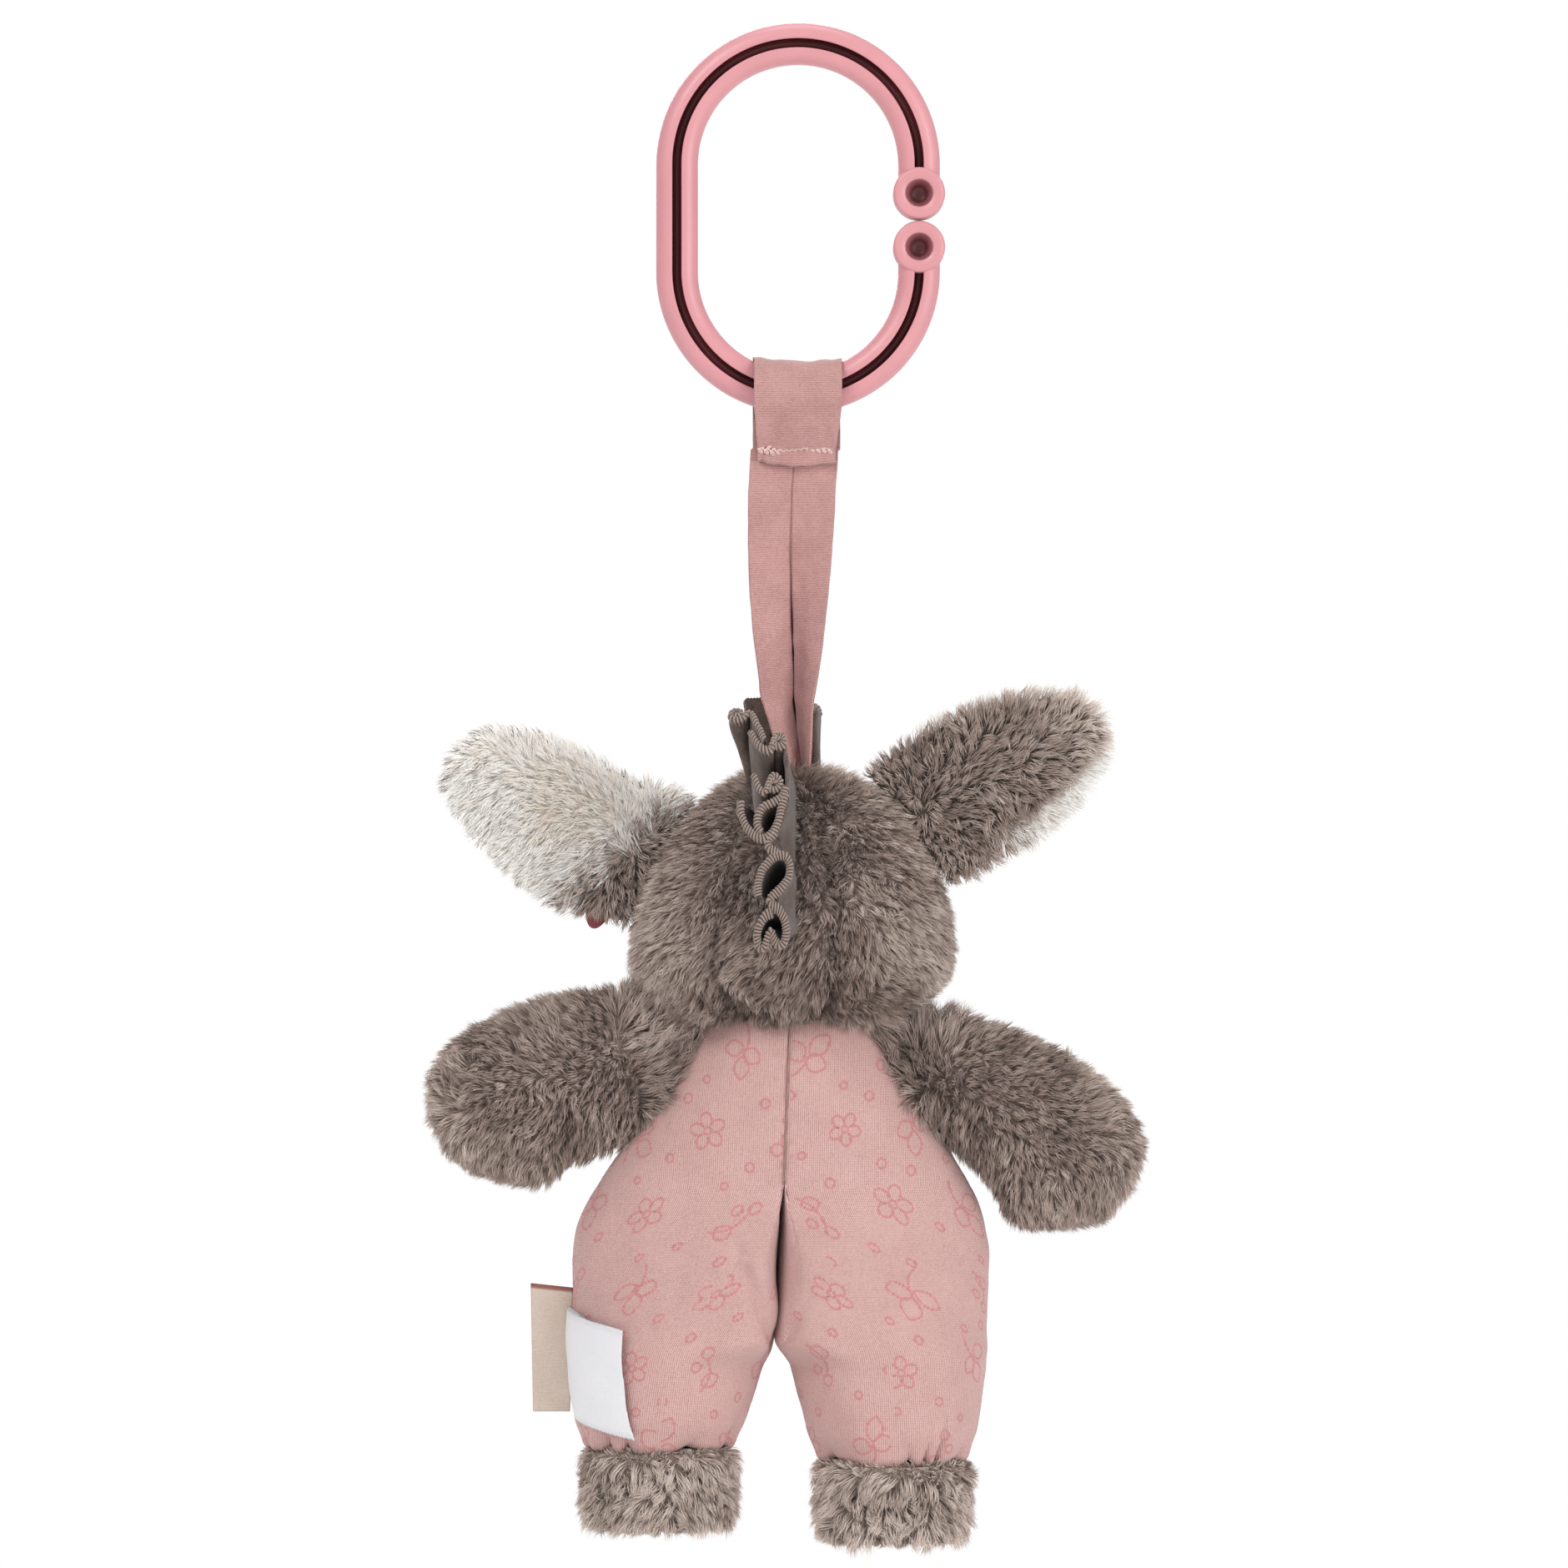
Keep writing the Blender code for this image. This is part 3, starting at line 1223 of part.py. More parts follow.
def main() -> None:
    for obj in list(bpy.data.objects):
        bpy.data.objects.remove(obj)
    shop = Workshop()
    make_ring(shop)
    strap_pivot = shop.empty("strap_pivot", Vector((0, 0, RING_BAR_Z)))
    toy_pivot = shop.empty("toy_pivot", Vector((0, 0, HEAD_TOP_Z)))
    hang(strap_pivot, [make_strap(shop), toy_pivot])

    neck = Vector((toy_centre_x(NECK_Z), TOY_BALANCE, NECK_Z))
    reach = Vector((0, 0, 2 * COVER_WALL))
    hole = rod_mesh("neck_hole", neck - reach, neck + reach, NECK_HOLE_RADIUS, NECK_HOLE_RADIUS, HOLE_SIDES)
    neck_hole = shop.cutter("neck_hole", hole)
    hang(toy_pivot, make_head(shop, neck_hole) + make_face(shop))
    manes = (("mane_back", 1, MANE_BACK_PERIODS), ("mane_front", -1, MANE_FRONT_PERIODS))
    hang(toy_pivot, [make_mane(shop, name, direction, periods) for name, direction, periods in manes])
    # The left ear is twisted, so its cream inner panel faces back
    ears = (
        ("left", 1, LEFT_EAR_RISE, LEFT_EAR_LIFT, LEFT_EAR_BOW, 1),
        ("right", -1, RIGHT_EAR_RISE, RIGHT_EAR_LIFT, RIGHT_EAR_BOW, -1),
    )
    for name, side, rise, lift, bow, inner_facing in ears:
        limb = ear_limb(side, rise, lift, bow)
        pivot = shop.empty(f"{name}_ear_pivot", limb.seat.middle)
        panels = [
            ear_panel(shop, f"{name}_ear_inner", limb, inner_facing, CREAM_PLUSH),
            ear_panel(shop, f"{name}_ear_back", limb, -inner_facing, GREY_PLUSH),
        ]
        if side > 0:
            panels += make_flower(shop, limb, -inner_facing)
        hang(pivot, panels)
        hang(toy_pivot, [pivot])

    body_pivot = shop.empty("body_pivot", neck)
    hang(toy_pivot, [body_pivot])
    legs = {"left": Leg(1, LEFT_LEG_LENGTH), "right": Leg(-1, RIGHT_LEG_LENGTH)}
    hip_holes = {}
    for name, leg in legs.items():
        hip = leg.section(0.0).centre
        mesh = rod_mesh(f"{name}_hip_hole", hip - reach, hip + reach, LEG_HOLE_RADIUS, LEG_HOLE_RADIUS, HOLE_SIDES)
        hip_holes[name] = shop.cutter(f"{name}_hip_hole", mesh)
    hang(body_pivot, make_torso(shop, [neck_hole, *hip_holes.values()]))
    arms = (("left", 1, LEFT_ARM_DROOP, LEFT_ARM_BOW), ("right", -1, RIGHT_ARM_DROOP, RIGHT_ARM_BOW))
    for name, side, droop, bow in arms:
        limb = arm_limb(side, droop, bow)
        pivot = shop.empty(f"{name}_arm_pivot", limb.seat.middle)
        hang(pivot, make_arm(shop, f"{name}_arm", limb))
        hang(body_pivot, [pivot])
    for name, leg in legs.items():
        pivot = shop.empty(f"{name}_leg_pivot", leg.section(0.0).centre)
        pieces = stuffed_part(
            shop, f"{name}_leg", leg.form(), PINK_JERSEY, hip_holes[name], LEG_SIDES, LEG_RINGS
        )
        hang(pivot, pieces + [make_foot(shop, f"{name}_foot", leg.ankle)])
        hang(body_pivot, [pivot])
        if leg.side > 0:
            label_top = HIP_Z - SIDE_LABEL_DROP
            stand_off = GAP + SIDE_LABEL_THICKNESS / 2
            seat = side_seat(leg.outer_side, label_top, label_top - SIDE_LABEL_HEIGHT, 1, stand_off)
            label_pivot = shop.empty("side_label_pivot", seat.middle)
            hang(label_pivot, [make_side_label(shop, seat)])
            care_pivot = shop.empty("care_label_pivot", seat.middle)
            hang(care_pivot, [make_care_label(shop, leg)])
            hang(pivot, [label_pivot, care_pivot])


def hang(parent: bpy.types.Object, children: list[bpy.types.Object]) -> None:
    """Parents the children without moving them."""
    bpy.context.view_layer.update()
    for child in children:
        world = child.matrix_world.copy()
        child.parent = parent
        child.matrix_parent_inverse = parent.matrix_world.inverted()
        child.matrix_world = world


main()
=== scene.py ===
"""Looks of the hanging plush toy: plush, knitted overalls, suede mane, cotton strap, clip ring.

Metres, +Z up. The toy's back is on +Y and its left side on +X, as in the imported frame. Each
sub-assembly is a class that holds its sizes, builds its meshes and dresses them.
"""

import json
import logging
import math
from dataclasses import dataclass, field, replace
from enum import Enum
from typing import Callable

import bpy
import numpy as np
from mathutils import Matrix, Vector
from mathutils.kdtree import KDTree

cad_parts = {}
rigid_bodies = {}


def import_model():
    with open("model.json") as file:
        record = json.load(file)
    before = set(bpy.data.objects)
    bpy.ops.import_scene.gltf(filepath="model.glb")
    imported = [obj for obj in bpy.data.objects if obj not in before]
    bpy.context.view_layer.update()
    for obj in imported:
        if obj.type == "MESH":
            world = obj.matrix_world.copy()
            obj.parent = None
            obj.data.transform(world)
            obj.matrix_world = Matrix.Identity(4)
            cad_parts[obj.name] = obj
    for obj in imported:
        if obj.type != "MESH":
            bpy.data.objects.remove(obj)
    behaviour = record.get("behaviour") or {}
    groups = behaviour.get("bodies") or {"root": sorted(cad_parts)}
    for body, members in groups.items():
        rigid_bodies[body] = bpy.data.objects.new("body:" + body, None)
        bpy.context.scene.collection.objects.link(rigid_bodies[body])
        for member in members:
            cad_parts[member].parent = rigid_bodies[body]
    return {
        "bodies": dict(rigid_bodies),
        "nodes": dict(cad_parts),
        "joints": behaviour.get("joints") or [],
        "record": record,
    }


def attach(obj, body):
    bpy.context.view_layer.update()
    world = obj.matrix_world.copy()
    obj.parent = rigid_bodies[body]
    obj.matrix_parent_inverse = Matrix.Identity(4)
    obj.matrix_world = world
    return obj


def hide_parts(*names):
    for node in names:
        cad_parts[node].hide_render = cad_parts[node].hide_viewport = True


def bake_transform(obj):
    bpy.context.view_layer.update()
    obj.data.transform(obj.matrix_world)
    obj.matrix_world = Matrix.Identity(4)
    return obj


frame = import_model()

LOG = logging.getLogger("plush_toy")
MM = 0.001
Z_AXIS = np.array((0.0, 0.0, 1.0))
Y_AXIS = np.array((0.0, 1.0, 0.0))
X_AXIS = np.array((1.0, 0.0, 0.0))
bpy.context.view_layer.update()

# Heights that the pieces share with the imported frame
RING_BAR_Z = -72.725 * MM
HEAD_TOP_Z = -155.825 * MM
NECK_Z = -211.025 * MM
HIP_Z = -270.525 * MM
TOY_LEAN = 0.033
TOY_Y = 0.4 * MM

WHITE = (1.0, 1.0, 1.0, 1.0)
Triple = tuple[float, float, float]
Material = bpy.types.Material
Piece = bpy.types.Object
Socket = bpy.types.NodeSocket


# Small tools for numbers and surfaces


def unit(vectors: np.ndarray) -> np.ndarray:
    """Vectors scaled to length one."""
    return vectors / np.maximum(np.linalg.norm(vectors, axis=-1, keepdims=True), 1e-12)


def smooth_step(low: float, high: float, values: np.ndarray) -> np.ndarray:
    """A soft ramp from 0 at low to 1 at high."""
    t = np.clip((np.asarray(values) - low) / (high - low), 0, 1)
    return t * t * (3 - 2 * t)


def bump(values: np.ndarray, width: float) -> np.ndarray:
    """A bell of height one round zero."""
    return np.exp(-((np.asarray(values) / width) ** 2))


def toy_centre_x(z: np.ndarray) -> np.ndarray:
    """X of the toy's own middle at this height."""
    return TOY_LEAN * (HEAD_TOP_Z - z)


def table_curve(table: tuple, column: int, share: np.ndarray) -> np.ndarray:
    """A smooth value from a table of shares, by a monotone cubic between its rows.

    Args:
        table: Rows of a share and its values, in rising order of share.
        column: Which value of each row to read.
        share: Where to read, one place or an array of them.

    Returns:
        The value at each place.
    """
    rows = np.array(table)
    places, values = rows[:, 0], rows[:, column]
    steps = np.diff(values) / np.diff(places)
    before, after = steps[:-1], steps[1:]
    mean = 2 * before * after / np.where(before + after == 0, 1, before + after)
    slopes = np.concatenate([steps[:1], np.where(before * after > 0, mean, 0), steps[-1:]])
    share = np.asarray(share, float)
    i = np.clip(np.searchsorted(places, share) - 1, 0, len(steps) - 1)
    width = places[i + 1] - places[i]
    t = (share - places[i]) / width
    return (
        values[i] * (1 + 2 * t) * (1 - t) ** 2
        + slopes[i] * width * t * (1 - t) ** 2
        + values[i + 1] * t * t * (3 - 2 * t)
        + slopes[i + 1] * width * t * t * (t - 1)
    )


def full_turn(count: int) -> np.ndarray:
    """Angles of this many even steps round a circle."""
    return 2 * np.pi * np.arange(count) / count


def run_length(line: np.ndarray) -> np.ndarray:
    """How far along a line each of its points is."""
    return np.concatenate([[0.0], np.cumsum(np.linalg.norm(np.diff(line, axis=0), axis=1))])


class SoftNoise:
    """Repeatable smooth noise in space, from a seeded block of random values."""

    SIDE = 32

    def __init__(self, seed: int) -> None:
        """Fills the block.

        Args:
            seed: Number that the block's values follow from.
        """
        self.block = np.random.default_rng(seed).uniform(-1, 1, (self.SIDE,) * 3)

    def at(self, points: np.ndarray, size: float) -> np.ndarray:
        """Noise from -1 to 1.

        Args:
            points: Places, as an array that ends in x, y, z.
            size: Size of the noise's lumps.

        Returns:
            One value for each place.
        """
        scaled = points / size + 7.31
        cell = np.floor(scaled).astype(int)
        part = scaled - cell
        part = part * part * (3 - 2 * part)
        total = np.zeros(points.shape[:-1])
        for corner in range(8):
            step = np.array((corner & 1, corner >> 1 & 1, corner >> 2 & 1))
            weight = np.where(step, part, 1 - part).prod(-1)
            at = (cell + step) % self.SIDE
            total += weight * self.block[at[..., 0], at[..., 1], at[..., 2]]
        return total

    def rough(self, points: np.ndarray, size: float) -> np.ndarray:
        """Two sizes of noise together, the finer one at half strength."""
        return (self.at(points, size) + 0.5 * self.at(points + 3.3 * size, size * 0.47)) / 1.5

    def vectors(self, points: np.ndarray, size: float) -> np.ndarray:
        """A noise vector for each place."""
        return np.stack([self.rough(points + shift * size, size) for shift in (0.0, 5.7, 11.9)], -1)


@dataclass
class Skin:
    """A surface of rings of points, which closes at a pole at each end."""

    rings: np.ndarray
    points: np.ndarray = field(init=False)
    quads: np.ndarray = field(init=False)
    fans: np.ndarray = field(init=False)

    def __post_init__(self) -> None:
        """Numbers the points and joins them with faces."""
        rows, columns = self.rings.shape[:2]
        index = np.arange(rows * columns).reshape(rows, columns)
        ahead = np.roll(index, -1, axis=1)
        self.points = np.vstack([self.rings.reshape(-1, 3), self.rings[0].mean(0), self.rings[-1].mean(0)])
        self.quads = np.stack([index[:-1], ahead[:-1], ahead[1:], index[1:]], -1).reshape(-1, 4)
        start, end = (np.full(columns, rows * columns + pole) for pole in (0, 1))
        fans = [np.stack([ahead[0], index[0], start], -1), np.stack([index[-1], ahead[-1], end], -1)]
        self.fans = np.concatenate(fans)

    @property
    def triangles(self) -> np.ndarray:
        """All faces as triangles."""
        return np.concatenate([self.quads[:, [0, 1, 2]], self.quads[:, [0, 2, 3]], self.fans])

    def crossed(self) -> np.ndarray:
        """Each triangle's outward way, as long as twice its area."""
        corners = self.points[self.triangles]
        return np.cross(corners[:, 1] - corners[:, 0], corners[:, 2] - corners[:, 0])

    def normals(self) -> np.ndarray:
        """The outward direction at each point.

        Returns:
            A unit vector for each point.
        """
        faces = self.crossed()
        total = np.zeros_like(self.points)
        for k in range(3):
            np.add.at(total, self.triangles[:, k], faces)
        return unit(total)

    def push(self, amount: np.ndarray) -> "Skin":
        """Moves each point outward by its own amount and returns the skin."""
        self.points = self.points + self.normals() * np.asarray(amount).reshape(-1, 1)
        return self

    def area(self) -> np.ndarray:
        """Area of each triangle."""
        return np.linalg.norm(self.crossed(), axis=1) / 2


def outward_skin(rings: np.ndarray) -> Skin:
    """A skin whose faces look outward.

    Args:
        rings: Rings of points, as an array of rows, columns and x, y, z.

    Returns:
        The skin, with its faces turned over if they looked inward.
    """
    made = Skin(rings)
    corners = made.points[made.triangles] - rings.mean((0, 1))
    if (np.cross(corners[:, 0], corners[:, 1]) * corners[:, 2]).sum() < 0:
        made.quads, made.fans = made.quads[:, ::-1], made.fans[:, ::-1]
    return made


def turned_skin(profile: np.ndarray, centre: Triple, columns: int = 72) -> Skin:
    """A surface turned about a line along Y through a centre.

    Args:
        profile: Radius and depth of each row.
        centre: Where the line passes.
        columns: Points round it.

    Returns:
        The skin, closed at both ends.
    """
    turn = full_turn(columns)
    radius, depth = profile[:, :1], profile[:, 1:2]
    rings = np.stack([radius * np.cos(turn), depth + 0 * turn, radius * np.sin(turn)], -1)
    return outward_skin(rings + np.array(centre))


def sheet_skin(grid: np.ndarray, thickness: float, sunk: np.ndarray | None = None) -> Skin:
    """A thin closed skin round a grid of points, with its first face sunk where asked.

    Args:
        grid: The sheet's middle surface.
        thickness: Its thickness.
        sunk: How far the first face is sunk at each point.

    Returns:
        The skin.
    """
    out = unit(np.cross(np.gradient(grid, axis=0), np.gradient(grid, axis=1)))
    out = out * (1 if (out[..., 1].sum() > 0) else -1)
    first = grid + out * (thickness / 2 - (0 if sunk is None else sunk[..., None]))
    second = grid - out * thickness / 2
    return outward_skin(np.concatenate([first, second[:, ::-1]], 1))


def with_poles(values: np.ndarray) -> np.ndarray:
    """A grid's values as one row, with a spare zero for each pole."""
    return np.append(values.ravel(), (0.0, 0.0))


def both_faces(values: np.ndarray) -> np.ndarray:
    """A grid's values for both faces of its sheet and for the poles."""
    return with_poles(np.concatenate([values, values[:, ::-1]], 1))


def tube_skin(line: np.ndarray, radius: float, sides: int = 8) -> Skin:
    """A round tube along a line that faces Y.

    Args:
        line: The tube's middle.
        radius: Its radius.
        sides: Points round it.

    Returns:
        The skin.
    """
    ahead = unit(np.gradient(line, axis=0))
    aside = unit(np.cross(ahead, Y_AXIS))
    up = np.cross(aside, ahead)
    turn = full_turn(sides)
    spokes = aside[:, None] * np.cos(turn)[:, None] + up[:, None] * np.sin(turn)[:, None]
    return outward_skin(line[:, None] + radius * spokes)


def mesh_object(
    name: str,
    points: np.ndarray,
    faces: list[np.ndarray],
    material: Material,
    values: dict[str, np.ndarray] | None = None,
    flat: np.ndarray | None = None,
) -> Piece:
    """A smooth-shaded mesh object from arrays.

    Args:
        name: Name of the object.
        points: Places of the vertices.
        faces: Arrays of vertex numbers, one array for each face size.
        material: Finish of the whole piece.
        values: Named numbers for each vertex, which the material reads.
        flat: Place of each vertex on the piece's map, if it has one.

    Returns:
        The new object, linked to the scene.
    """
    mesh = bpy.data.meshes.new(name)
    faces = [block for block in faces if len(block)]
    corners = np.concatenate([block.ravel() for block in faces]).astype(np.int32)
    sizes = np.concatenate([np.full(len(block), block.shape[1]) for block in faces])
    mesh.vertices.add(len(points))
    mesh.vertices.foreach_set("co", np.ascontiguousarray(points, np.float32).ravel())
    mesh.loops.add(len(corners))
    mesh.loops.foreach_set("vertex_index", corners)
    mesh.polygons.add(len(sizes))
    mesh.polygons.foreach_set("loop_start", np.concatenate([[0], np.cumsum(sizes)[:-1]]).astype(np.int32))
    for key, numbers in (values or {}).items():
        layer = mesh.attributes.new(key, "FLOAT", "POINT")
        layer.data.foreach_set("value", np.ascontiguousarray(numbers, np.float32).ravel())
    if flat is not None:
        layer = mesh.uv_layers.new(name="OFBake")
        layer.uv.foreach_set("vector", np.ascontiguousarray(flat[corners], np.float32).ravel())
    mesh.update(calc_edges=True)
    mesh.validate()
    mesh.shade_smooth()
    mesh.materials.append(material)
    made = bpy.data.objects.new(name, mesh)
    bpy.context.scene.collection.objects.link(made)
    return made


def skin_object(
    name: str, skin: Skin, material: Material, values: dict[str, np.ndarray] | None = None
) -> Piece:
    """A mesh object of a skin."""
    return mesh_object(name, skin.points, [skin.quads, skin.fans], material, values)


# Finishes


class Nodes:
    """Builds one material's nodes, with short calls for the ones used most."""

    def __init__(self, name: str) -> None:
        """Starts a Principled material.

        Args:
            name: Name of the finish.
        """
        self.material = bpy.data.materials.new(name)
        self.material.use_nodes = True
        self.tree = self.material.node_tree
        self.shader = self.tree.nodes["Principled BSDF"]

    def add(self, kind: str, **settings: object) -> bpy.types.Node:
        """A node of this kind with these settings.

        Args:
            kind: Blender's name of the node.
            settings: Its properties.

        Returns:
            The node.
        """
        made = self.tree.nodes.new(kind)
        for key, value in settings.items():
            setattr(made, key, value)
        return made

    def link(self, source: Socket, target: Socket) -> None:
        """Joins two sockets."""
        self.tree.links.new(source, target)

    def set(self, **values: object) -> "Nodes":
        """Sets the shader's own sockets, with spaces written as underscores.

        Args:
            values: Each socket's value.

        Returns:
            These nodes.
        """
        for key, value in values.items():
            self.shader.inputs[key.replace("_", " ")].default_value = value
        return self

    def attribute(self, name: str) -> Socket:
        """A number that the mesh holds."""
        return self.add("ShaderNodeAttribute", attribute_name=name).outputs["Fac"]

    def noise(self, size: float, detail: float = 2.0) -> Socket:
        """Noise with lumps of this size, from 0 to 1.

        Args:
            size: Size of the lumps, in metres.
            detail: How much finer noise is in it.

        Returns:
            The noise's socket.
        """
        made = self.add("ShaderNodeTexNoise")
        made.inputs["Scale"].default_value = 1 / size
        made.inputs["Detail"].default_value = detail
        self.link(self.add("ShaderNodeTexCoord").outputs["Object"], made.inputs["Vector"])
        return made.outputs["Fac"]

    def sum(self, kind: str, first: object, second: object) -> Socket:
        """A sum of two numbers or sockets, by the named operation.

        Args:
            kind: Blender's name of the operation.
            first: A number or a socket.
            second: Another.

        Returns:
            The result's socket.
        """
        made = self.add("ShaderNodeMath", operation=kind)
        for value, socket in zip((first, second), made.inputs):
            if isinstance(value, Socket):
                self.link(value, socket)
            else:
                socket.default_value = value
        return made.outputs[0]

    def wave(self, name: str, length: float) -> Socket:
        """A cosine along a number that the mesh holds, with this wavelength."""
        return self.sum("COSINE", self.sum("MULTIPLY", self.attribute(name), 2 * math.pi / length), 0.0)

    def weighted(self, *parts: tuple[Socket, float], plus: object = 0.0) -> Socket:
        """A sum of sockets, each times its own weight.

        Args:
            parts: Each socket with its weight.
            plus: A number or a socket to add to them.

        Returns:
            The sum's socket.
        """
        total = plus
        for socket, weight in parts:
            total = self.sum("ADD", self.sum("MULTIPLY", socket, weight), total)
        return total

    def ramp(self, source: Socket, stops: list[tuple]) -> Socket:
        """Colours along a number from 0 to 1.

        Args:
            source: The number.
            stops: Place and colour of each stop.

        Returns:
            The colour's socket.
        """
        made = self.add("ShaderNodeValToRGB")
        elements = made.color_ramp.elements
        while len(elements) < len(stops):
            elements.new(0.5)
        for element, (place, colour) in zip(elements, stops):
            element.position = place
            element.color = (*colour, 1.0)
        self.link(source, made.inputs["Fac"])
        return made.outputs["Color"]

    def mix(self, share: object, first: object, second: object, kind: str = "MIX") -> Socket:
        """A mix of two colours or sockets.

        Args:
            share: Share of the second one.
            first: A colour or a socket.
            second: Another.
            kind: How they are blended.

        Returns:
            The mix's socket.
        """
        made = self.add("ShaderNodeMix", data_type="RGBA", blend_type=kind)
        for value, socket in zip((share, first, second), (made.inputs[0], made.inputs[6], made.inputs[7])):
            if isinstance(value, Socket):
                self.link(value, socket)
            elif isinstance(value, tuple):
                socket.default_value = (*value, 1.0)
            else:
                socket.default_value = value
        return made.outputs[2]

    def colour(self, source: Socket) -> "Nodes":
        """Sends a colour to the shader."""
        self.link(source, self.shader.inputs["Base Color"])
        return self

    def relief(self, height: Socket, depth: float, strength: float = 1.0) -> "Nodes":
        """Sends a height to the shader as a bump of this depth.

        Args:
            height: The height's socket.
            depth: Depth of the bump.
            strength: How much of it shows.

        Returns:
            These nodes.
        """
        made = self.add("ShaderNodeBump")
        made.inputs["Distance"].default_value = depth
        made.inputs["Strength"].default_value = strength
        self.link(height, made.inputs["Height"])
        self.link(made.outputs["Normal"], self.shader.inputs["Normal"])
        return self


def linear(red: float, green: float, blue: float) -> Triple:
    """A colour as it shows on a screen, turned into the light it stands for."""
    return tuple(c / 12.92 if c <= 0.04045 else ((c + 0.055) / 1.055) ** 2.4 for c in (red, green, blue))


@dataclass(frozen=True)
class PileFinish:
    """Plush strands: dark at the root, lighter to the tip, each with its own tone."""

    name: str
    dark: Triple
    middle: Triple
    light: Triple
    root_shade: float = 0.55
    sheen: float = 0.15

    def strands(self) -> Material:
        """The finish of the strands, which read their own tone and height.

        Returns:
            The material.
        """
        nodes = Nodes(f"{self.name}_pile")
        tone = nodes.ramp(
            nodes.attribute("tone"),
            [(0.0, linear(*self.dark)), (0.5, linear(*self.middle)), (1.0, linear(*self.light))],
        )
        shade = nodes.ramp(
            nodes.attribute("rise"),
            [(0.0, (self.root_shade,) * 3), (0.55, (0.92,) * 3), (1.0, (1.0,) * 3)],
        )
        nodes.colour(nodes.mix(1.0, tone, shade, "MULTIPLY"))
        nodes.set(Roughness=0.8, Sheen_Weight=self.sheen, Sheen_Roughness=0.4, Specular_IOR_Level=0.25)
        return nodes.material

    def hide(self) -> Material:
        """The finish of the cloth that the strands grow from.

        Returns:
            The material.
        """
        nodes = Nodes(f"{self.name}_backing")
        deep = tuple(c * self.root_shade for c in linear(*self.dark))
        fair = tuple(c * self.root_shade for c in linear(*self.middle))
        nodes.colour(nodes.ramp(nodes.noise(0.8 * MM, 3.0), [(0.3, deep), (0.7, fair)]))
        nodes.set(Roughness=0.95)
        nodes.relief(nodes.noise(0.5 * MM, 3.0), 0.3 * MM)
        return nodes.material


GREY_PLUSH = PileFinish(
    "grey_plush", (0.51, 0.44, 0.40), (0.735, 0.66, 0.62), (0.90, 0.84, 0.80), root_shade=0.66
)
CREAM_PLUSH = PileFinish(
    "cream_plush", (0.93, 0.885, 0.835), (0.985, 0.97, 0.95), (1.0, 0.995, 0.985), root_shade=1.0, sheen=0.5
)


# Plush


@dataclass(frozen=True)
class Pile:
    """How a plush is cut: its strands and how they lie."""

    length: float = 4.6 * MM
    width: float = 0.2 * MM
    per_mm2: float = 7.5
    lean: float = 0.55
    tuft: float = 1.3 * MM
    tuft_pull: float = 0.55
    unruly: float = 0.35


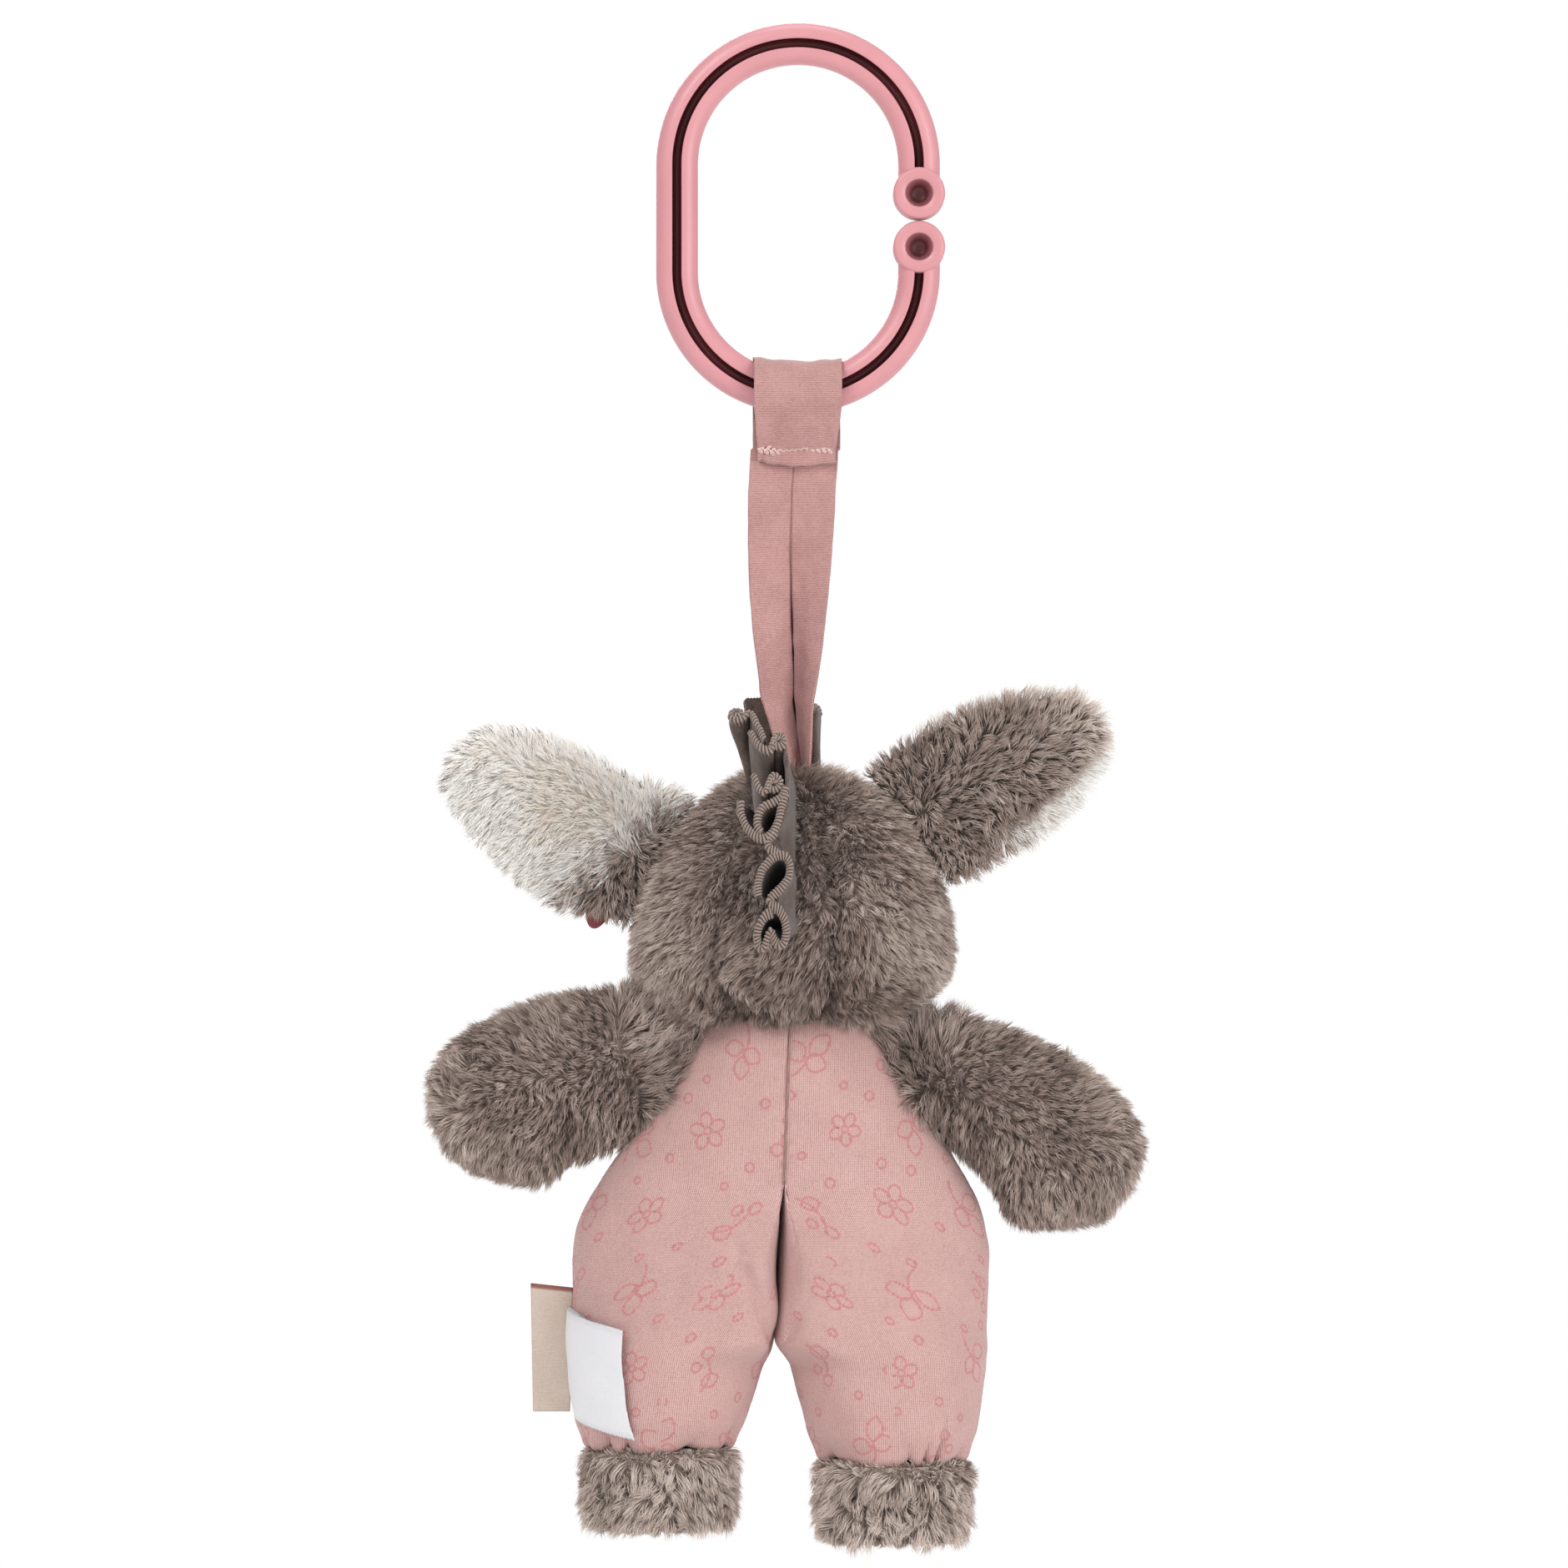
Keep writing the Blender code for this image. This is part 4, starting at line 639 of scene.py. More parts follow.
class Plush:
    """Grows strands on skins and makes them into pieces."""

    QUICK_SHARE = 0.35
    RISE_LOST = 0.45
    TUFT_LENGTHS = (0.8, 1.15)
    TUFT_TONE = 0.11
    STRAND_LENGTHS = (0.72, 1.08)
    STRAND_WIDTHS = (0.7, 1.25)
    STRAND_UNRULY = 0.35
    STRAND_TONE = 0.1
    STRAND_TWIST = 0.45
    PULLS = (0.5, 1.15)
    BEND_SHARE = 0.42
    BEND_OUT = 0.17
    BEND_WIDTH = 0.85
    BEND_RISE = 0.45
    TONE_EDGE = 0.02
    MAP_EDGE = 0.01

    def __init__(self, seed: int) -> None:
        """Seeds the strands' places and tones.

        Args:
            seed: Number that everything random here follows from.
        """
        self.random = np.random.default_rng(seed)
        self.noise = SoftNoise(seed + 1)

    def roots(self, skin: Skin, count: int, weight: np.ndarray | None) -> tuple[np.ndarray, np.ndarray]:
        """Places spread evenly over a skin.

        Args:
            skin: Where the strands grow.
            count: How many places.
            weight: How densely each point's surroundings grow, from 0 to 1.

        Returns:
            The triangle of each place, and its shares of the three corners.
        """
        area = skin.area()
        if weight is not None:
            area = area * weight[skin.triangles].mean(1)
        chosen = self.random.choice(len(area), count, p=area / area.sum())
        first, second = self.random.random((2, count))
        over = first + second > 1
        first, second = np.where(over, 1 - first, first), np.where(over, 1 - second, second)
        return skin.triangles[chosen], np.stack([1 - first - second, first, second], -1)

    def grow(
        self,
        name: str,
        skin: Skin,
        flow: np.ndarray,
        pile: Pile,
        finish: Material,
        tone: np.ndarray | None = None,
        height: np.ndarray | None = None,
        weight: np.ndarray | None = None,
    ) -> Piece:
        """Grows a plush pile over a skin.

        Args:
            name: Name of the piece.
            skin: The cloth that the strands grow from.
            flow: The way that the pile is brushed at each of the skin's points.
            pile: How the plush is cut.
            finish: Finish of the strands.
            tone: Lighter or darker, added at each of the skin's points.
            height: Share of the pile's length at each of the skin's points.
            weight: Share of the pile's density at each of the skin's points.

        Returns:
            The piece.
        """
        share = 1.0
        grown = skin.area() if weight is None else skin.area() * weight[skin.triangles].mean(1)
        count = int(grown.sum() / MM**2 * pile.per_mm2 * share)
        pile = replace(pile, width=pile.width / math.sqrt(share))
        tufts = max(int(grown.sum() / pile.tuft**2), 4)
        normals = skin.normals()
        flow = unit(flow - normals * (flow * normals).sum(-1, keepdims=True))

        def read(values: np.ndarray, corners: np.ndarray, shares: np.ndarray) -> np.ndarray:
            """Values of the skin's points, read between them."""
            if values.ndim == 1:
                return (values[corners] * shares).sum(1)
            return (values[corners] * shares[..., None]).sum(1)

        def reach(place: np.ndarray, out: np.ndarray, way: np.ndarray, long: np.ndarray) -> np.ndarray:
            """Tip of a strand."""
            return place + long[:, None] * (out * (1 - pile.lean * self.RISE_LOST) + way * pile.lean)

        lengths = np.ones(len(skin.points)) if height is None else height
        shades = np.zeros(len(skin.points)) if tone is None else tone
        corners, shares = self.roots(skin, tufts, weight)
        tuft_root, tuft_out = read(skin.points, corners, shares), unit(read(normals, corners, shares))
        tuft_way = unit(read(flow, corners, shares)) + pile.unruly * self.random.normal(size=(tufts, 3))
        tuft_way = unit(tuft_way - tuft_out * (tuft_way * tuft_out).sum(-1, keepdims=True))
        tuft_long = pile.length * read(lengths, corners, shares)
        tuft_long = tuft_long * self.random.uniform(*self.TUFT_LENGTHS, tufts)
        tuft_tip = reach(tuft_root, tuft_out, tuft_way, tuft_long)
        tuft_tone = self.random.normal(0, self.TUFT_TONE, tufts)
        tree = KDTree(tufts)
        for i, place in enumerate(tuft_root):
            tree.insert(place, i)
        tree.balance()

        corners, shares = self.roots(skin, count, weight)
        root, out = read(skin.points, corners, shares), unit(read(normals, corners, shares))
        mine = np.array([tree.find(place)[1] for place in root])
        way = unit(tuft_way[mine] + self.STRAND_UNRULY * self.random.normal(size=(count, 3)))
        way = unit(way - out * (way * out).sum(-1, keepdims=True))
        long = tuft_long[mine] * self.random.uniform(*self.STRAND_LENGTHS, count)
        tip = reach(root, out, way, long)
        pull = pile.tuft_pull * self.random.uniform(*self.PULLS, count)[:, None]
        tip = tip + (tuft_tip[mine] - tip) * pull
        bend = root + (tip - root) * self.BEND_SHARE + out * (long * self.BEND_OUT)[:, None]
        stem = unit(tip - root)
        side = unit(np.cross(stem, out + self.STRAND_TWIST * self.random.normal(size=(count, 3))))
        half = (pile.width / 2 * self.random.uniform(*self.STRAND_WIDTHS, count))[:, None] * side
        knee = half * self.BEND_WIDTH
        points = np.stack([root - half, root + half, bend - knee, bend + knee, tip], 1)
        index = np.arange(count)[:, None] * 5
        shade = 0.5 + read(shades, corners, shares) + tuft_tone[mine]
        shade = shade + self.random.normal(0, self.STRAND_TONE, count)
        tones = np.repeat(np.clip(shade, self.TONE_EDGE, 1 - self.TONE_EDGE), 5)
        rises = np.tile((0.0, 0.0, self.BEND_RISE, self.BEND_RISE, 1.0), count)
        spread = np.tile((-1, 1, -1, 1, 0), count) * self.MAP_EDGE / 2
        mapped = self.MAP_EDGE + (1 - 2 * self.MAP_EDGE) * np.stack([tones, rises], -1)
        mapped[:, 0] += spread
        made = mesh_object(
            name,
            points.reshape(-1, 3),
            [index + np.array((0, 1, 3, 2)), index + np.array((2, 3, 4))],
            finish,
            {"tone": tones, "rise": rises},
            mapped,
        )
        LOG.info("%s: %d strands", name, count)
        return made


# Stuffed forms


@dataclass
class Sections:
    """Cross-sections of a stuffed form, one for each place along it."""

    centre: np.ndarray
    across: np.ndarray
    half_width: np.ndarray
    back: np.ndarray
    front: np.ndarray


CAP_SIZES = (0.93, 0.8, 0.62, 0.42, 0.2, 0.04)


def form_rings(
    sections: Callable[[np.ndarray], Sections],
    shares: np.ndarray,
    columns: int,
    cap_end: bool = False,
    cap_start: bool = False,
) -> np.ndarray:
    """Rings of points round a stuffed form.

    Args:
        sections: The form's cross-sections.
        shares: Places of the rings along the form.
        columns: Points round each ring.
        cap_end: Whether smaller rings close the far end flat.
        cap_start: Whether smaller rings close the near end flat.

    Returns:
        An array of rings, points and x, y, z.
    """
    cut = sections(shares)
    turn = full_turn(columns)
    side, depth = np.cos(turn), np.sin(turn)
    reach = np.where(depth > 0, cut.back[:, None], cut.front[:, None])
    y = reach * depth
    across = np.broadcast_to(cut.across, cut.centre.shape)[:, None]
    rings = cut.centre[:, None] + across * (cut.half_width[:, None] * side)[..., None]
    rings = rings + y[..., None] * Y_AXIS
    sizes = np.array(CAP_SIZES)
    if cap_end:
        caps = cut.centre[-1] + (rings[-1] - cut.centre[-1]) * sizes[:, None, None]
        rings = np.concatenate([rings, caps])
    if cap_start:
        caps = cut.centre[0] + (rings[0] - cut.centre[0]) * sizes[::-1, None, None]
        rings = np.concatenate([caps, rings])
    return rings


def eased(count: int, evenness: float = 0.4) -> np.ndarray:
    """Shares from 0 to 1, closer together near the ends."""
    even = np.linspace(0, 1, count)
    return evenness * even + (1 - evenness) * (0.5 - 0.5 * np.cos(np.pi * even))


# Stuffed body parts

HEAD_TABLE = (
    (0, 0.03, 0.03), (0.012, 0.20, 0.20), (0.04, 0.36, 0.38), (0.115, 0.55, 0.60), (0.28, 0.76, 0.82),
    (0.445, 0.90, 0.95), (0.61, 0.98, 1), (0.755, 1, 0.97), (0.87, 0.95, 0.87), (0.95, 0.79, 0.71),
    (1, 0.54, 0.50),
)
TORSO_TABLE = (
    (0, 0.395, 0.52), (0.04, 0.42, 0.55), (0.14, 0.49, 0.61), (0.28, 0.59, 0.69), (0.41, 0.705, 0.77),
    (0.55, 0.835, 0.86), (0.66, 0.915, 0.92), (0.78, 0.972, 0.97), (0.89, 0.995, 1), (1, 1, 1),
)
LEG_TABLE = (
    (0, 1, 1), (0.15, 1, 1), (0.31, 0.99, 0.99), (0.40, 0.97, 0.98), (0.52, 0.93, 0.95),
    (0.67, 0.88, 0.92), (0.82, 0.81, 0.87), (0.93, 0.74, 0.79), (1, 0.70, 0.72),
)
FOOT_TABLE = (
    (0, 0.86, 0.84), (0.1, 0.95, 0.93), (0.3, 1, 0.99), (0.65, 1, 1), (0.86, 0.95, 0.95),
    (0.96, 0.86, 0.86), (1, 0.76, 0.76),
)
ARM_TABLE = (
    (0, 0.72, 0.16), (0.03, 0.80, 0.27), (0.12, 0.93, 0.55), (0.26, 1.03, 0.80), (0.42, 1.01, 0.94),
    (0.60, 0.925, 1), (0.76, 0.80, 1), (0.88, 0.64, 0.90), (0.96, 0.44, 0.62), (1, 0.10, 0.10),
)
EAR_TABLE = (
    (0, 0.855, 0.39), (0.04, 0.91, 0.50), (0.16, 0.955, 0.78), (0.34, 0.955, 0.96), (0.54, 0.90, 1),
    (0.72, 0.775, 1), (0.86, 0.615, 0.94), (0.95, 0.44, 0.74), (1, 0.06, 0.20),
)


class Side(Enum):
    """The toy's own left and right."""

    LEFT = 1
    RIGHT = -1

    @property
    def word(self) -> str:
        """The side's name, as the bodies have it."""
        return self.name.lower()


@dataclass
class Head:
    """The round head, with a gusset down its back between two sunk seams."""

    width: float = 71 * MM
    back: float = 28 * MM
    front: float = 26 * MM
    height: float = 55.2 * MM
    inset: float = 2.3 * MM
    lumps: float = 0.9 * MM
    gusset_shares: tuple = (0.47, -0.30)
    gusset_depth: float = 2.0 * MM
    gusset_width: float = 2.4 * MM
    fold: float = 0.7 * MM
    eye_spacing: float = 25 * MM
    eye_rise: float = 34 * MM
    quads: tuple = (210, 190)

    def sections(self, shares: np.ndarray) -> Sections:
        """Cross-sections from the neck, 0, to the crown, 1.

        Args:
            shares: Places along the form, from 0 to 1.

        Returns:
            The sections.
        """
        z = NECK_Z + shares * self.height
        centre = np.stack([toy_centre_x(z), np.full_like(z, TOY_Y), z], -1)
        wide = table_curve(HEAD_TABLE, 1, 1 - shares)
        deep = table_curve(HEAD_TABLE, 2, 1 - shares)
        return Sections(centre, X_AXIS, self.width / 2 * wide, self.back * deep, self.front * deep)

    def midline(self, direction: int) -> tuple[np.ndarray, np.ndarray]:
        """Points down the middle of the back (1) or the front (-1), and their distances from the crown.

        Args:
            direction: 1 for the back, -1 for the front.

        Returns:
            The points as y and z, and how far along each one is.
        """
        shares = 1 - eased(120, 0.5)
        cut = self.sections(shares)
        reach = cut.back if direction > 0 else cut.front
        route = np.stack([TOY_Y + direction * reach, cut.centre[:, 2]], -1)
        route = np.vstack([(TOY_Y, HEAD_TOP_Z), route])
        return route, run_length(route)

    def front_at(self, x: float, rise: float) -> np.ndarray:
        """The place on the front of the cover at this x and height above the neck.

        Args:
            x: Distance from the middle.
            rise: Height above the neck.

        Returns:
            The place.
        """
        cut = self.sections(np.array([rise / self.height]))
        centre = cut.centre[0]
        depth = cut.front[0] * math.sqrt(1 - (x / cut.half_width[0]) ** 2)
        return centre + np.array((x, -depth, 0.0))

    def build(self, plush: Plush) -> None:
        """Builds the backing and grows the plush on it.

        Args:
            plush: Grows the strands.
        """
        rings = form_rings(self.sections, eased(self.quads[1], 0.35), self.quads[0], cap_start=True)
        skin = outward_skin(rings)
        share = (skin.points[:, 2] - NECK_Z) / self.height
        cut = self.sections(np.clip(share, 0, 1))
        across = (skin.points[:, 0] - cut.centre[:, 0]) / cut.half_width
        at_back = smooth_step(-0.1, 0.35, (skin.points[:, 1] - TOY_Y) / self.back)
        groove = np.zeros(len(share))
        for place in self.gusset_shares:
            groove += bump((across - place) * cut.half_width, self.gusset_width)
        groove *= at_back * smooth_step(0.97, 0.86, share)
        low = smooth_step(0.2, 0.0, share)
        lumps = plush.noise.rough(skin.points, 13 * MM) + 0.5 * plush.noise.at(skin.points, 5 * MM) * at_back
        fold = np.sin(across * 26 + 3 * plush.noise.at(skin.points, 14 * MM)) * low * at_back
        inset = self.inset * (0.2 + 0.8 * smooth_step(0.0, 0.07, share))
        amount = self.lumps * lumps * smooth_step(0, 0.1, share) - inset
        skin.push(amount - self.gusset_depth * groove + self.fold * fold)

        outwards = skin.points - cut.centre
        outwards[:, 2] = 0
        flow = unit(outwards) * (0.35 + np.abs(across)[:, None]) - Z_AXIS * 0.85
        flow = flow + 0.75 * plush.noise.vectors(skin.points, 15 * MM)
        flow = flow + 0.35 * plush.noise.vectors(skin.points, 6 * MM)
        tone = 0.24 * plush.noise.rough(skin.points + 0.2, 9 * MM)
        tone = tone + 0.12 * plush.noise.at(skin.points, 4 * MM)
        # Painted shade darkens the sunk gusset seams. The pile is also darker towards the neck, lighter
        # towards the sides and darker down the back's middle.
        tone = tone - 0.18 * groove + 0.12 * smooth_step(0.3, 0.9, np.abs(across)) - 0.06 * low
        tone = tone - 0.14 * bump(across, 0.32) * at_back
        neck = smooth_step(19 * MM, 15 * MM, np.abs(skin.points[:, 0] - toy_centre_x(skin.points[:, 2])))
        height = np.ones(len(share)) - 0.22 * groove + 0.2 * smooth_step(0.93, 1.0, share)
        height = height + (0.4 - 0.55 * neck) * smooth_step(0.1, 0.0, share)
        for side in (-1, 1):
            eye = self.front_at(side * self.eye_spacing / 2, self.eye_rise)
            height *= 0.25 + 0.75 * smooth_step(4.0 * MM, 8.0 * MM, np.linalg.norm(skin.points - eye, axis=1))
        hide = skin_object("head_backing", skin, GREY_PLUSH.hide())
        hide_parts("head_cover", "head_filling")
        ride(hide, "head")
        for word, half in (("back", at_back), ("front", 1 - at_back)):
            pile = plush.grow(
                f"head_plush_{word}", skin, flow, HEAD_PILE, GREY_PLUSH.strands(), tone, height, half
            )
            ride(pile, "head")


def ride(piece: Piece, body: str) -> Piece:
    """Makes a piece move with a body.

    Args:
        piece: The piece.
        body: The body's name.

    Returns:
        The piece.
    """
    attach(piece, body)
    LOG.info("%s rides on %s", piece.name, body)
    return piece


HEAD_PILE = Pile()
LIMB_PILE = Pile(length=4.8 * MM)
EAR_PILE = Pile(length=4.4 * MM, lean=0.6)
CREAM_PILE = Pile(length=4.4 * MM, lean=0.68, tuft=1.5 * MM, tuft_pull=0.4, unruly=0.25)
MUZZLE_PILE = Pile(length=3.6 * MM, lean=0.55, tuft=1.2 * MM, unruly=0.25)
FOOT_PILE = Pile(length=4.9 * MM, lean=0.62, tuft=1.8 * MM, tuft_pull=0.5, unruly=0.45)


@dataclass
class StuffedLimb:
    """A stuffed arm or ear: a seam at its root, a full middle and a rounded tip."""

    side: Side
    length: float
    width: float
    thickness: float
    root: float
    square_share: float
    table: tuple
    middle: Triple = (0.0, 0.0, 0.0)
    along: Triple = (0.0, 0.0, 1.0)
    outward: Triple = (1.0, 0.0, 0.0)
    angle: float = 0.0
    bow: float = 0.0
    bow_share: float = 0.26
    inset: Triple = (1.9 * MM, 1.9 * MM, 1.9 * MM)
    lumps: float = 0.7 * MM
    quads: tuple = (150, 110)

    @property
    def axis(self) -> np.ndarray:
        """The way from the root to the tip."""
        turn = math.radians(self.angle)
        return np.array((self.side.value * math.cos(turn), 0.0, math.sin(turn)))

    def sections(self, shares: np.ndarray) -> Sections:
        """Cross-sections from inside the root, 0, to the tip, 1, within the pile.

        Args:
            shares: Places along the limb.

        Returns:
            The sections.
        """
        axis, outward = self.axis, np.array(self.outward)
        square = self.side.value * np.array((-axis[2], 0.0, axis[0]))
        place = shares * (self.length - self.inset[0] + self.root) - self.root
        rise = np.clip(place, 0, None) / (self.length - self.inset[0])
        turn = smooth_step(0, self.square_share, rise)[:, None]
        across = unit(np.array(self.along) * (1 - turn) + square * turn)
        way = np.where(place[:, None] < 0, outward, axis)
        centre = np.array(self.middle) * MM + way * place[:, None]
        centre = centre + square * (self.bow * smooth_step(0, self.bow_share, rise))[:, None]
        sunken = 0.35 + 0.65 * smooth_step(0, 0.12, rise)
        wide = self.width / 2 * table_curve(self.table, 1, rise) - self.inset[1] * sunken
        deep = self.thickness / 2 * table_curve(self.table, 2, rise)
        deep = np.maximum(deep - self.inset[2] * sunken, 0.5 * MM)
        wide = np.maximum(wide, 0.5 * MM)
        sunk = np.sqrt(np.maximum(self.root**2 - place**2, (0.2 * self.root) ** 2))
        deep = np.where(place < 0, np.minimum(deep, sunk), deep)
        return Sections(centre, across, wide, deep, deep)

    def skin(self, noise: SoftNoise) -> tuple[Skin, np.ndarray]:
        """The backing's surface, and how far along the limb each of its points is.

        Args:
            noise: Noise for the lumps.

        Returns:
            The skin, and a share of the length for each point.
        """
        rings = form_rings(self.sections, eased(self.quads[1], 0.5), self.quads[0])
        skin = outward_skin(rings)
        along = (skin.points - np.array(self.middle) * MM) @ self.axis / self.length
        calm = smooth_step(0.0, 0.25, along)
        skin.push(self.lumps * noise.rough(skin.points, 12 * MM) * calm)
        return skin, along

    def flow(self, skin: Skin, noise: SoftNoise, sideways: float) -> np.ndarray:
        """The way the plush is brushed: towards the tip and out from the middle line.

        Args:
            skin: The backing.
            noise: Noise for the unruly tufts.
            sideways: How strongly the pile parts from the middle line.

        Returns:
            A way for each point.
        """
        local = skin.points - np.array(self.middle) * MM
        axis = self.axis
        apart = local - (local @ axis)[:, None] * axis
        away = smooth_step(-0.04, 0.22, local @ axis / self.length)[:, None]
        flow = (0.95 * away - 0.4) * axis + sideways * apart / (self.width / 2) - 0.25 * Z_AXIS * away
        flow = flow + 0.6 * noise.vectors(skin.points, 14 * MM)
        return flow + 0.35 * noise.vectors(skin.points, 5 * MM)


@dataclass
class Arm:
    """One stuffed arm."""

    limb: StuffedLimb

    def build(self, plush: Plush) -> None:
        """Builds the backing and grows the plush on it.

        Args:
            plush: Grows the strands.
        """
        name = f"{self.limb.side.word}_arm"
        skin, along = self.limb.skin(plush.noise)
        tone = 0.25 * plush.noise.rough(skin.points, 9 * MM) + 0.12 * plush.noise.at(skin.points, 3.5 * MM)
        ridge = np.abs(skin.points[:, 1] - TOY_Y) / (self.limb.thickness / 2)
        upper = (skin.points[:, 2] - self.limb.middle[2] * MM) / self.limb.width
        # Darker on the broad faces and lighter towards the tip. Painted light makes the top lighter, and
        # painted shade darkens a band about a third of the way from the root, near the torso.
        tone = tone - 0.10 * smooth_step(0.75, 1.0, ridge) + 0.16 * smooth_step(0.6, 1.0, along)
        tone = tone + 0.12 * upper - 0.12 * bump(along - 0.3, 0.16)
        hide = skin_object(f"{name}_backing", skin, GREY_PLUSH.hide())
        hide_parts(f"{name}_cover", f"{name}_filling")
        ride(hide, name)
        flow = self.limb.flow(skin, plush.noise, 0.9)
        height = 1.0 + 0.6 * smooth_step(0.1, -0.02, along)
        pile = plush.grow(f"{name}_plush", skin, flow, LIMB_PILE, GREY_PLUSH.strands(), tone, height)
        ride(pile, name)


@dataclass
class Ear:
    """One flat ear, grey on one face and cream on the other."""

    limb: StuffedLimb
    cream_back: bool
    wrap: float = 8.0 * MM

    def build(self, plush: Plush) -> None:
        """Builds the backing and grows both plushes on it.

        Args:
            plush: Grows the strands.
        """
        name = f"{self.limb.side.word}_ear"
        skin, along = self.limb.skin(plush.noise)
        face = (skin.points[:, 1] - TOY_Y) / MM * (1 if self.cream_back else -1)
        blur = plush.noise.at(skin.points, 4 * MM)
        cream = smooth_step(-0.5, 0.5, face + 0.6 * blur)
        lower = (skin.points - np.array(self.limb.middle) * MM) @ np.cross(self.limb.axis, Y_AXIS)
        lower = lower * -self.limb.side.value / (self.limb.width / 2)
        root = smooth_step(0.24, 0.02, along - 0.11 * lower + 0.06 * blur)
        cream = cream * (1 - root)
        if not self.cream_back:
            wide = table_curve(EAR_TABLE, 1, np.clip(along, 0, 1)) * self.limb.width / 2
            inward = wide - lower * self.limb.width / 2 + 0.6 * MM * blur
            turned = smooth_step(self.wrap, self.wrap - 1.0 * MM, inward) * smooth_step(0.2, 0.5, along)
            cream = np.maximum(cream, turned)
        hide = skin_object(f"{name}_backing", skin, EarBacking().material(), {"fair": cream})
        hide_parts(f"{name}_inner", f"{name}_back")
        ride(hide, name)
        flow = self.limb.flow(skin, plush.noise, 1.1)
        tone = 0.22 * plush.noise.rough(skin.points, 8 * MM) + 0.1 * plush.noise.at(skin.points, 3 * MM)
        tone = tone + 0.75 * smooth_step(0.5, 0.95, along) * (not self.cream_back)
        height = 0.8 + 0.2 * smooth_step(0.0, 0.15, along)
        hollow = bump(along - 0.42, 0.22) * bump(lower, 0.5)
        parts = (
            ("grey", EAR_PILE, GREY_PLUSH, 1 - cream, tone, "grey_plush"),
            ("cream", CREAM_PILE, CREAM_PLUSH, cream, 0.12 + 0.7 * tone - 0.45 * hollow, "cream_plush"),
        )
        for word, pile, finish, weight, shade, slot in parts:
            strands = finish.strands()
            made = plush.grow(f"{name}_{word}_plush", skin, flow, pile, strands, shade, height, weight)
            ride(made, name)


@dataclass(frozen=True)
class EarBacking:
    """The cloth under an ear's plush: fair on its cream face, dark on its grey one."""

    fair: Triple = (0.94, 0.90, 0.86)
    # Partly painted shade: the grey face's cloth is darkened to stand for the shade among the strands' roots.
    dark: Triple = (0.32, 0.28, 0.25)

    def material(self) -> Material:
        """Builds the finish.

        Returns:
            The material.
        """
        nodes = Nodes("ear_backing")
        cloth = nodes.mix(nodes.attribute("fair"), linear(*self.dark), linear(*self.fair))
        mottled = nodes.ramp(nodes.noise(0.8 * MM, 3.0), [(0.3, (0.75,) * 3), (0.7, (1.0,) * 3)])
        nodes.colour(nodes.mix(1.0, cloth, mottled, "MULTIPLY"))
        nodes.set(Roughness=0.95)
        nodes.relief(nodes.noise(0.5 * MM, 3.0), 0.3 * MM)
        return nodes.material


@dataclass
class Foot:
    """One stuffed foot with a flat sole."""

    side: Side
    ankle: Triple
    width: float = 35.5 * MM
    depth: float = 37 * MM
    height: float = 19.2 * MM
    gap: float = 0.3 * MM
    inset: float = 2.8 * MM
    quads: tuple = (150, 70)

    def sections(self, shares: np.ndarray) -> Sections:
        """Cross-sections from the ankle, 0, to the sole, 1.

        Args:
            shares: Places along the form, from 0 to 1.

        Returns:
            The sections.
        """
        x, y, z = (v * MM for v in self.ankle)
        z = z - self.gap - shares * self.height
        centre = np.stack([np.full_like(shares, x), np.full_like(shares, y), z], -1)
        wide = self.width / 2 * table_curve(FOOT_TABLE, 1, shares)
        deep = self.depth / 2 * table_curve(FOOT_TABLE, 2, shares)
        return Sections(centre, X_AXIS, wide, deep, deep)

    def build(self, plush: Plush) -> None:
        """Builds the backing and grows the plush on it.

        Args:
            plush: Grows the strands.
        """
        name, body = f"{self.side.word}_foot", f"{self.side.word}_leg"
        skin = outward_skin(form_rings(self.sections, eased(self.quads[1], 0.5), self.quads[0], True, True))
        top = self.ankle[2] * MM - self.gap
        share = (top - skin.points[:, 2]) / self.height
        lumps = 0.6 * plush.noise.rough(skin.points, 9 * MM)
        inset = self.inset * (0.1 + 0.9 * smooth_step(0.0, 0.3, share))
        skin.push(MM * lumps * smooth_step(0, 0.2, share) * smooth_step(1.0, 0.85, share) - inset)
        centre = np.array(self.ankle) * MM
        outwards = skin.points - centre
        outwards[:, 2] = 0
        near = smooth_step(0.3, 0.0, share)[:, None]
        flow = (0.35 + 0.5 * near) * unit(outwards) - (0.9 - 0.5 * near) * Z_AXIS
        flow = flow + 0.7 * plush.noise.vectors(skin.points, 9 * MM)
        sole = smooth_step(0.9, 1.0, share)[:, None]
        flow = flow * (1 - sole) + sole * unit(outwards)
        tone = 0.36 + 0.22 * plush.noise.rough(skin.points, 7 * MM)
        tone = tone + 0.12 * plush.noise.at(skin.points, 3 * MM)
        rim = smooth_step(0.75, 1.0, np.linalg.norm(outwards, axis=1) / (self.width * 0.4))
        height = 0.15 + 0.3 * rim + 0.55 * smooth_step(0.0, 0.15, share)
        height = height * (1 - 0.35 * sole[:, 0])
        hide = skin_object(f"{name}_backing", skin, GREY_PLUSH.hide())
        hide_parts(name)
        ride(hide, body)
        pile = plush.grow(f"{name}_plush", skin, flow, FOOT_PILE, GREY_PLUSH.strands(), tone, height)
        ride(pile, body)


# Knitted overalls


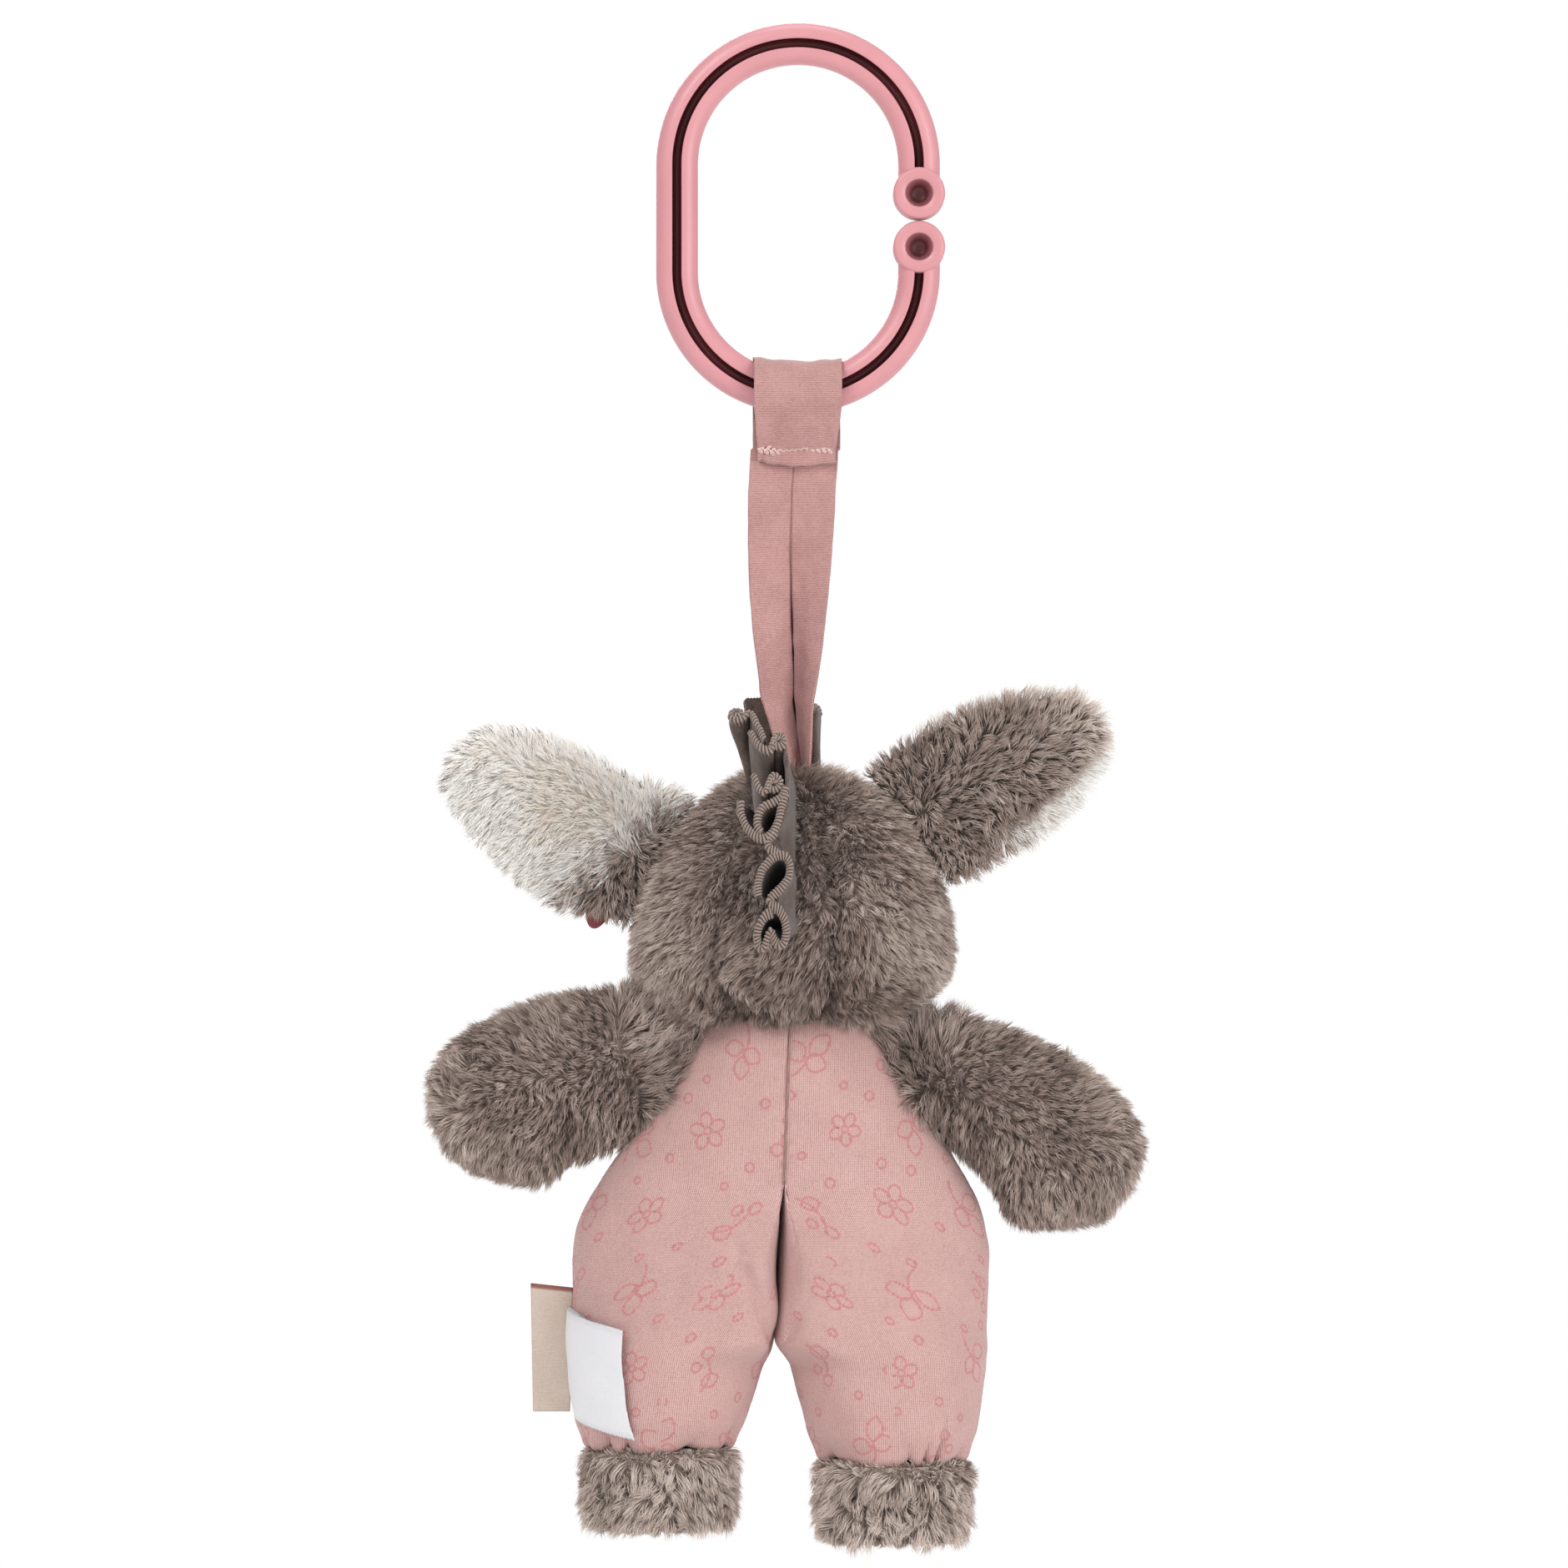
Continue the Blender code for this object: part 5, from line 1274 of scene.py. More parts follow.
@dataclass(frozen=True)
class JerseyFinish:
    """Fine single jersey: rows of small stitches, slightly uneven dye."""

    fair: Triple = (0.82, 0.675, 0.655)
    deep: Triple = (0.62, 0.45, 0.435)
    ink: Triple = (0.75, 0.48, 0.49)
    wale: float = 0.46 * MM
    course: float = 0.36 * MM
    slant: float = 1.1
    column_height: float = 0.34
    row_height: float = 0.2

    def stitches(self, nodes: Nodes) -> Socket:
        """Height of the knit's stitches, from its place on the cloth.

        Args:
            nodes: The material that the nodes go in.

        Returns:
            The height, from 0 to 1.
        """
        column = nodes.wave("cloth_across", self.wale)
        rise = nodes.sum("MULTIPLY", nodes.attribute("cloth_down"), 2 * math.pi / self.course)
        row = nodes.sum("COSINE", nodes.weighted((column, self.slant), plus=rise), 0.0)
        return nodes.weighted((column, self.column_height), (row, self.row_height), plus=0.5)

    def material(self, name: str, inked: bool) -> Material:
        """The cloth itself, or the dye printed on it.

        Args:
            name: Name of the finish.
            inked: Whether the print's dye covers it where the piece is marked.

        Returns:
            The material.
        """
        nodes = Nodes(name)
        height = self.stitches(nodes)
        fuzz = nodes.noise(0.6 * MM, 3.0)
        cloudy = nodes.noise(9 * MM, 2.0)
        level = nodes.weighted((fuzz, 0.55), (cloudy, 0.25), (height, 0.75))
        cloth = nodes.ramp(level, [(0.3, linear(*self.deep)), (0.95, linear(*self.fair))])
        if inked:
            faded = nodes.sum("MULTIPLY", nodes.attribute("ink"), nodes.sum("ADD", level, 0.1))
            cloth = nodes.mix(nodes.sum("MINIMUM", faded, 0.8), cloth, linear(*self.ink))
        nodes.colour(cloth)
        nodes.set(Roughness=0.9, Sheen_Weight=0.2, Sheen_Roughness=0.5, Specular_IOR_Level=0.2)
        nodes.relief(nodes.weighted((fuzz, 0.5), plus=height), 0.12 * MM, 0.8)
        return nodes.material


@dataclass
class ClothHalf:
    """One half of the overalls as a grid, with its knit's own coordinates."""

    rings: np.ndarray
    across: np.ndarray
    down: np.ndarray
    outer: int

    def place(self, across: float, z: float) -> np.ndarray | None:
        """The point of the cloth at this distance from the back seam and this height.

        Args:
            across: Distance from the seam along the cloth.
            z: Height.

        Returns:
            The place with its grid position, or None off the cloth.
        """
        heights = self.rings[:, self.outer // 2, 2]
        row = np.interp(-z, -heights, np.arange(len(heights)))
        low = min(int(row), len(heights) - 2)
        part = row - low
        reach = self.across[low] * (1 - part) + self.across[low + 1] * part
        off = not reach[-1] < across < reach[0] or abs(across) < 0.5 * MM
        if off or row < 2 or row > len(heights) - 3 or (across < 0 and z > -266 * MM):
            return None
        column = np.interp(-across, -reach, np.arange(len(reach)))
        left = min(int(column), len(reach) - 2)
        side = column - left
        corner = self.rings[low : low + 2, left : left + 2]
        upper = corner[0, 0] * (1 - side) + corner[0, 1] * side
        lower = corner[1, 0] * (1 - side) + corner[1, 1] * side
        out = unit(np.cross(corner[0, 1] - corner[0, 0], corner[1, 0] - corner[0, 0]))
        return np.stack([upper * (1 - part) + lower * part, out])


@dataclass
class Overalls:
    """Knitted overalls on a stuffed body: two halves with a seam down the back and gathered legs."""

    torso_width: float = 93 * MM
    torso_depth: float = 41 * MM
    torso_height: float = 59.2 * MM
    torso_pinch: float = 0.28
    leg_width: float = 45.6 * MM
    leg_depth: float = 40 * MM
    leg_spacing: float = 46.6 * MM
    leg_spread: float = 2.6 * MM
    leg_lengths: dict = field(default_factory=lambda: {Side.LEFT: 35.6 * MM, Side.RIGHT: 38.4 * MM})
    leg_pinch: float = 0.15
    gap: float = 0.3 * MM
    split_start: float = -246 * MM
    split_end: float = -287 * MM
    crotch: tuple = (-281.5 * MM, -288.5 * MM)
    columns: tuple = (262, 96)
    rows: int = 262
    tucks: int = 11
    tuck_depth: float = 3.4 * MM
    tuck_reach: tuple = (4.2 * MM, 8.0 * MM)
    hem_roll: float = 1.9 * MM
    # Depth of a line in the cloth, and how far to its sides it reaches
    inner_crease: tuple = (0.7 * MM, 0.9 * MM)
    side_seam: tuple = (0.45 * MM, 0.7 * MM)
    puckers: tuple = (0.30 * MM, 3.2 * MM)
    neck_seam: tuple = (0.5 * MM, 0.8 * MM)
    hem_lift: tuple = (1.1 * MM, 2.0 * MM)
    seat_reach: float = 5 * MM
    seat_start: tuple = (-246 * MM, -266 * MM)
    seat_rise: dict = field(default_factory=lambda: {Side.LEFT: 0.6 * MM, Side.RIGHT: -1.4 * MM})
    pucker_pitch: float = 0.75 * MM
    lumps: tuple = ((0.7 * MM, 17 * MM), (0.16 * MM, 4.5 * MM))
    hem_band: tuple = (0.5 * MM, 6.5 * MM, 3.4 * MM)
    thigh_gap: float = 1.1 * MM
    # Where each side's drag line starts and ends, in millimetres, and how deep it is
    drag_lines: dict = field(
        default_factory=lambda: {
            Side.LEFT: ((15.0, -256.5), (5.0, -284.0), 1.0 * MM),
            Side.RIGHT: ((-7.0, -262.0), (4.0, -284.0), 0.35 * MM),
        }
    )
    drag_width: float = 1.3 * MM
    drag_ridge: tuple = (0.8, 2.6 * MM, 1.9 * MM)

    def bottom(self, side: Side) -> float:
        """Height of a leg's lower end."""
        return HIP_Z - self.gap - self.leg_lengths[side]

    def outlines(self, side: Side, z: np.ndarray) -> tuple[np.ndarray, ...]:
        """Half widths, depths and centres of the torso and of one leg at these heights.

        Args:
            side: Which of the toy's sides.
            z: The heights.

        Returns:
            Half width and half depth of the torso, the same of the leg, and both middles.
        """
        share = np.clip((NECK_Z - self.gap - z) / self.torso_height, 0, 1)
        torso_wide = self.torso_width / 2 * table_curve(TORSO_TABLE, 1, share)
        torso_deep = self.torso_depth / 2 * table_curve(TORSO_TABLE, 2, share)
        down = np.clip((HIP_Z - self.gap - z) / self.leg_lengths[side], 0, 1)
        leg_wide = self.leg_width / 2 * table_curve(LEG_TABLE, 1, down)
        leg_deep = self.leg_depth / 2 * table_curve(LEG_TABLE, 2, down)
        middle = toy_centre_x(z)
        spread = self.leg_spacing / 2 + self.leg_spread * smooth_step(0, 1, down)
        return torso_wide, torso_deep, leg_wide, leg_deep, middle, middle + side.value * spread

    def turns(self) -> np.ndarray:
        """Angles round a half: the front seam, the outer side, the back seam, then the inside.

        Returns:
            The angles.
        """
        fine = np.linspace(-np.pi / 2, np.pi / 2, 2000)
        x, y = 1.4 * np.cos(fine), np.sin(fine)
        length = np.concatenate([[0], np.cumsum(np.hypot(np.diff(x), np.diff(y)))])
        even = np.linspace(0, length[-1], self.columns[0])
        outer = np.interp(even, length, fine)
        inner = np.linspace(np.pi / 2, 1.5 * np.pi, self.columns[1] + 2)[1:-1]
        return np.concatenate([outer, inner])

    def half(self, side: Side, noise: SoftNoise) -> ClothHalf:
        """Shapes one half, with its seams, creases and tucks.

        Args:
            side: Which half.
            noise: Noise for the cloth's unevenness.

        Returns:
            The half's grid.
        """
        low = self.bottom(side)
        z = NECK_Z - self.gap - (NECK_Z - self.gap - low) * np.linspace(0, 1, self.rows)
        torso_wide, torso_deep, leg_wide, leg_deep, middle, leg_middle = self.outlines(side, z)
        turn = self.turns()
        cos, sin = np.cos(turn), np.sin(turn)
        out = np.where(cos > 0, cos, 0.0)
        depth = sin * np.abs(sin) ** self.torso_pinch
        bow = np.where(cos < 0, 1 - depth**2, 0.0) * MM
        body_x = middle[:, None] + bow + side.value * (0.04 * MM + torso_wide[:, None] * out)
        body_y = TOY_Y + torso_deep[:, None] * depth
        touch = smooth_step(self.crotch[1], self.crotch[0], z)[:, None]
        inner = leg_wide[:, None] + (np.abs(leg_middle - middle) - 0.05 * MM - leg_wide)[:, None] * touch
        reach = np.where(cos < 0, -inner * np.abs(cos) ** (1 - 0.62 * touch), leg_wide[:, None] * cos)
        leg_x = leg_middle[:, None] + side.value * reach
        leg_x += np.where(cos < 0, self.thigh_gap * cos**6, 0.0) * touch
        pinch = self.leg_pinch - np.where(cos < 0, 0.75, 0.0) * touch
        leg_y = TOY_Y + leg_deep[:, None] * sin * np.maximum(np.abs(sin), 1e-4) ** pinch
        split = smooth_step(self.split_start, self.split_end, z)[:, None]
        x, y = body_x + (leg_x - body_x) * split, body_y + (leg_y - body_y) * split
        rings = np.stack([x, y, np.repeat(z[:, None], len(turn), 1)], -1)
        outer = self.columns[0]
        steps = np.linalg.norm(np.diff(rings[:, :outer], axis=1), axis=2)
        across = np.concatenate([np.cumsum(steps[:, ::-1], 1)[:, ::-1], np.zeros((self.rows, 1))], 1)
        inner = np.linalg.norm(np.diff(rings[:, outer - 1 :], axis=1), axis=2)
        across = np.concatenate([across, -np.cumsum(inner, 1)], 1)
        down = np.repeat((NECK_Z - z)[:, None], len(turn), 1)
        made = ClothHalf(rings, across, down, outer)
        self.shape(made, side, z, noise)
        return made

    def shape(self, made: ClothHalf, side: Side, z: np.ndarray, noise: SoftNoise) -> None:
        """Moves the cloth in and out where it is sewn, creased and gathered.

        Args:
            made: The half, whose rings are changed.
            side: Which of the toy's sides.
            z: Height of each ring.
            noise: Noise for the cloth's unevenness.
        """
        rings = made.rings
        skin = outward_skin(rings)
        normals = skin.normals()[: rings.shape[0] * rings.shape[1]].reshape(rings.shape)
        seam = made.across
        height = np.repeat((z - self.bottom(side))[:, None], rings.shape[1], 1)
        middle = np.abs(rings[..., 0] - toy_centre_x(z)[:, None])
        touch = smooth_step(self.crotch[1], self.crotch[0], z)[:, None]
        facing = smooth_step(0.3, 0.8, np.abs(normals[..., 1])) * touch
        wave = np.sin(rings[..., 2] / self.pucker_pitch + 2.5 * noise.at(rings, 7 * MM) + side.value)
        wave = wave * smooth_step(0, 0.8 * MM, middle)
        amount = self.faded(self.puckers, middle) * wave * facing
        amount -= self.faded(self.inner_crease, middle) * facing
        low = smooth_step(*self.seat_start, z)[:, None]
        amount += self.faded((self.seat_rise[side], self.seat_reach), middle) * low * facing
        amount -= self.faded(self.side_seam, np.abs(seam - made.across[:, :1] / 2)) * (seam > 0)
        (coarse, coarse_size), (fine, fine_size) = self.lumps
        amount += coarse * noise.rough(rings, coarse_size) + fine * noise.at(rings, fine_size)
        amount += self.crotch_folds(rings, side)
        amount *= np.where((seam < 0) & (middle < 1.0 * MM), np.maximum(1 - touch, facing), 1.0)
        turn = np.linspace(0, 2 * np.pi, rings.shape[1], endpoint=False)
        phase = self.tucks * turn + 2.2 * np.sin(2 * turn + side.value) + 1.3 * np.sin(5 * turn)
        wobble = 1.4 * noise.at(rings, 9 * MM)
        tuck = np.abs(np.sin((phase + wobble) / 2)) ** 0.7 - 0.62
        strength = 0.55 + 0.45 * noise.at(rings + 0.05, 8 * MM)
        short, more = self.tuck_reach
        reach = short + more * smooth_step(0.0, 0.7, noise.at(rings * (1, 1, 0) + 0.03, 6 * MM))
        amount += self.tuck_depth * tuck * strength * np.exp(-height / reach)
        amount += self.hem_band[0] * bump(height - self.hem_band[1], self.hem_band[2])
        roll = np.clip(1 - height / self.hem_roll, 0, 1)
        amount -= self.hem_roll * (1 - np.sqrt(np.maximum(1 - roll**2, 0)))
        rings += normals * amount[..., None]
        rings[..., 2] -= self.faded(self.hem_lift, height) * (0.95 + tuck) * strength
        neck = np.repeat((NECK_Z - z)[:, None], rings.shape[1], 1)
        rings -= normals * self.faded(self.neck_seam, neck)[..., None]

    def faded(self, line: tuple[float, float], apart: np.ndarray) -> np.ndarray:
        """Depth of a line in the cloth at these distances from it."""
        return line[0] * np.exp(-apart / line[1])

    def crotch_folds(self, rings: np.ndarray, side: Side) -> np.ndarray:
        """Depth of the drag lines that run from the seat to the crotch.

        Args:
            rings: Points of the cloth.
            side: Which of the toy's sides.

        Returns:
            How far out each point moves.
        """
        (x0, z0), (x1, z1), depth = self.drag_lines[side]
        start, run = np.array((x0, z0)) * MM, np.array((x1 - x0, z1 - z0)) * MM
        flat = rings[..., [0, 2]] - start
        share = np.clip((flat @ run) / (run @ run), 0, 1)
        apart = flat - share[..., None] * run
        across = (apart @ np.array((-run[1], run[0]))) / np.linalg.norm(run)
        far = np.linalg.norm(apart, axis=-1)
        signed = np.where(across > 0, far, -far) * side.value
        share_of_ridge, ridge, ridge_width = self.drag_ridge
        crease = share_of_ridge * bump(signed + ridge, ridge_width) - bump(signed, self.drag_width)
        back = smooth_step(0, 8 * MM, rings[..., 1] - TOY_Y)
        return depth * crease * back * smooth_step(0, 0.35, share)

    def build(self, noise: SoftNoise) -> None:
        """Builds and dresses both halves with their print.

        Args:
            noise: Noise for the cloth's unevenness.
        """
        jersey = JerseyFinish()
        cloth, dye = jersey.material("pink_jersey", False), jersey.material("printed_jersey", True)
        for side in Side:
            made = self.half(side, noise)
            skin = outward_skin(made.rings)
            values = {
                "cloth_across": with_poles(made.across),
                "cloth_down": with_poles(made.down),
            }
            piece = skin_object(f"{side.word}_overalls", skin, cloth, values)
            leg = f"{side.word}_leg"
            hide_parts(f"{leg}_cover", f"{leg}_filling", "torso_cover", "torso_filling")
            self.hang(piece, leg)
            marks = Print(made, side).build(dye)
            self.hang(marks, leg)

    def hang(self, piece: Piece, leg: str) -> None:
        """Bakes a piece's place into its mesh and logs the leg that it goes with.

        Args:
            piece: The piece.
            leg: The leg's body.
        """
        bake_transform(piece)
        LOG.info("%s bends between torso and %s", piece.name, leg)


@dataclass
class Print:
    """A scattered print of outlined sprigs, blossoms and rings on the knit."""

    cloth: ClothHalf
    side: Side
    line: float = 0.64 * MM
    lift: float = 0.05 * MM
    step: float = 0.35 * MM
    pitch: tuple = (18.5 * MM, 17.0 * MM)
    leg_middle: float = 20 * MM

    def spun(self, x: np.ndarray, y: np.ndarray, turn: float, place: tuple) -> np.ndarray:
        """Points turned about the origin and moved to a place."""
        c, s = math.cos(math.radians(turn)), math.sin(math.radians(turn))
        return np.stack([place[0] + x * c - y * s, place[1] + x * s + y * c], -1)

    def arc(self, centre: tuple, radii: tuple, turn: float, start: float = 0, end: float = 360) -> np.ndarray:
        """Points of a turned ellipse's outline, in millimetres.

        Args:
            centre: Middle of the ellipse.
            radii: Its two radii.
            turn: Its turn in degrees.
            start: Where the arc starts, in degrees.
            end: Where it ends.

        Returns:
            The points.
        """
        t = np.radians(np.linspace(start, end, 40))
        x, y = radii[0] * np.cos(t), radii[1] * np.sin(t)
        return self.spun(x, y, turn, centre)

    def leaf(self, base: tuple, turn: float, length: float = 5.0, width: float = 1.7) -> np.ndarray:
        """Outline of a pointed leaf from its base, in millimetres.

        Args:
            base: The leaf's base.
            turn: Where it points, in degrees.
            length: Its length.
            width: Half its width.

        Returns:
            The points.
        """
        t = np.linspace(0, 1, 24)
        half = width * np.sin(np.pi * t) ** 0.85
        x = np.concatenate([t * length, t[::-1] * length])
        y = np.concatenate([half, -half[::-1]])
        return self.spun(x, y, turn, base)

    def stem(self, start: tuple, end: tuple, bow: float) -> np.ndarray:
        """A bowed line, in millimetres.

        Args:
            start: One end.
            end: The other end.
            bow: Share of the length it bows.

        Returns:
            The points.
        """
        t = np.linspace(0, 1, 20)[:, None]
        start, end = np.array(start), np.array(end)
        side = np.array((start[1] - end[1], end[0] - start[0])) * bow
        return start + (end - start) * t + side * 4 * t * (1 - t)

    def motifs(self) -> list[list[np.ndarray]]:
        """The strokes of each motif, in millimetres round its middle.

        Returns:
            A list of strokes for each motif.
        """
        sprig = [
            self.leaf((0.2, 0.6), 82, 5.2), self.leaf((0, -0.6), 20, 4.4), self.leaf((-0.2, -1.2), 158, 4.4),
            self.stem((0.2, 0.6), (-0.8, -6.2), 0.12),
        ]
        blossom = [self.arc((2.1 * math.cos(a), 2.1 * math.sin(a)), (1.5, 1.15), math.degrees(a), -140, 140)
                   for a in np.arange(5) * 2 * math.pi / 5 + 0.3]
        blossom.append(self.arc((0, 0), (0.75, 0.75), 0))
        bell = [self.stem((-2.6, 3.4), (1.2, -2.0), 0.22), self.arc((1.6, -2.9), (1.1, 1.1), 0),
                self.arc((-1.2, -1.4), (0.95, 0.95), 0), self.leaf((-1.8, 2.2), 8, 3.8, 1.3)]
        return [sprig, blossom, bell, [self.arc((0, 0), (1.1, 1.1), 0)]]

    def strokes(self) -> list[np.ndarray]:
        """All strokes on this half: distance from the seam and height.

        Returns:
            An array of points for each stroke.
        """
        random = np.random.default_rng(97 + self.side.value)
        kinds = self.motifs()
        made = []
        for row in range(6):
            for column in range(-2, 6):
                shift = 0.5 * (row % 2) + (0.28 if self.side is Side.LEFT else 0.0)
                x, z = (column + shift + 0.2) * self.pitch[0], NECK_Z - (row + 0.5) * self.pitch[1]
                x, z = x + random.uniform(-1.5, 1.5) * MM, z + random.uniform(-1.8, 1.8) * MM
                kind = kinds[(row + 2 * column) % 3]
                turn = math.radians(random.choice((0, 35, -40, 150, 200)) + random.uniform(-12, 12))
                made += self.turned(kind, turn, random.uniform(1.0, 1.25), x, z)
                for far, low in ((0.46, random.uniform(0.3, 0.46)), (0.3, -0.42)):
                    ring = x + self.pitch[0] * far, z - self.pitch[1] * low
                    made += self.turned(kinds[3], 0.0, random.uniform(0.7, 1.0), *ring)
        return made

    def turned(self, kind: list, turn: float, size: float, x: float, z: float) -> list[np.ndarray]:
        """A motif's strokes turned, scaled and put in place.

        Args:
            kind: The motif's strokes.
            turn: Its turn in radians.
            size: Its scale.
            x: Distance from the seam.
            z: Height.

        Returns:
            The strokes, in metres.
        """
        c, s = math.cos(turn) * size * MM, math.sin(turn) * size * MM
        spin = np.array(((c, s), (-s, c)))
        return [stroke @ spin + (x, z) for stroke in kind]

    def build(self, finish: Material) -> Piece:
        """Lays each stroke on the cloth as a thin line of dye.

        Args:
            finish: The dyed jersey.

        Returns:
            The print of this half.
        """
        points, faces, ink, across, down = [], [], [], [], []
        for stroke in self.strokes():
            length = run_length(stroke)
            count = max(int(length[-1] / self.step), 3)
            even = np.linspace(0, length[-1], count + 1)
            fine = np.stack([np.interp(even, length, stroke[:, k]) for k in (0, 1)], -1)
            found = [self.cloth.place(*spot) for spot in fine]
            runs, run = [], []
            for spot, hit in zip(fine, found):
                if hit is None:
                    runs.append(run)
                    run = []
                else:
                    run.append((spot, hit))
            for run in runs + [run]:
                if len(run) < 3:
                    continue
                spots = np.array([spot for spot, _ in run])
                places = np.array([hit[0] for _, hit in run])
                outs = np.array([hit[1] for _, hit in run])
                middle = toy_centre_x(places[0, 2]) + self.side.value * self.leg_middle, 0, places[0, 2]
                outs = outs * np.sign(((places - middle) * outs).sum(-1, keepdims=True) + 1e-12)
                heading = unit(np.gradient(places, axis=0))
                aside = unit(np.cross(outs, heading))
                first = sum(len(block) for block in points)
                for share, dye, lift in ((-0.5, 0, 0.3), (-0.28, 1, 1), (0.28, 1, 1), (0.5, 0, 0.3)):
                    points.append(places + aside * share * self.line + outs * self.lift * lift)
                    ink.append(np.full(len(run), float(dye)))
                    across.append(spots[:, 0])
                    down.append(NECK_Z - spots[:, 1])
                row = first + np.arange(len(run) - 1)[:, None]
                for lane in range(3):
                    a, b = row + lane * len(run), row + (lane + 1) * len(run)
                    faces.append(np.concatenate([a, a + 1, b + 1, b], 1))
        values = {
            "ink": np.concatenate(ink),
            "cloth_across": np.concatenate(across),
            "cloth_down": np.concatenate(down),
        }
        return mesh_object(
            f"{self.side.word}_print", np.concatenate(points), [np.concatenate(faces)], finish, values
        )


# Clip ring


@dataclass(frozen=True)
class RingPlastic:
    """Moulded plastic with a satin gloss, and painted shade where the groove and the holes go in."""

    face: Triple = (0.81, 0.56, 0.58)
    # Painted shade in the groove and the holes.
    deep: Triple = (0.40, 0.15, 0.17)

    def material(self) -> Material:
        """Builds the finish, which paints shade where the moulding goes in.

        Returns:
            The material.
        """
        nodes = Nodes("dusty_pink_plastic")
        worn = tuple(c * 0.95 for c in linear(*self.face))
        face = nodes.ramp(nodes.noise(11 * MM, 2.0), [(0.35, worn), (0.65, linear(*self.face))])
        # The deep mark paints shade into the groove and the holes.
        nodes.colour(nodes.mix(nodes.attribute("deep"), face, linear(*self.deep)))
        rough = nodes.add("ShaderNodeMapRange")
        nodes.link(nodes.noise(2.5 * MM, 3.0), rough.inputs["Value"])
        rough.inputs["To Min"].default_value, rough.inputs["To Max"].default_value = 0.30, 0.42
        nodes.link(rough.outputs[0], nodes.shader.inputs["Roughness"])
        nodes.set(Specular_IOR_Level=0.45)
        nodes.relief(nodes.noise(0.35 * MM, 2.0), 0.012 * MM, 0.4)
        return nodes.material


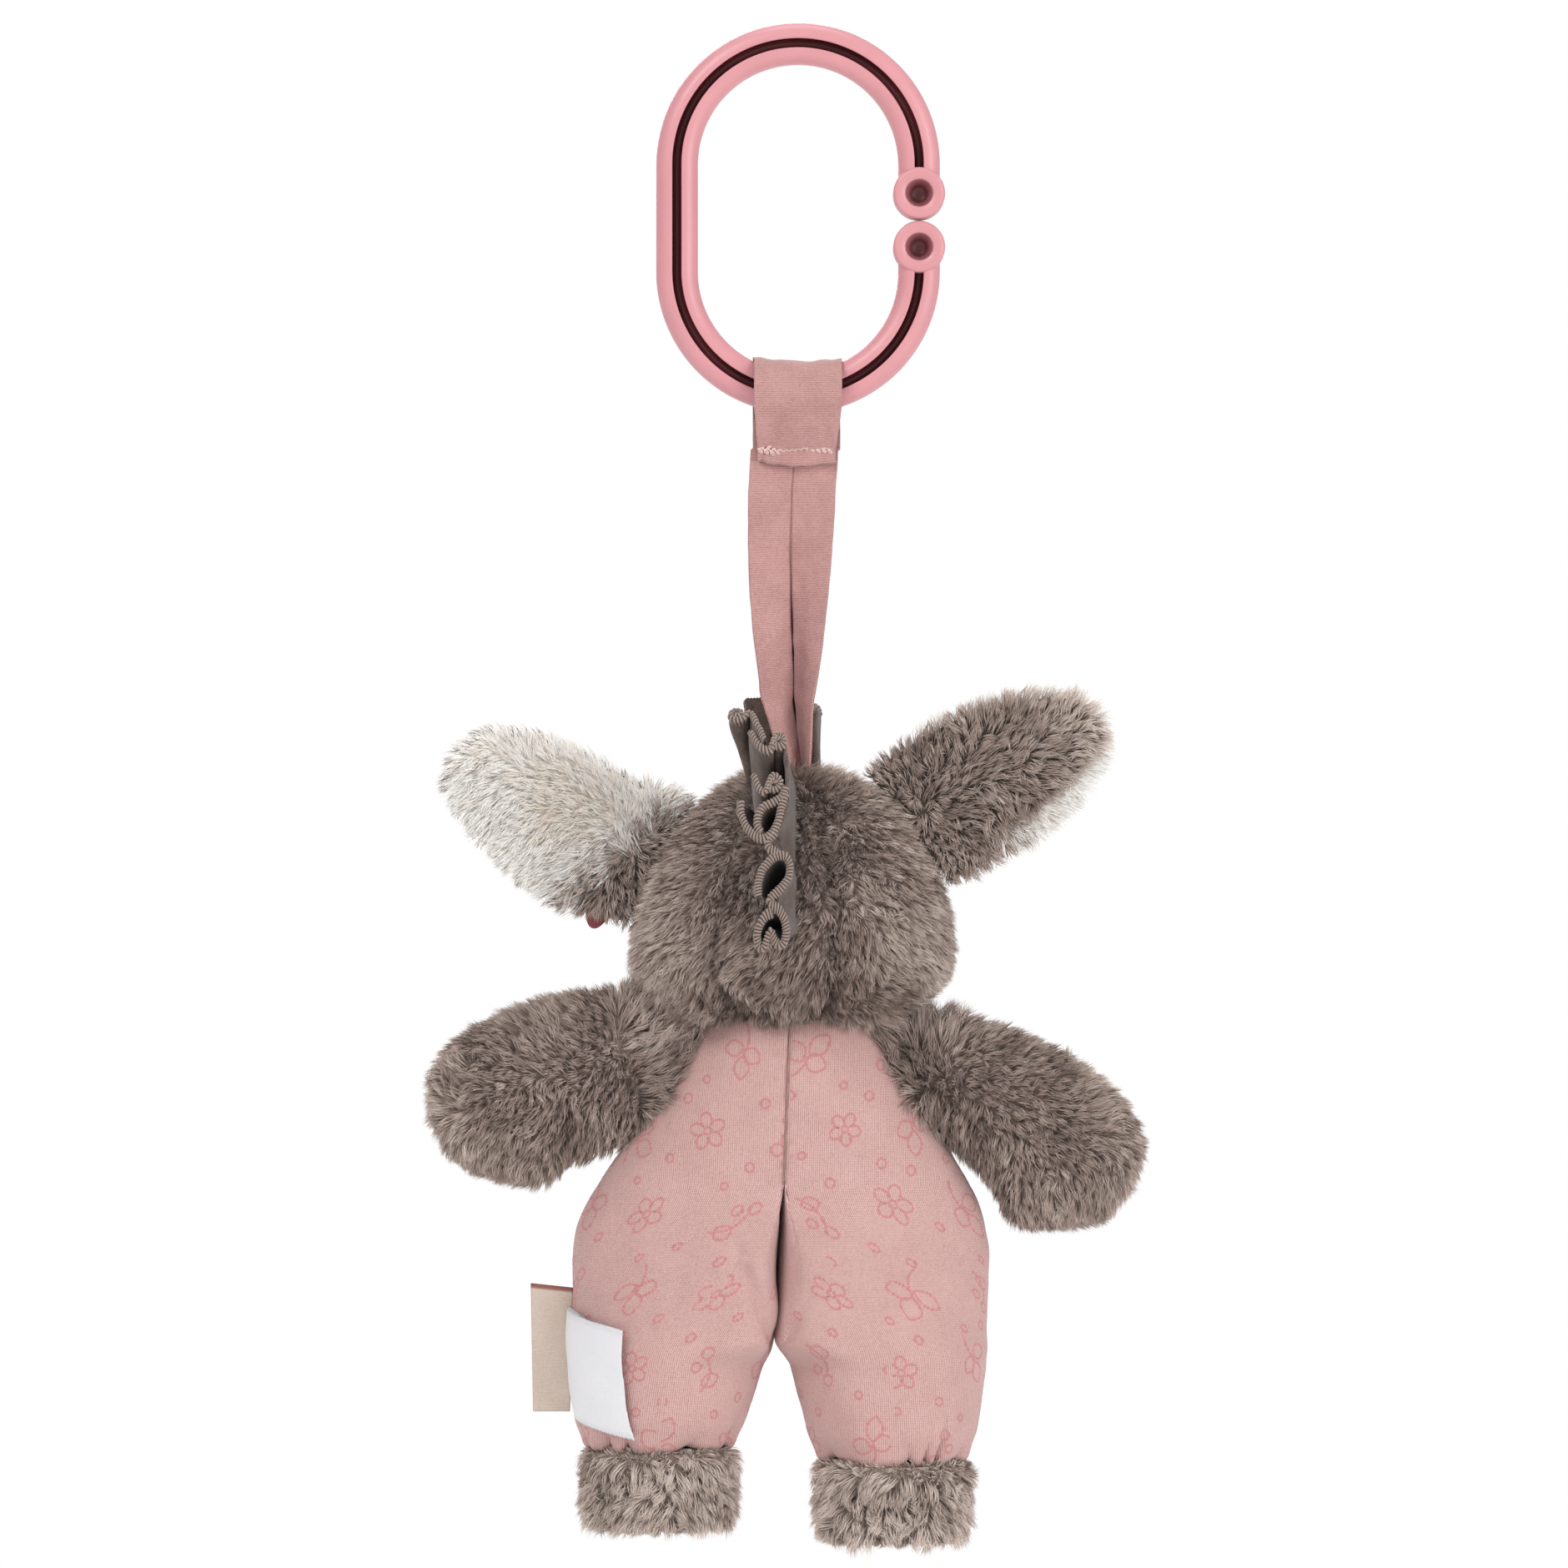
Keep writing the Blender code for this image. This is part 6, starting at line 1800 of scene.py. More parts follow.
@dataclass
class ClipRing:
    """The C-shaped ring: a bar with a groove in its back, and a boss with a blind hole at each end."""

    radius: float = 26.825 * MM
    upper_arc_z: float = -22.2 * MM
    lower_arc_z: float = -45.9 * MM
    gap_z: float = -34.6 * MM
    bar_width: float = 9.25 * MM
    bar_depth: float = 7.6 * MM
    edge_radius: float = 3.2 * MM
    groove_width: float = 2.0 * MM
    groove_depth: float = 4.2 * MM
    lip: float = 0.28 * MM
    boss_radius: float = 5.75 * MM
    boss_depth: float = 8.6 * MM
    boss_edge: float = 0.9 * MM
    spring_gap: float = 0.4 * MM
    hole_radius: float = 3.05 * MM
    floor_radius: float = 1.7 * MM
    hole_depth: float = 5.4 * MM
    bar_end: float = 5.0 * MM

    def route(self) -> np.ndarray:
        """X and Z of the bar's centre line, from the upper boss over the top to the lower one.

        Returns:
            The line's points.
        """
        turn = np.linspace(0, np.pi, 240)
        over = np.stack([-self.radius * np.cos(turn), self.upper_arc_z + self.radius * np.sin(turn)], -1)
        under = np.stack([self.radius * np.cos(turn), self.lower_arc_z - self.radius * np.sin(turn)], -1)
        offset = self.boss_radius + self.spring_gap / 2
        start, end = (-self.radius, self.gap_z + offset), (-self.radius, self.gap_z - offset)
        return np.vstack([start, over, under, end])

    def section(self) -> np.ndarray:
        """The bar's section: side, depth, and how far each point is inside the groove, which sets its painted
        shade.

        Returns:
            A row of the three values for each point.
        """
        half, deep, r = self.bar_width / 2, self.bar_depth / 2, self.edge_radius
        points = []
        for quarter, (side, depth) in enumerate(((1, 1), (-1, 1), (-1, -1), (1, -1))):
            for turn in np.radians(90 * quarter + np.linspace(0, 90, 11)):
                x, y = side * (half - r) + r * math.cos(turn), depth * (deep - r) + r * math.sin(turn)
                points.append((x, y, 0))
            if quarter:
                continue
            floor, edge = deep - self.groove_depth, self.groove_width / 2
            bends = np.radians(np.linspace(90, 180, 6))
            x = edge + self.lip + self.lip * np.cos(bends)
            y = deep - self.lip + self.lip * np.sin(bends)
            down = list(zip(x, y, smooth_step(0, 0.7 * MM, deep - y)))
            down += [(edge, y, 1) for y in np.linspace(deep - 0.9 * MM, floor, 5)]
            points += down + [(0.0, floor, 1)] + [(-x, y, s) for x, y, s in down[::-1]]
        return np.array(points, float)

    def bar(self) -> tuple[Skin, np.ndarray]:
        """The bar's surface, hollowed at its ends where the bosses stand, and the painted shade of its
        groove.

        Returns:
            The skin and its values.
        """
        route, section = self.route(), self.section()
        length = run_length(route)
        start = np.sqrt(self.bar_end**2 - np.minimum(np.abs(section[:, 0]), self.bar_end * 0.95) ** 2)
        places = start + (length[-1] - 2 * start) * np.linspace(0, 1, 300)[:, None]
        x, z = (np.interp(places, length, route[:, k]) for k in (0, 1))
        core = np.clip(z, self.lower_arc_z, self.upper_arc_z)
        aside = unit(np.stack([x, np.zeros_like(x), z - core], -1))
        rings = np.stack([x, np.zeros_like(x), z], -1) + aside * section[:, :1]
        rings = rings + Y_AXIS * section[:, 1:2]
        return outward_skin(rings), np.tile(section[:, 2], len(places))

    def boss(self, z: float) -> tuple[Skin, np.ndarray]:
        """A boss's surface, turned about its own line, and the painted shade of its hole.

        Args:
            z: Height of the boss's middle.

        Returns:
            The skin and its values.
        """
        half, edge = self.boss_depth / 2, self.boss_edge
        floor = half - self.hole_depth
        # The third value of each row is the painted shade in the hole.
        profile = [(0.3 * MM, floor, 0.8), (self.floor_radius - 0.2 * MM, floor, 0.8)]
        profile += [(self.floor_radius, floor + 0.2 * MM, 0.75)]
        profile += [(self.hole_radius - 0.1 * MM, half - 0.6 * MM, 0.45)]
        profile += [(self.hole_radius, half - 0.2 * MM, 0.2), (self.hole_radius + 0.2 * MM, half, 0.0)]
        for turns, middle in (((90, 0), half - edge), ((0, -90), edge - half)):
            for turn in np.radians(np.linspace(*turns, 9)):
                reach = self.boss_radius - edge + edge * math.cos(turn)
                profile.append((reach, middle + edge * math.sin(turn), 0.0))
        rows = np.array(profile)
        made = turned_skin(rows[:, :2], (-self.radius, 0.0, z))
        return made, np.append(np.repeat(rows[:, 2], 72), (0.8, 0.0))

    def build(self) -> None:
        """Builds the bar and both bosses."""
        plastic = RingPlastic().material()
        skin, deep = self.bar()
        bar = skin_object("ring_bar", skin, plastic, {"deep": with_poles(deep)})
        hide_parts("ring_clip")
        ride(bar, "ring_clip")
        offset = self.boss_radius + self.spring_gap / 2
        for word, z in (("upper", self.gap_z + offset), ("lower", self.gap_z - offset)):
            skin, deep = self.boss(z)
            boss = skin_object(f"{word}_boss", skin, plastic, {"deep": deep})
            ride(boss, "ring_clip")


# Strap


@dataclass(frozen=True)
class WovenFinish:
    """Woven cloth with fine ribs across it, read from its own coordinates."""

    name: str
    fair: Triple
    deep: Triple
    seam: Triple
    rib: float = 0.40 * MM
    warp: float = 0.27 * MM
    roughness: float = 0.85
    sheen: float = 0.2
    relief: float = 0.08 * MM

    def material(self) -> Material:
        """Builds the finish, which reads the piece's length, width and seam mark: a real seam or edge on some
        pieces, painted shade on the strap and the flower.

        Returns:
            The material.
        """
        nodes = Nodes(self.name)
        ribs = nodes.wave("cloth_down", self.rib)
        warps = nodes.sum("MULTIPLY", nodes.wave("cloth_across", self.warp), ribs)
        fuzz, cloudy = nodes.noise(0.6 * MM, 3.0), nodes.noise(8 * MM, 2.0)
        height = nodes.weighted((ribs, 0.30), (warps, 0.16), plus=0.5)
        level = nodes.weighted((height, 0.5), (fuzz, 0.4), (cloudy, 0.3))
        cloth = nodes.ramp(level, [(0.3, linear(*self.deep)), (0.9, linear(*self.fair))])
        # The seam mark is painted shade on the strap and the flower, and a real seam or edge on the labels.
        nodes.colour(nodes.mix(nodes.attribute("seam"), cloth, linear(*self.seam)))
        nodes.set(Roughness=self.roughness, Sheen_Weight=self.sheen, Sheen_Roughness=0.5)
        nodes.set(Specular_IOR_Level=0.25)
        nodes.relief(nodes.weighted((fuzz, 0.4), plus=height), self.relief, 0.8)
        return nodes.material


@dataclass
class Strap:
    """Pressed cotton tube: round the ring, stitched down, then folding open towards the head."""

    width: float = 19.4 * MM
    thickness: float = 0.62 * MM
    loop_radius: float = 7.5 * MM
    hem_edge: float = 15.5 * MM
    hem_seam: float = 12.8 * MM
    hem_turn: float = 2.4 * MM
    ply_step: float = 0.95 * MM
    length: float = 83.1 * MM
    root_clearance: float = -0.9 * MM
    fold_angle: float = 73.0
    fold_power: float = 1.25
    slant: float = 0.23
    hem_taper: float = 0.11
    sag: float = 0.7 * MM
    drifts: tuple = (
        (12.8, 0.8), (22.0, 1.35), (36.0, 1.75), (52.0, 2.1), (68.0, 2.2), (78.0, 1.0), (83.1, 0.4),
    )
    thread: Triple = (0.97, 0.85, 0.83)
    thread_radius: float = 0.21 * MM

    def tangent(self, place: tuple[float, float], side: int) -> float:
        """Angle round the bar at which a line from this place touches the loop."""
        distance = math.hypot(*place)
        return math.atan2(place[1], place[0]) + side * math.acos(self.loop_radius / distance)

    def loop(self) -> np.ndarray:
        """Y, height from the bar, and share of the way up the near ply, from the turned end to the seam.

        Returns:
            A row of the three values for each step of the way.
        """
        turn_radius = self.ply_step / 2
        rows = [(self.ply_step, -self.hem_edge + self.hem_turn, 0.0)]
        for turn in np.pi * (1 + np.linspace(0, 1, 10)):
            y = self.ply_step + turn_radius + turn_radius * math.cos(turn)
            rows.append((y, -self.hem_edge + turn_radius + turn_radius * math.sin(turn), 0.0))
        near, far = (2 * self.ply_step, -self.hem_seam), (0.0, -self.hem_seam)
        start, end = self.tangent(near, 1), self.tangent(far, -1) + 2 * math.pi
        first = (self.loop_radius * math.cos(start), self.loop_radius * math.sin(start))
        for share in np.linspace(0, 1, 24):
            bow = 0.35 * MM * math.sin(math.pi * share)
            y = near[0] + (first[0] - near[0]) * share + bow
            rows.append((y, near[1] + (first[1] - near[1]) * share, share))
        for turn in np.linspace(start, end, 60)[1:]:
            rows.append((self.loop_radius * math.cos(turn), self.loop_radius * math.sin(turn), 1.0))
        last = (self.loop_radius * math.cos(end), self.loop_radius * math.sin(end))
        for share in np.linspace(0, 1, 20)[1:-1]:
            rows.append((last[0] + (far[0] - last[0]) * share, last[1] + (far[1] - last[1]) * share, 1.0))
        return np.array(rows)

    def grid(self, across: np.ndarray, noise: SoftNoise) -> tuple[np.ndarray, np.ndarray]:
        """The tape's middle surface, and where painted shade darkens its middle seam and its right wing.

        Args:
            across: Places across the tape, from -1 to 1.
            noise: Noise for its creases.

        Returns:
            The grid of points, and the strength of the painted shade at each.
        """
        half, rows, seam_and_wing_shade = self.width / 2, [], []
        places, shifts = np.array(self.drifts).T * MM
        for y, rise, near in self.loop():
            ply = 1 - self.hem_taper * (1 - near)
            shift = 0.3 * MM * (1 - near)
            x = across * half * ply + shift + np.interp(-rise, places, shifts) * 0.4 * (y < 0)
            top = smooth_step(0, self.loop_radius, rise)
            low = smooth_step(-self.hem_seam, -self.hem_edge, rise) * (y > 0.5 * self.ply_step)
            z = RING_BAR_Z + rise - self.sag * (1 - across**2) * top - 0.8 * MM * (0.7 - across**2) * low
            y = y + 0.35 * MM * bump(rise + self.hem_edge - 1.2 * MM, 1.0 * MM) * (y > 1.5 * self.ply_step)
            rows.append(np.stack([x, np.full_like(x, y), np.broadcast_to(z, x.shape)], -1))
            seam_and_wing_shade.append(np.zeros_like(across))
        for share in np.linspace(0, 1, 130):
            fold = math.radians(self.fold_angle) * share**self.fold_power
            lobes = np.abs(across) ** (1 - 0.42 * smooth_step(0.15, 0.6, share))
            y = (lobes - 0.5) * half * math.sin(fold)
            end_drop = self.length - self.root_clearance - np.abs(y) * self.slant
            drop = self.hem_seam + (end_drop - self.hem_seam) * share
            valley = -1.3 * MM * smooth_step(0.25, 0.75, share) * (1 - np.abs(across)) ** 1.2
            x = across * half * math.cos(fold) + valley + np.interp(drop, places, shifts)
            rows.append(np.stack([x, y, RING_BAR_Z - drop], -1))
            # Painted shade: the middle seam's slit darkens, widening downwards, and the right wing's inner
            # face darkens too.
            width = (0.16 + 0.3 * smooth_step(0.1, 0.5, share)) * MM
            strength = (0.5 + 0.45 * smooth_step(0.25, 0.6, share)) * bump(across * half, width)
            shade = 0.3 * smooth_step(0.3, 0.75, share) * bump(across + 0.33, 0.26)
            seam_and_wing_shade.append(np.maximum(strength, shade) * smooth_step(0.0, 0.03, share))
        grid, seam = np.array(rows), np.array(seam_and_wing_shade)
        out = unit(np.cross(np.gradient(grid, axis=0), np.gradient(grid, axis=1)))
        crease = 0.42 * MM * noise.rough(grid * (1.6, 1.0, 0.8), 5 * MM)
        crease = crease + 0.12 * MM * noise.at(grid, 2.2 * MM)
        near = (grid[..., 1] > self.ply_step) & (grid[..., 2] < RING_BAR_Z - 1 * MM)
        slant = (grid[..., 0] - 4.5 * MM) + 0.42 * (grid[..., 2] - RING_BAR_Z + 7 * MM)
        crease = crease - 0.45 * MM * bump(slant, 1.1 * MM) * near
        return grid + out * crease[..., None], seam

    def stitching(self, finish: Material) -> Piece:
        """The uneven zigzag of thread that holds the turned end down.

        Args:
            finish: The thread's finish.

        Returns:
            The piece.
        """
        t = np.linspace(0, 1, 900)
        x = (t - 0.5) * self.width * 0.86 + 0.35 * MM
        sway = 0.3 + 0.7 * smooth_step(0.1, 0.3, np.abs(t - 0.52))
        beat = 2 * np.pi * t * 13
        x = x + 0.55 * MM * sway * np.sin(2 * beat + 0.6)
        z = 1.05 * MM * sway * np.arcsin(np.sin(beat)) / 1.57 + 0.35 * MM * np.sin(7 * t)
        z = RING_BAR_Z - self.hem_seam + 0.2 * MM + z
        y = 2 * self.ply_step + self.thickness / 2 + 0.16 * MM + 0.07 * MM * np.cos(2 * beat)
        skin = tube_skin(np.stack([x, y, z], -1), self.thread_radius)
        return skin_object("strap_stitching", skin, finish, self.plain(len(skin.points)))

    def plain(self, count: int) -> dict[str, np.ndarray]:
        """Cloth coordinates for thread, along which only the ribs run."""
        down, none = np.arange(count) * 0.05 * MM, np.zeros(count)
        return {"cloth_down": down, "cloth_across": none, "seam": none}

    def build(self, noise: SoftNoise) -> None:
        """Builds the tape and its stitches.

        Args:
            noise: Noise for its creases.
        """
        across = np.linspace(-1, 1, 97)
        grid, seam = self.grid(across, noise)
        skin = sheet_skin(grid, self.thickness, 0.45 * MM * seam)
        run = run_length(grid[:, len(across) // 2])
        values = {
            "cloth_down": both_faces(np.broadcast_to(run[:, None], seam.shape)),
            "cloth_across": both_faces(np.broadcast_to(across * self.width / 2, seam.shape)),
            "seam": both_faces(seam),
        }
        # The cotton's seam colour is the painted shade in the seam's slit and on the right wing.
        cotton = WovenFinish("pink_cotton", (0.80, 0.625, 0.61), (0.57, 0.41, 0.395), (0.36, 0.18, 0.18))
        tape = skin_object("strap_tape", skin, cotton.material(), values)
        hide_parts("strap")
        thread = WovenFinish("strap_thread", self.thread, (0.86, 0.70, 0.68), self.thread, rib=0.5 * MM)
        stitching = self.stitching(thread.material())
        for piece in (tape, stitching):
            ride(piece, "strap")


# Face, flower and labels


@dataclass(frozen=True)
class SatinStitch:
    """Embroidery thread laid side by side, with a soft shine."""

    name: str
    fair: Triple
    deep: Triple
    strand: float = 0.34 * MM

    def material(self) -> Material:
        """Builds the finish, which reads the way across the threads.

        Returns:
            The material.
        """
        nodes = Nodes(self.name)
        threads, blotches = nodes.wave("cloth_across", self.strand), nodes.noise(0.7 * MM)
        level = nodes.weighted((threads, 0.35), (blotches, 0.2), plus=0.4)
        nodes.colour(nodes.ramp(level, [(0.2, linear(*self.deep)), (0.85, linear(*self.fair))]))
        nodes.set(Roughness=0.42, Specular_IOR_Level=0.5, Sheen_Weight=0.1)
        nodes.relief(level, 0.08 * MM, 0.9)
        return nodes.material


@dataclass
class Face:
    """A round plush muzzle, with eyes and nostrils in satin stitch."""

    width: float = 38 * MM
    length: float = 42 * MM
    height: float = 29 * MM
    rise: float = 15.5 * MM
    reach: float = 20 * MM
    inset: float = 2.1 * MM
    nostril_spacing: float = 11.5 * MM
    nostril_rise: float = 19.5 * MM
    nostril_size: tuple = (4.2 * MM, 1.1 * MM, 3.0 * MM)
    eye_size: tuple = (5.4 * MM, 1.3 * MM, 6.6 * MM)

    def centre(self, head: Head) -> np.ndarray:
        """The middle of the muzzle's ball."""
        return head.sections(np.array([self.rise / head.height])).centre[0] - Y_AXIS * self.reach

    def muzzle(self, head: Head, plush: Plush) -> None:
        """Builds the muzzle and grows its plush.

        Args:
            head: The head it is sewn on.
            plush: Grows the strands.
        """
        centre = self.centre(head)
        turn = np.pi * eased(90, 0.6)
        profile = np.stack([np.sin(turn), -np.cos(turn)], -1)[1:-1]
        ball = turned_skin(profile, (0.0, 0.0, 0.0), 130)
        sizes = np.array((self.width, self.length, self.height)) / 2 - self.inset
        skin = Skin(ball.rings * sizes + centre)
        skin.quads, skin.fans = ball.quads, ball.fans
        skin.push(0.5 * MM * plush.noise.rough(skin.points, 9 * MM))
        cut = head.sections(np.clip((skin.points[:, 2] - NECK_Z) / head.height, 0, 1))
        inside = ((skin.points[:, 0] - cut.centre[:, 0]) / cut.half_width) ** 2
        inside += ((skin.points[:, 1] - TOY_Y) / cut.front) ** 2
        weight = smooth_step(0.85, 1.0, inside) * (skin.points[:, 1] < TOY_Y)
        hide = skin_object("muzzle_backing", skin, CREAM_PLUSH.hide())
        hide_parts("muzzle")
        ride(hide, "head")
        flow = unit(skin.points - centre) * (1.0, 0.2, 1.0) + 0.5 * Y_AXIS - 0.3 * Z_AXIS
        flow = flow + 0.4 * plush.noise.vectors(skin.points, 9 * MM)
        height = 0.55 + 0.3 * smooth_step(-1.0, -0.4, (skin.points[:, 1] - centre[1]) / self.length * 2)
        for side in (-1, 1):
            aside, up = side * self.nostril_spacing / 2, self.nostril_rise - self.rise
            apart = (skin.points - centre)[:, [0, 2]] - (aside, up)
            height *= 0.3 + 0.7 * smooth_step(2.5 * MM, 5.5 * MM, np.linalg.norm(apart, axis=1))
        tone = 0.1 * plush.noise.rough(skin.points, 7 * MM)
        cream = CREAM_PLUSH.strands()
        pile = plush.grow("muzzle_plush", skin, flow, MUZZLE_PILE, cream, tone, height, weight)
        ride(pile, "head")

    def patch(
        self, name: str, middle: np.ndarray, sizes: tuple, curve: tuple, finish: Material
    ) -> Piece:
        """A raised oval of thread laid on a curved front.

        Args:
            name: Name of the piece.
            middle: Where its middle lies.
            sizes: Its width, relief and height.
            curve: How fast the cloth behind falls back sideways and upwards.
            finish: Its thread.

        Returns:
            The piece.
        """
        reach = np.sin(np.linspace(0.03, np.pi / 2, 16))
        turn = full_turn(96)
        x = reach[:, None] * np.cos(turn) * sizes[0] / 2
        z = reach[:, None] * np.sin(turn) * sizes[2] / 2
        ridge = 0.05 * MM * np.cos(2 * np.pi * x / (0.34 * MM)) * (reach[:, None] < 0.98)
        y = -sizes[1] * np.sqrt(1 - reach[:, None] ** 2 * 0.96) - ridge + curve[0] * x**2 + curve[1] * z**2
        rings = np.stack([x, y, z], -1)
        rings = np.concatenate([rings, rings[-1:] * (0.9, 1.0, 0.9) + (0.0, 1.6 * MM, 0.0)])
        values = {"cloth_across": with_poles(rings[..., 0])}
        return skin_object(name, outward_skin(rings + middle), finish, values)

    def build(self, head: Head, plush: Plush) -> None:
        """Builds the muzzle, the eyes and the nostrils.

        Args:
            head: The head they are sewn on.
            plush: Grows the muzzle's strands.
        """
        self.muzzle(head, plush)
        dark = SatinStitch("dark_thread", (0.20, 0.16, 0.15), (0.05, 0.04, 0.04)).material()
        brown = SatinStitch("brown_thread", (0.42, 0.29, 0.25), (0.20, 0.12, 0.10)).material()
        centre = self.centre(head)
        half = np.array((self.width, self.length, self.height)) / 2
        for side in Side:
            eye = head.front_at(side.value * head.eye_spacing / 2, head.eye_rise) + Y_AXIS * 0.3 * MM
            name = f"{side.word}_eye"
            made = self.patch(f"{name}_stitch", eye, self.eye_size, (18.0, 12.0), dark)
            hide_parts(name)
            ride(made, "head")
            out, up = side.value * self.nostril_spacing / 2, self.nostril_rise - self.rise
            depth = half[1] * math.sqrt(1 - (out / half[0]) ** 2 - (up / half[2]) ** 2)
            name = f"{side.word}_nostril"
            place = centre + np.array((out, -depth, up)) + Y_AXIS * 0.2 * MM
            made = self.patch(f"{name}_stitch", place, self.nostril_size, (30.0, 40.0), brown)
            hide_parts(name)
            ride(made, "head")


@dataclass
class Flower:
    """A flower cut from two layers of felt, with a button in it, by the left ear's root."""

    out: float = 4.0 * MM
    down: float = 13.5 * MM
    stand: float = 3.97 * MM
    radius: float = 7.0 * MM
    wave: float = 0.16
    thickness: float = 1.8 * MM
    gap: float = 0.3 * MM
    button_radius: float = 2.2 * MM
    button_height: float = 1.6 * MM
    button_profile: tuple = (
        (0.1, -0.75), (0.45, -0.75), (0.55, -0.95), (0.8, -1.0), (0.95, -0.85), (1.0, -0.55), (0.95, -0.1),
        (0.5, 0.0), (0.1, 0.0),
    )

    def layer(self, name: str, middle: np.ndarray, size: float, turned: float, finish: Material) -> Piece:
        """One layer of five petals that cup forward.

        Args:
            name: Name of the piece.
            middle: Its middle.
            size: Its radius.
            turned: How far it is turned, in radians.
            finish: Its felt.

        Returns:
            The piece.
        """
        turn = full_turn(150)
        reach = np.concatenate([np.linspace(0.05, 1, 22), np.linspace(1, 0.05, 22)])[:, None]
        face = np.concatenate([np.full(22, -1.0), np.full(22, 1.0)])[:, None]
        crease = np.cos(5 * (turn + turned))
        outline = size * (1 - self.wave + self.wave * crease)
        y = -self.thickness * 0.55 * reach**2 + 0.18 * MM * crease * reach + face * 0.32 * MM
        x, z = reach * outline * np.cos(turn), reach * outline * np.sin(turn)
        rings = np.stack([x, y, z], -1) + middle
        # Painted shade darkens the petals towards the middle and goes in the seam mark.
        shade = np.append(np.broadcast_to(1 - reach, x.shape).ravel(), (1.0, 1.0))
        values = {"seam": shade * 0.5, "cloth_down": shade * 0, "cloth_across": shade * 0}
        return skin_object(name, outward_skin(rings), finish, values)

    def build(self, limb: StuffedLimb) -> None:
        """Builds both layers and the button.

        Args:
            limb: The ear that it is sewn to.
        """
        axis = limb.axis
        middle = np.array(limb.middle) * MM + axis * self.out + np.array((axis[2], 0.0, -axis[0])) * self.down
        middle = middle - Y_AXIS * (self.stand + 0.4 * MM)
        # The felt's seam colour is the painted shade in the flower's middle.
        felt = WovenFinish(
            "rose_felt", (0.64, 0.36, 0.38), (0.48, 0.22, 0.25), (0.36, 0.14, 0.17),
            rib=0.9 * MM, relief=0.14 * MM,
        ).material()
        under = self.layer("flower_petals", middle, self.radius, 0.0, felt)
        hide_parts("ear_flower")
        upper = self.layer("flower_inner_petals", middle - Y_AXIS * 0.7 * MM, self.radius * 0.66, 0.63, felt)
        half = self.button_radius
        rows = np.array([(r * half, d * self.button_height) for r, d in self.button_profile])
        skin = turned_skin(rows, tuple(middle - Y_AXIS * (self.thickness - 0.4 * MM + self.gap)), 48)
        cream = RingPlastic((0.86, 0.81, 0.75), (0.6, 0.5, 0.45)).material()
        button = skin_object("petal_button", skin, cream, {"deep": np.zeros(len(skin.points))})
        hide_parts("flower_button")
        for piece in (under, upper):
            ride(piece, "left_ear")
        ride(button, "left_ear")


@dataclass
class SideLabel:
    """A folded woven tape that stands out of the left side seam, bare of any words."""

    top: Triple = (50.79, 0.4, -271.2)
    bottom: Triple = (51.45, 0.4, -298.6)
    reach: float = 8.3 * MM
    fold: float = 0.45 * MM
    thickness: float = 0.4 * MM

    def build(self, noise: SoftNoise) -> None:
        """Builds the label.

        Args:
            noise: Noise for its waviness.
        """
        top, bottom = np.array(self.top) * MM, np.array(self.bottom) * MM
        edge = top[0] + self.reach
        rows, count = [], 22
        for share in np.linspace(0, 1, 70):
            inner = top + (bottom - top) * share
            tip = edge - self.fold - 0.5 * MM * share
            start = inner[0] - 0.9 * MM
            flat = np.stack([np.linspace(start, tip, count), np.full(count, self.fold)], -1)
            bend = np.pi * (0.5 - np.linspace(0, 1, 14)[1:-1])
            turn = np.stack([tip + self.fold * np.cos(bend), self.fold * np.sin(bend)], -1)
            back = flat[::-1] * (1, -1)
            run = np.vstack([flat, turn, back])
            z = inner[2] + 0.9 * MM * (run[:, 0] - start) / self.reach * (1 - share)
            rows.append(np.stack([run[:, 0], TOY_Y + run[:, 1], z], -1))
        grid = np.array(rows)
        lean = 0.25 * MM * noise.at(grid * (1, 0, 1), 9 * MM) * smooth_step(top[0], edge, grid[..., 0])
        grid[..., 1] += lean
        skin = sheet_skin(grid, self.thickness)
        across = run_length(grid[0])
        down = np.linspace(0, 1, 70)[:, None] * np.linalg.norm(bottom - top)
        selvedge = 0.85 * smooth_step(1.1 * MM, 0.7 * MM, down + 0 * across)
        values = {
            "cloth_down": both_faces(down + 0 * across),
            "cloth_across": both_faces(across + 0 * down),
            "seam": both_faces(selvedge),
        }
        weave = WovenFinish(
            "cream_weave", (0.85, 0.79, 0.74), (0.72, 0.64, 0.59), (0.50, 0.20, 0.20), rib=0.3 * MM, sheen=0.1
        )
        label = skin_object("woven_label", skin, weave.material(), values)
        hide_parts("side_label")
        ride(label, "side_label")


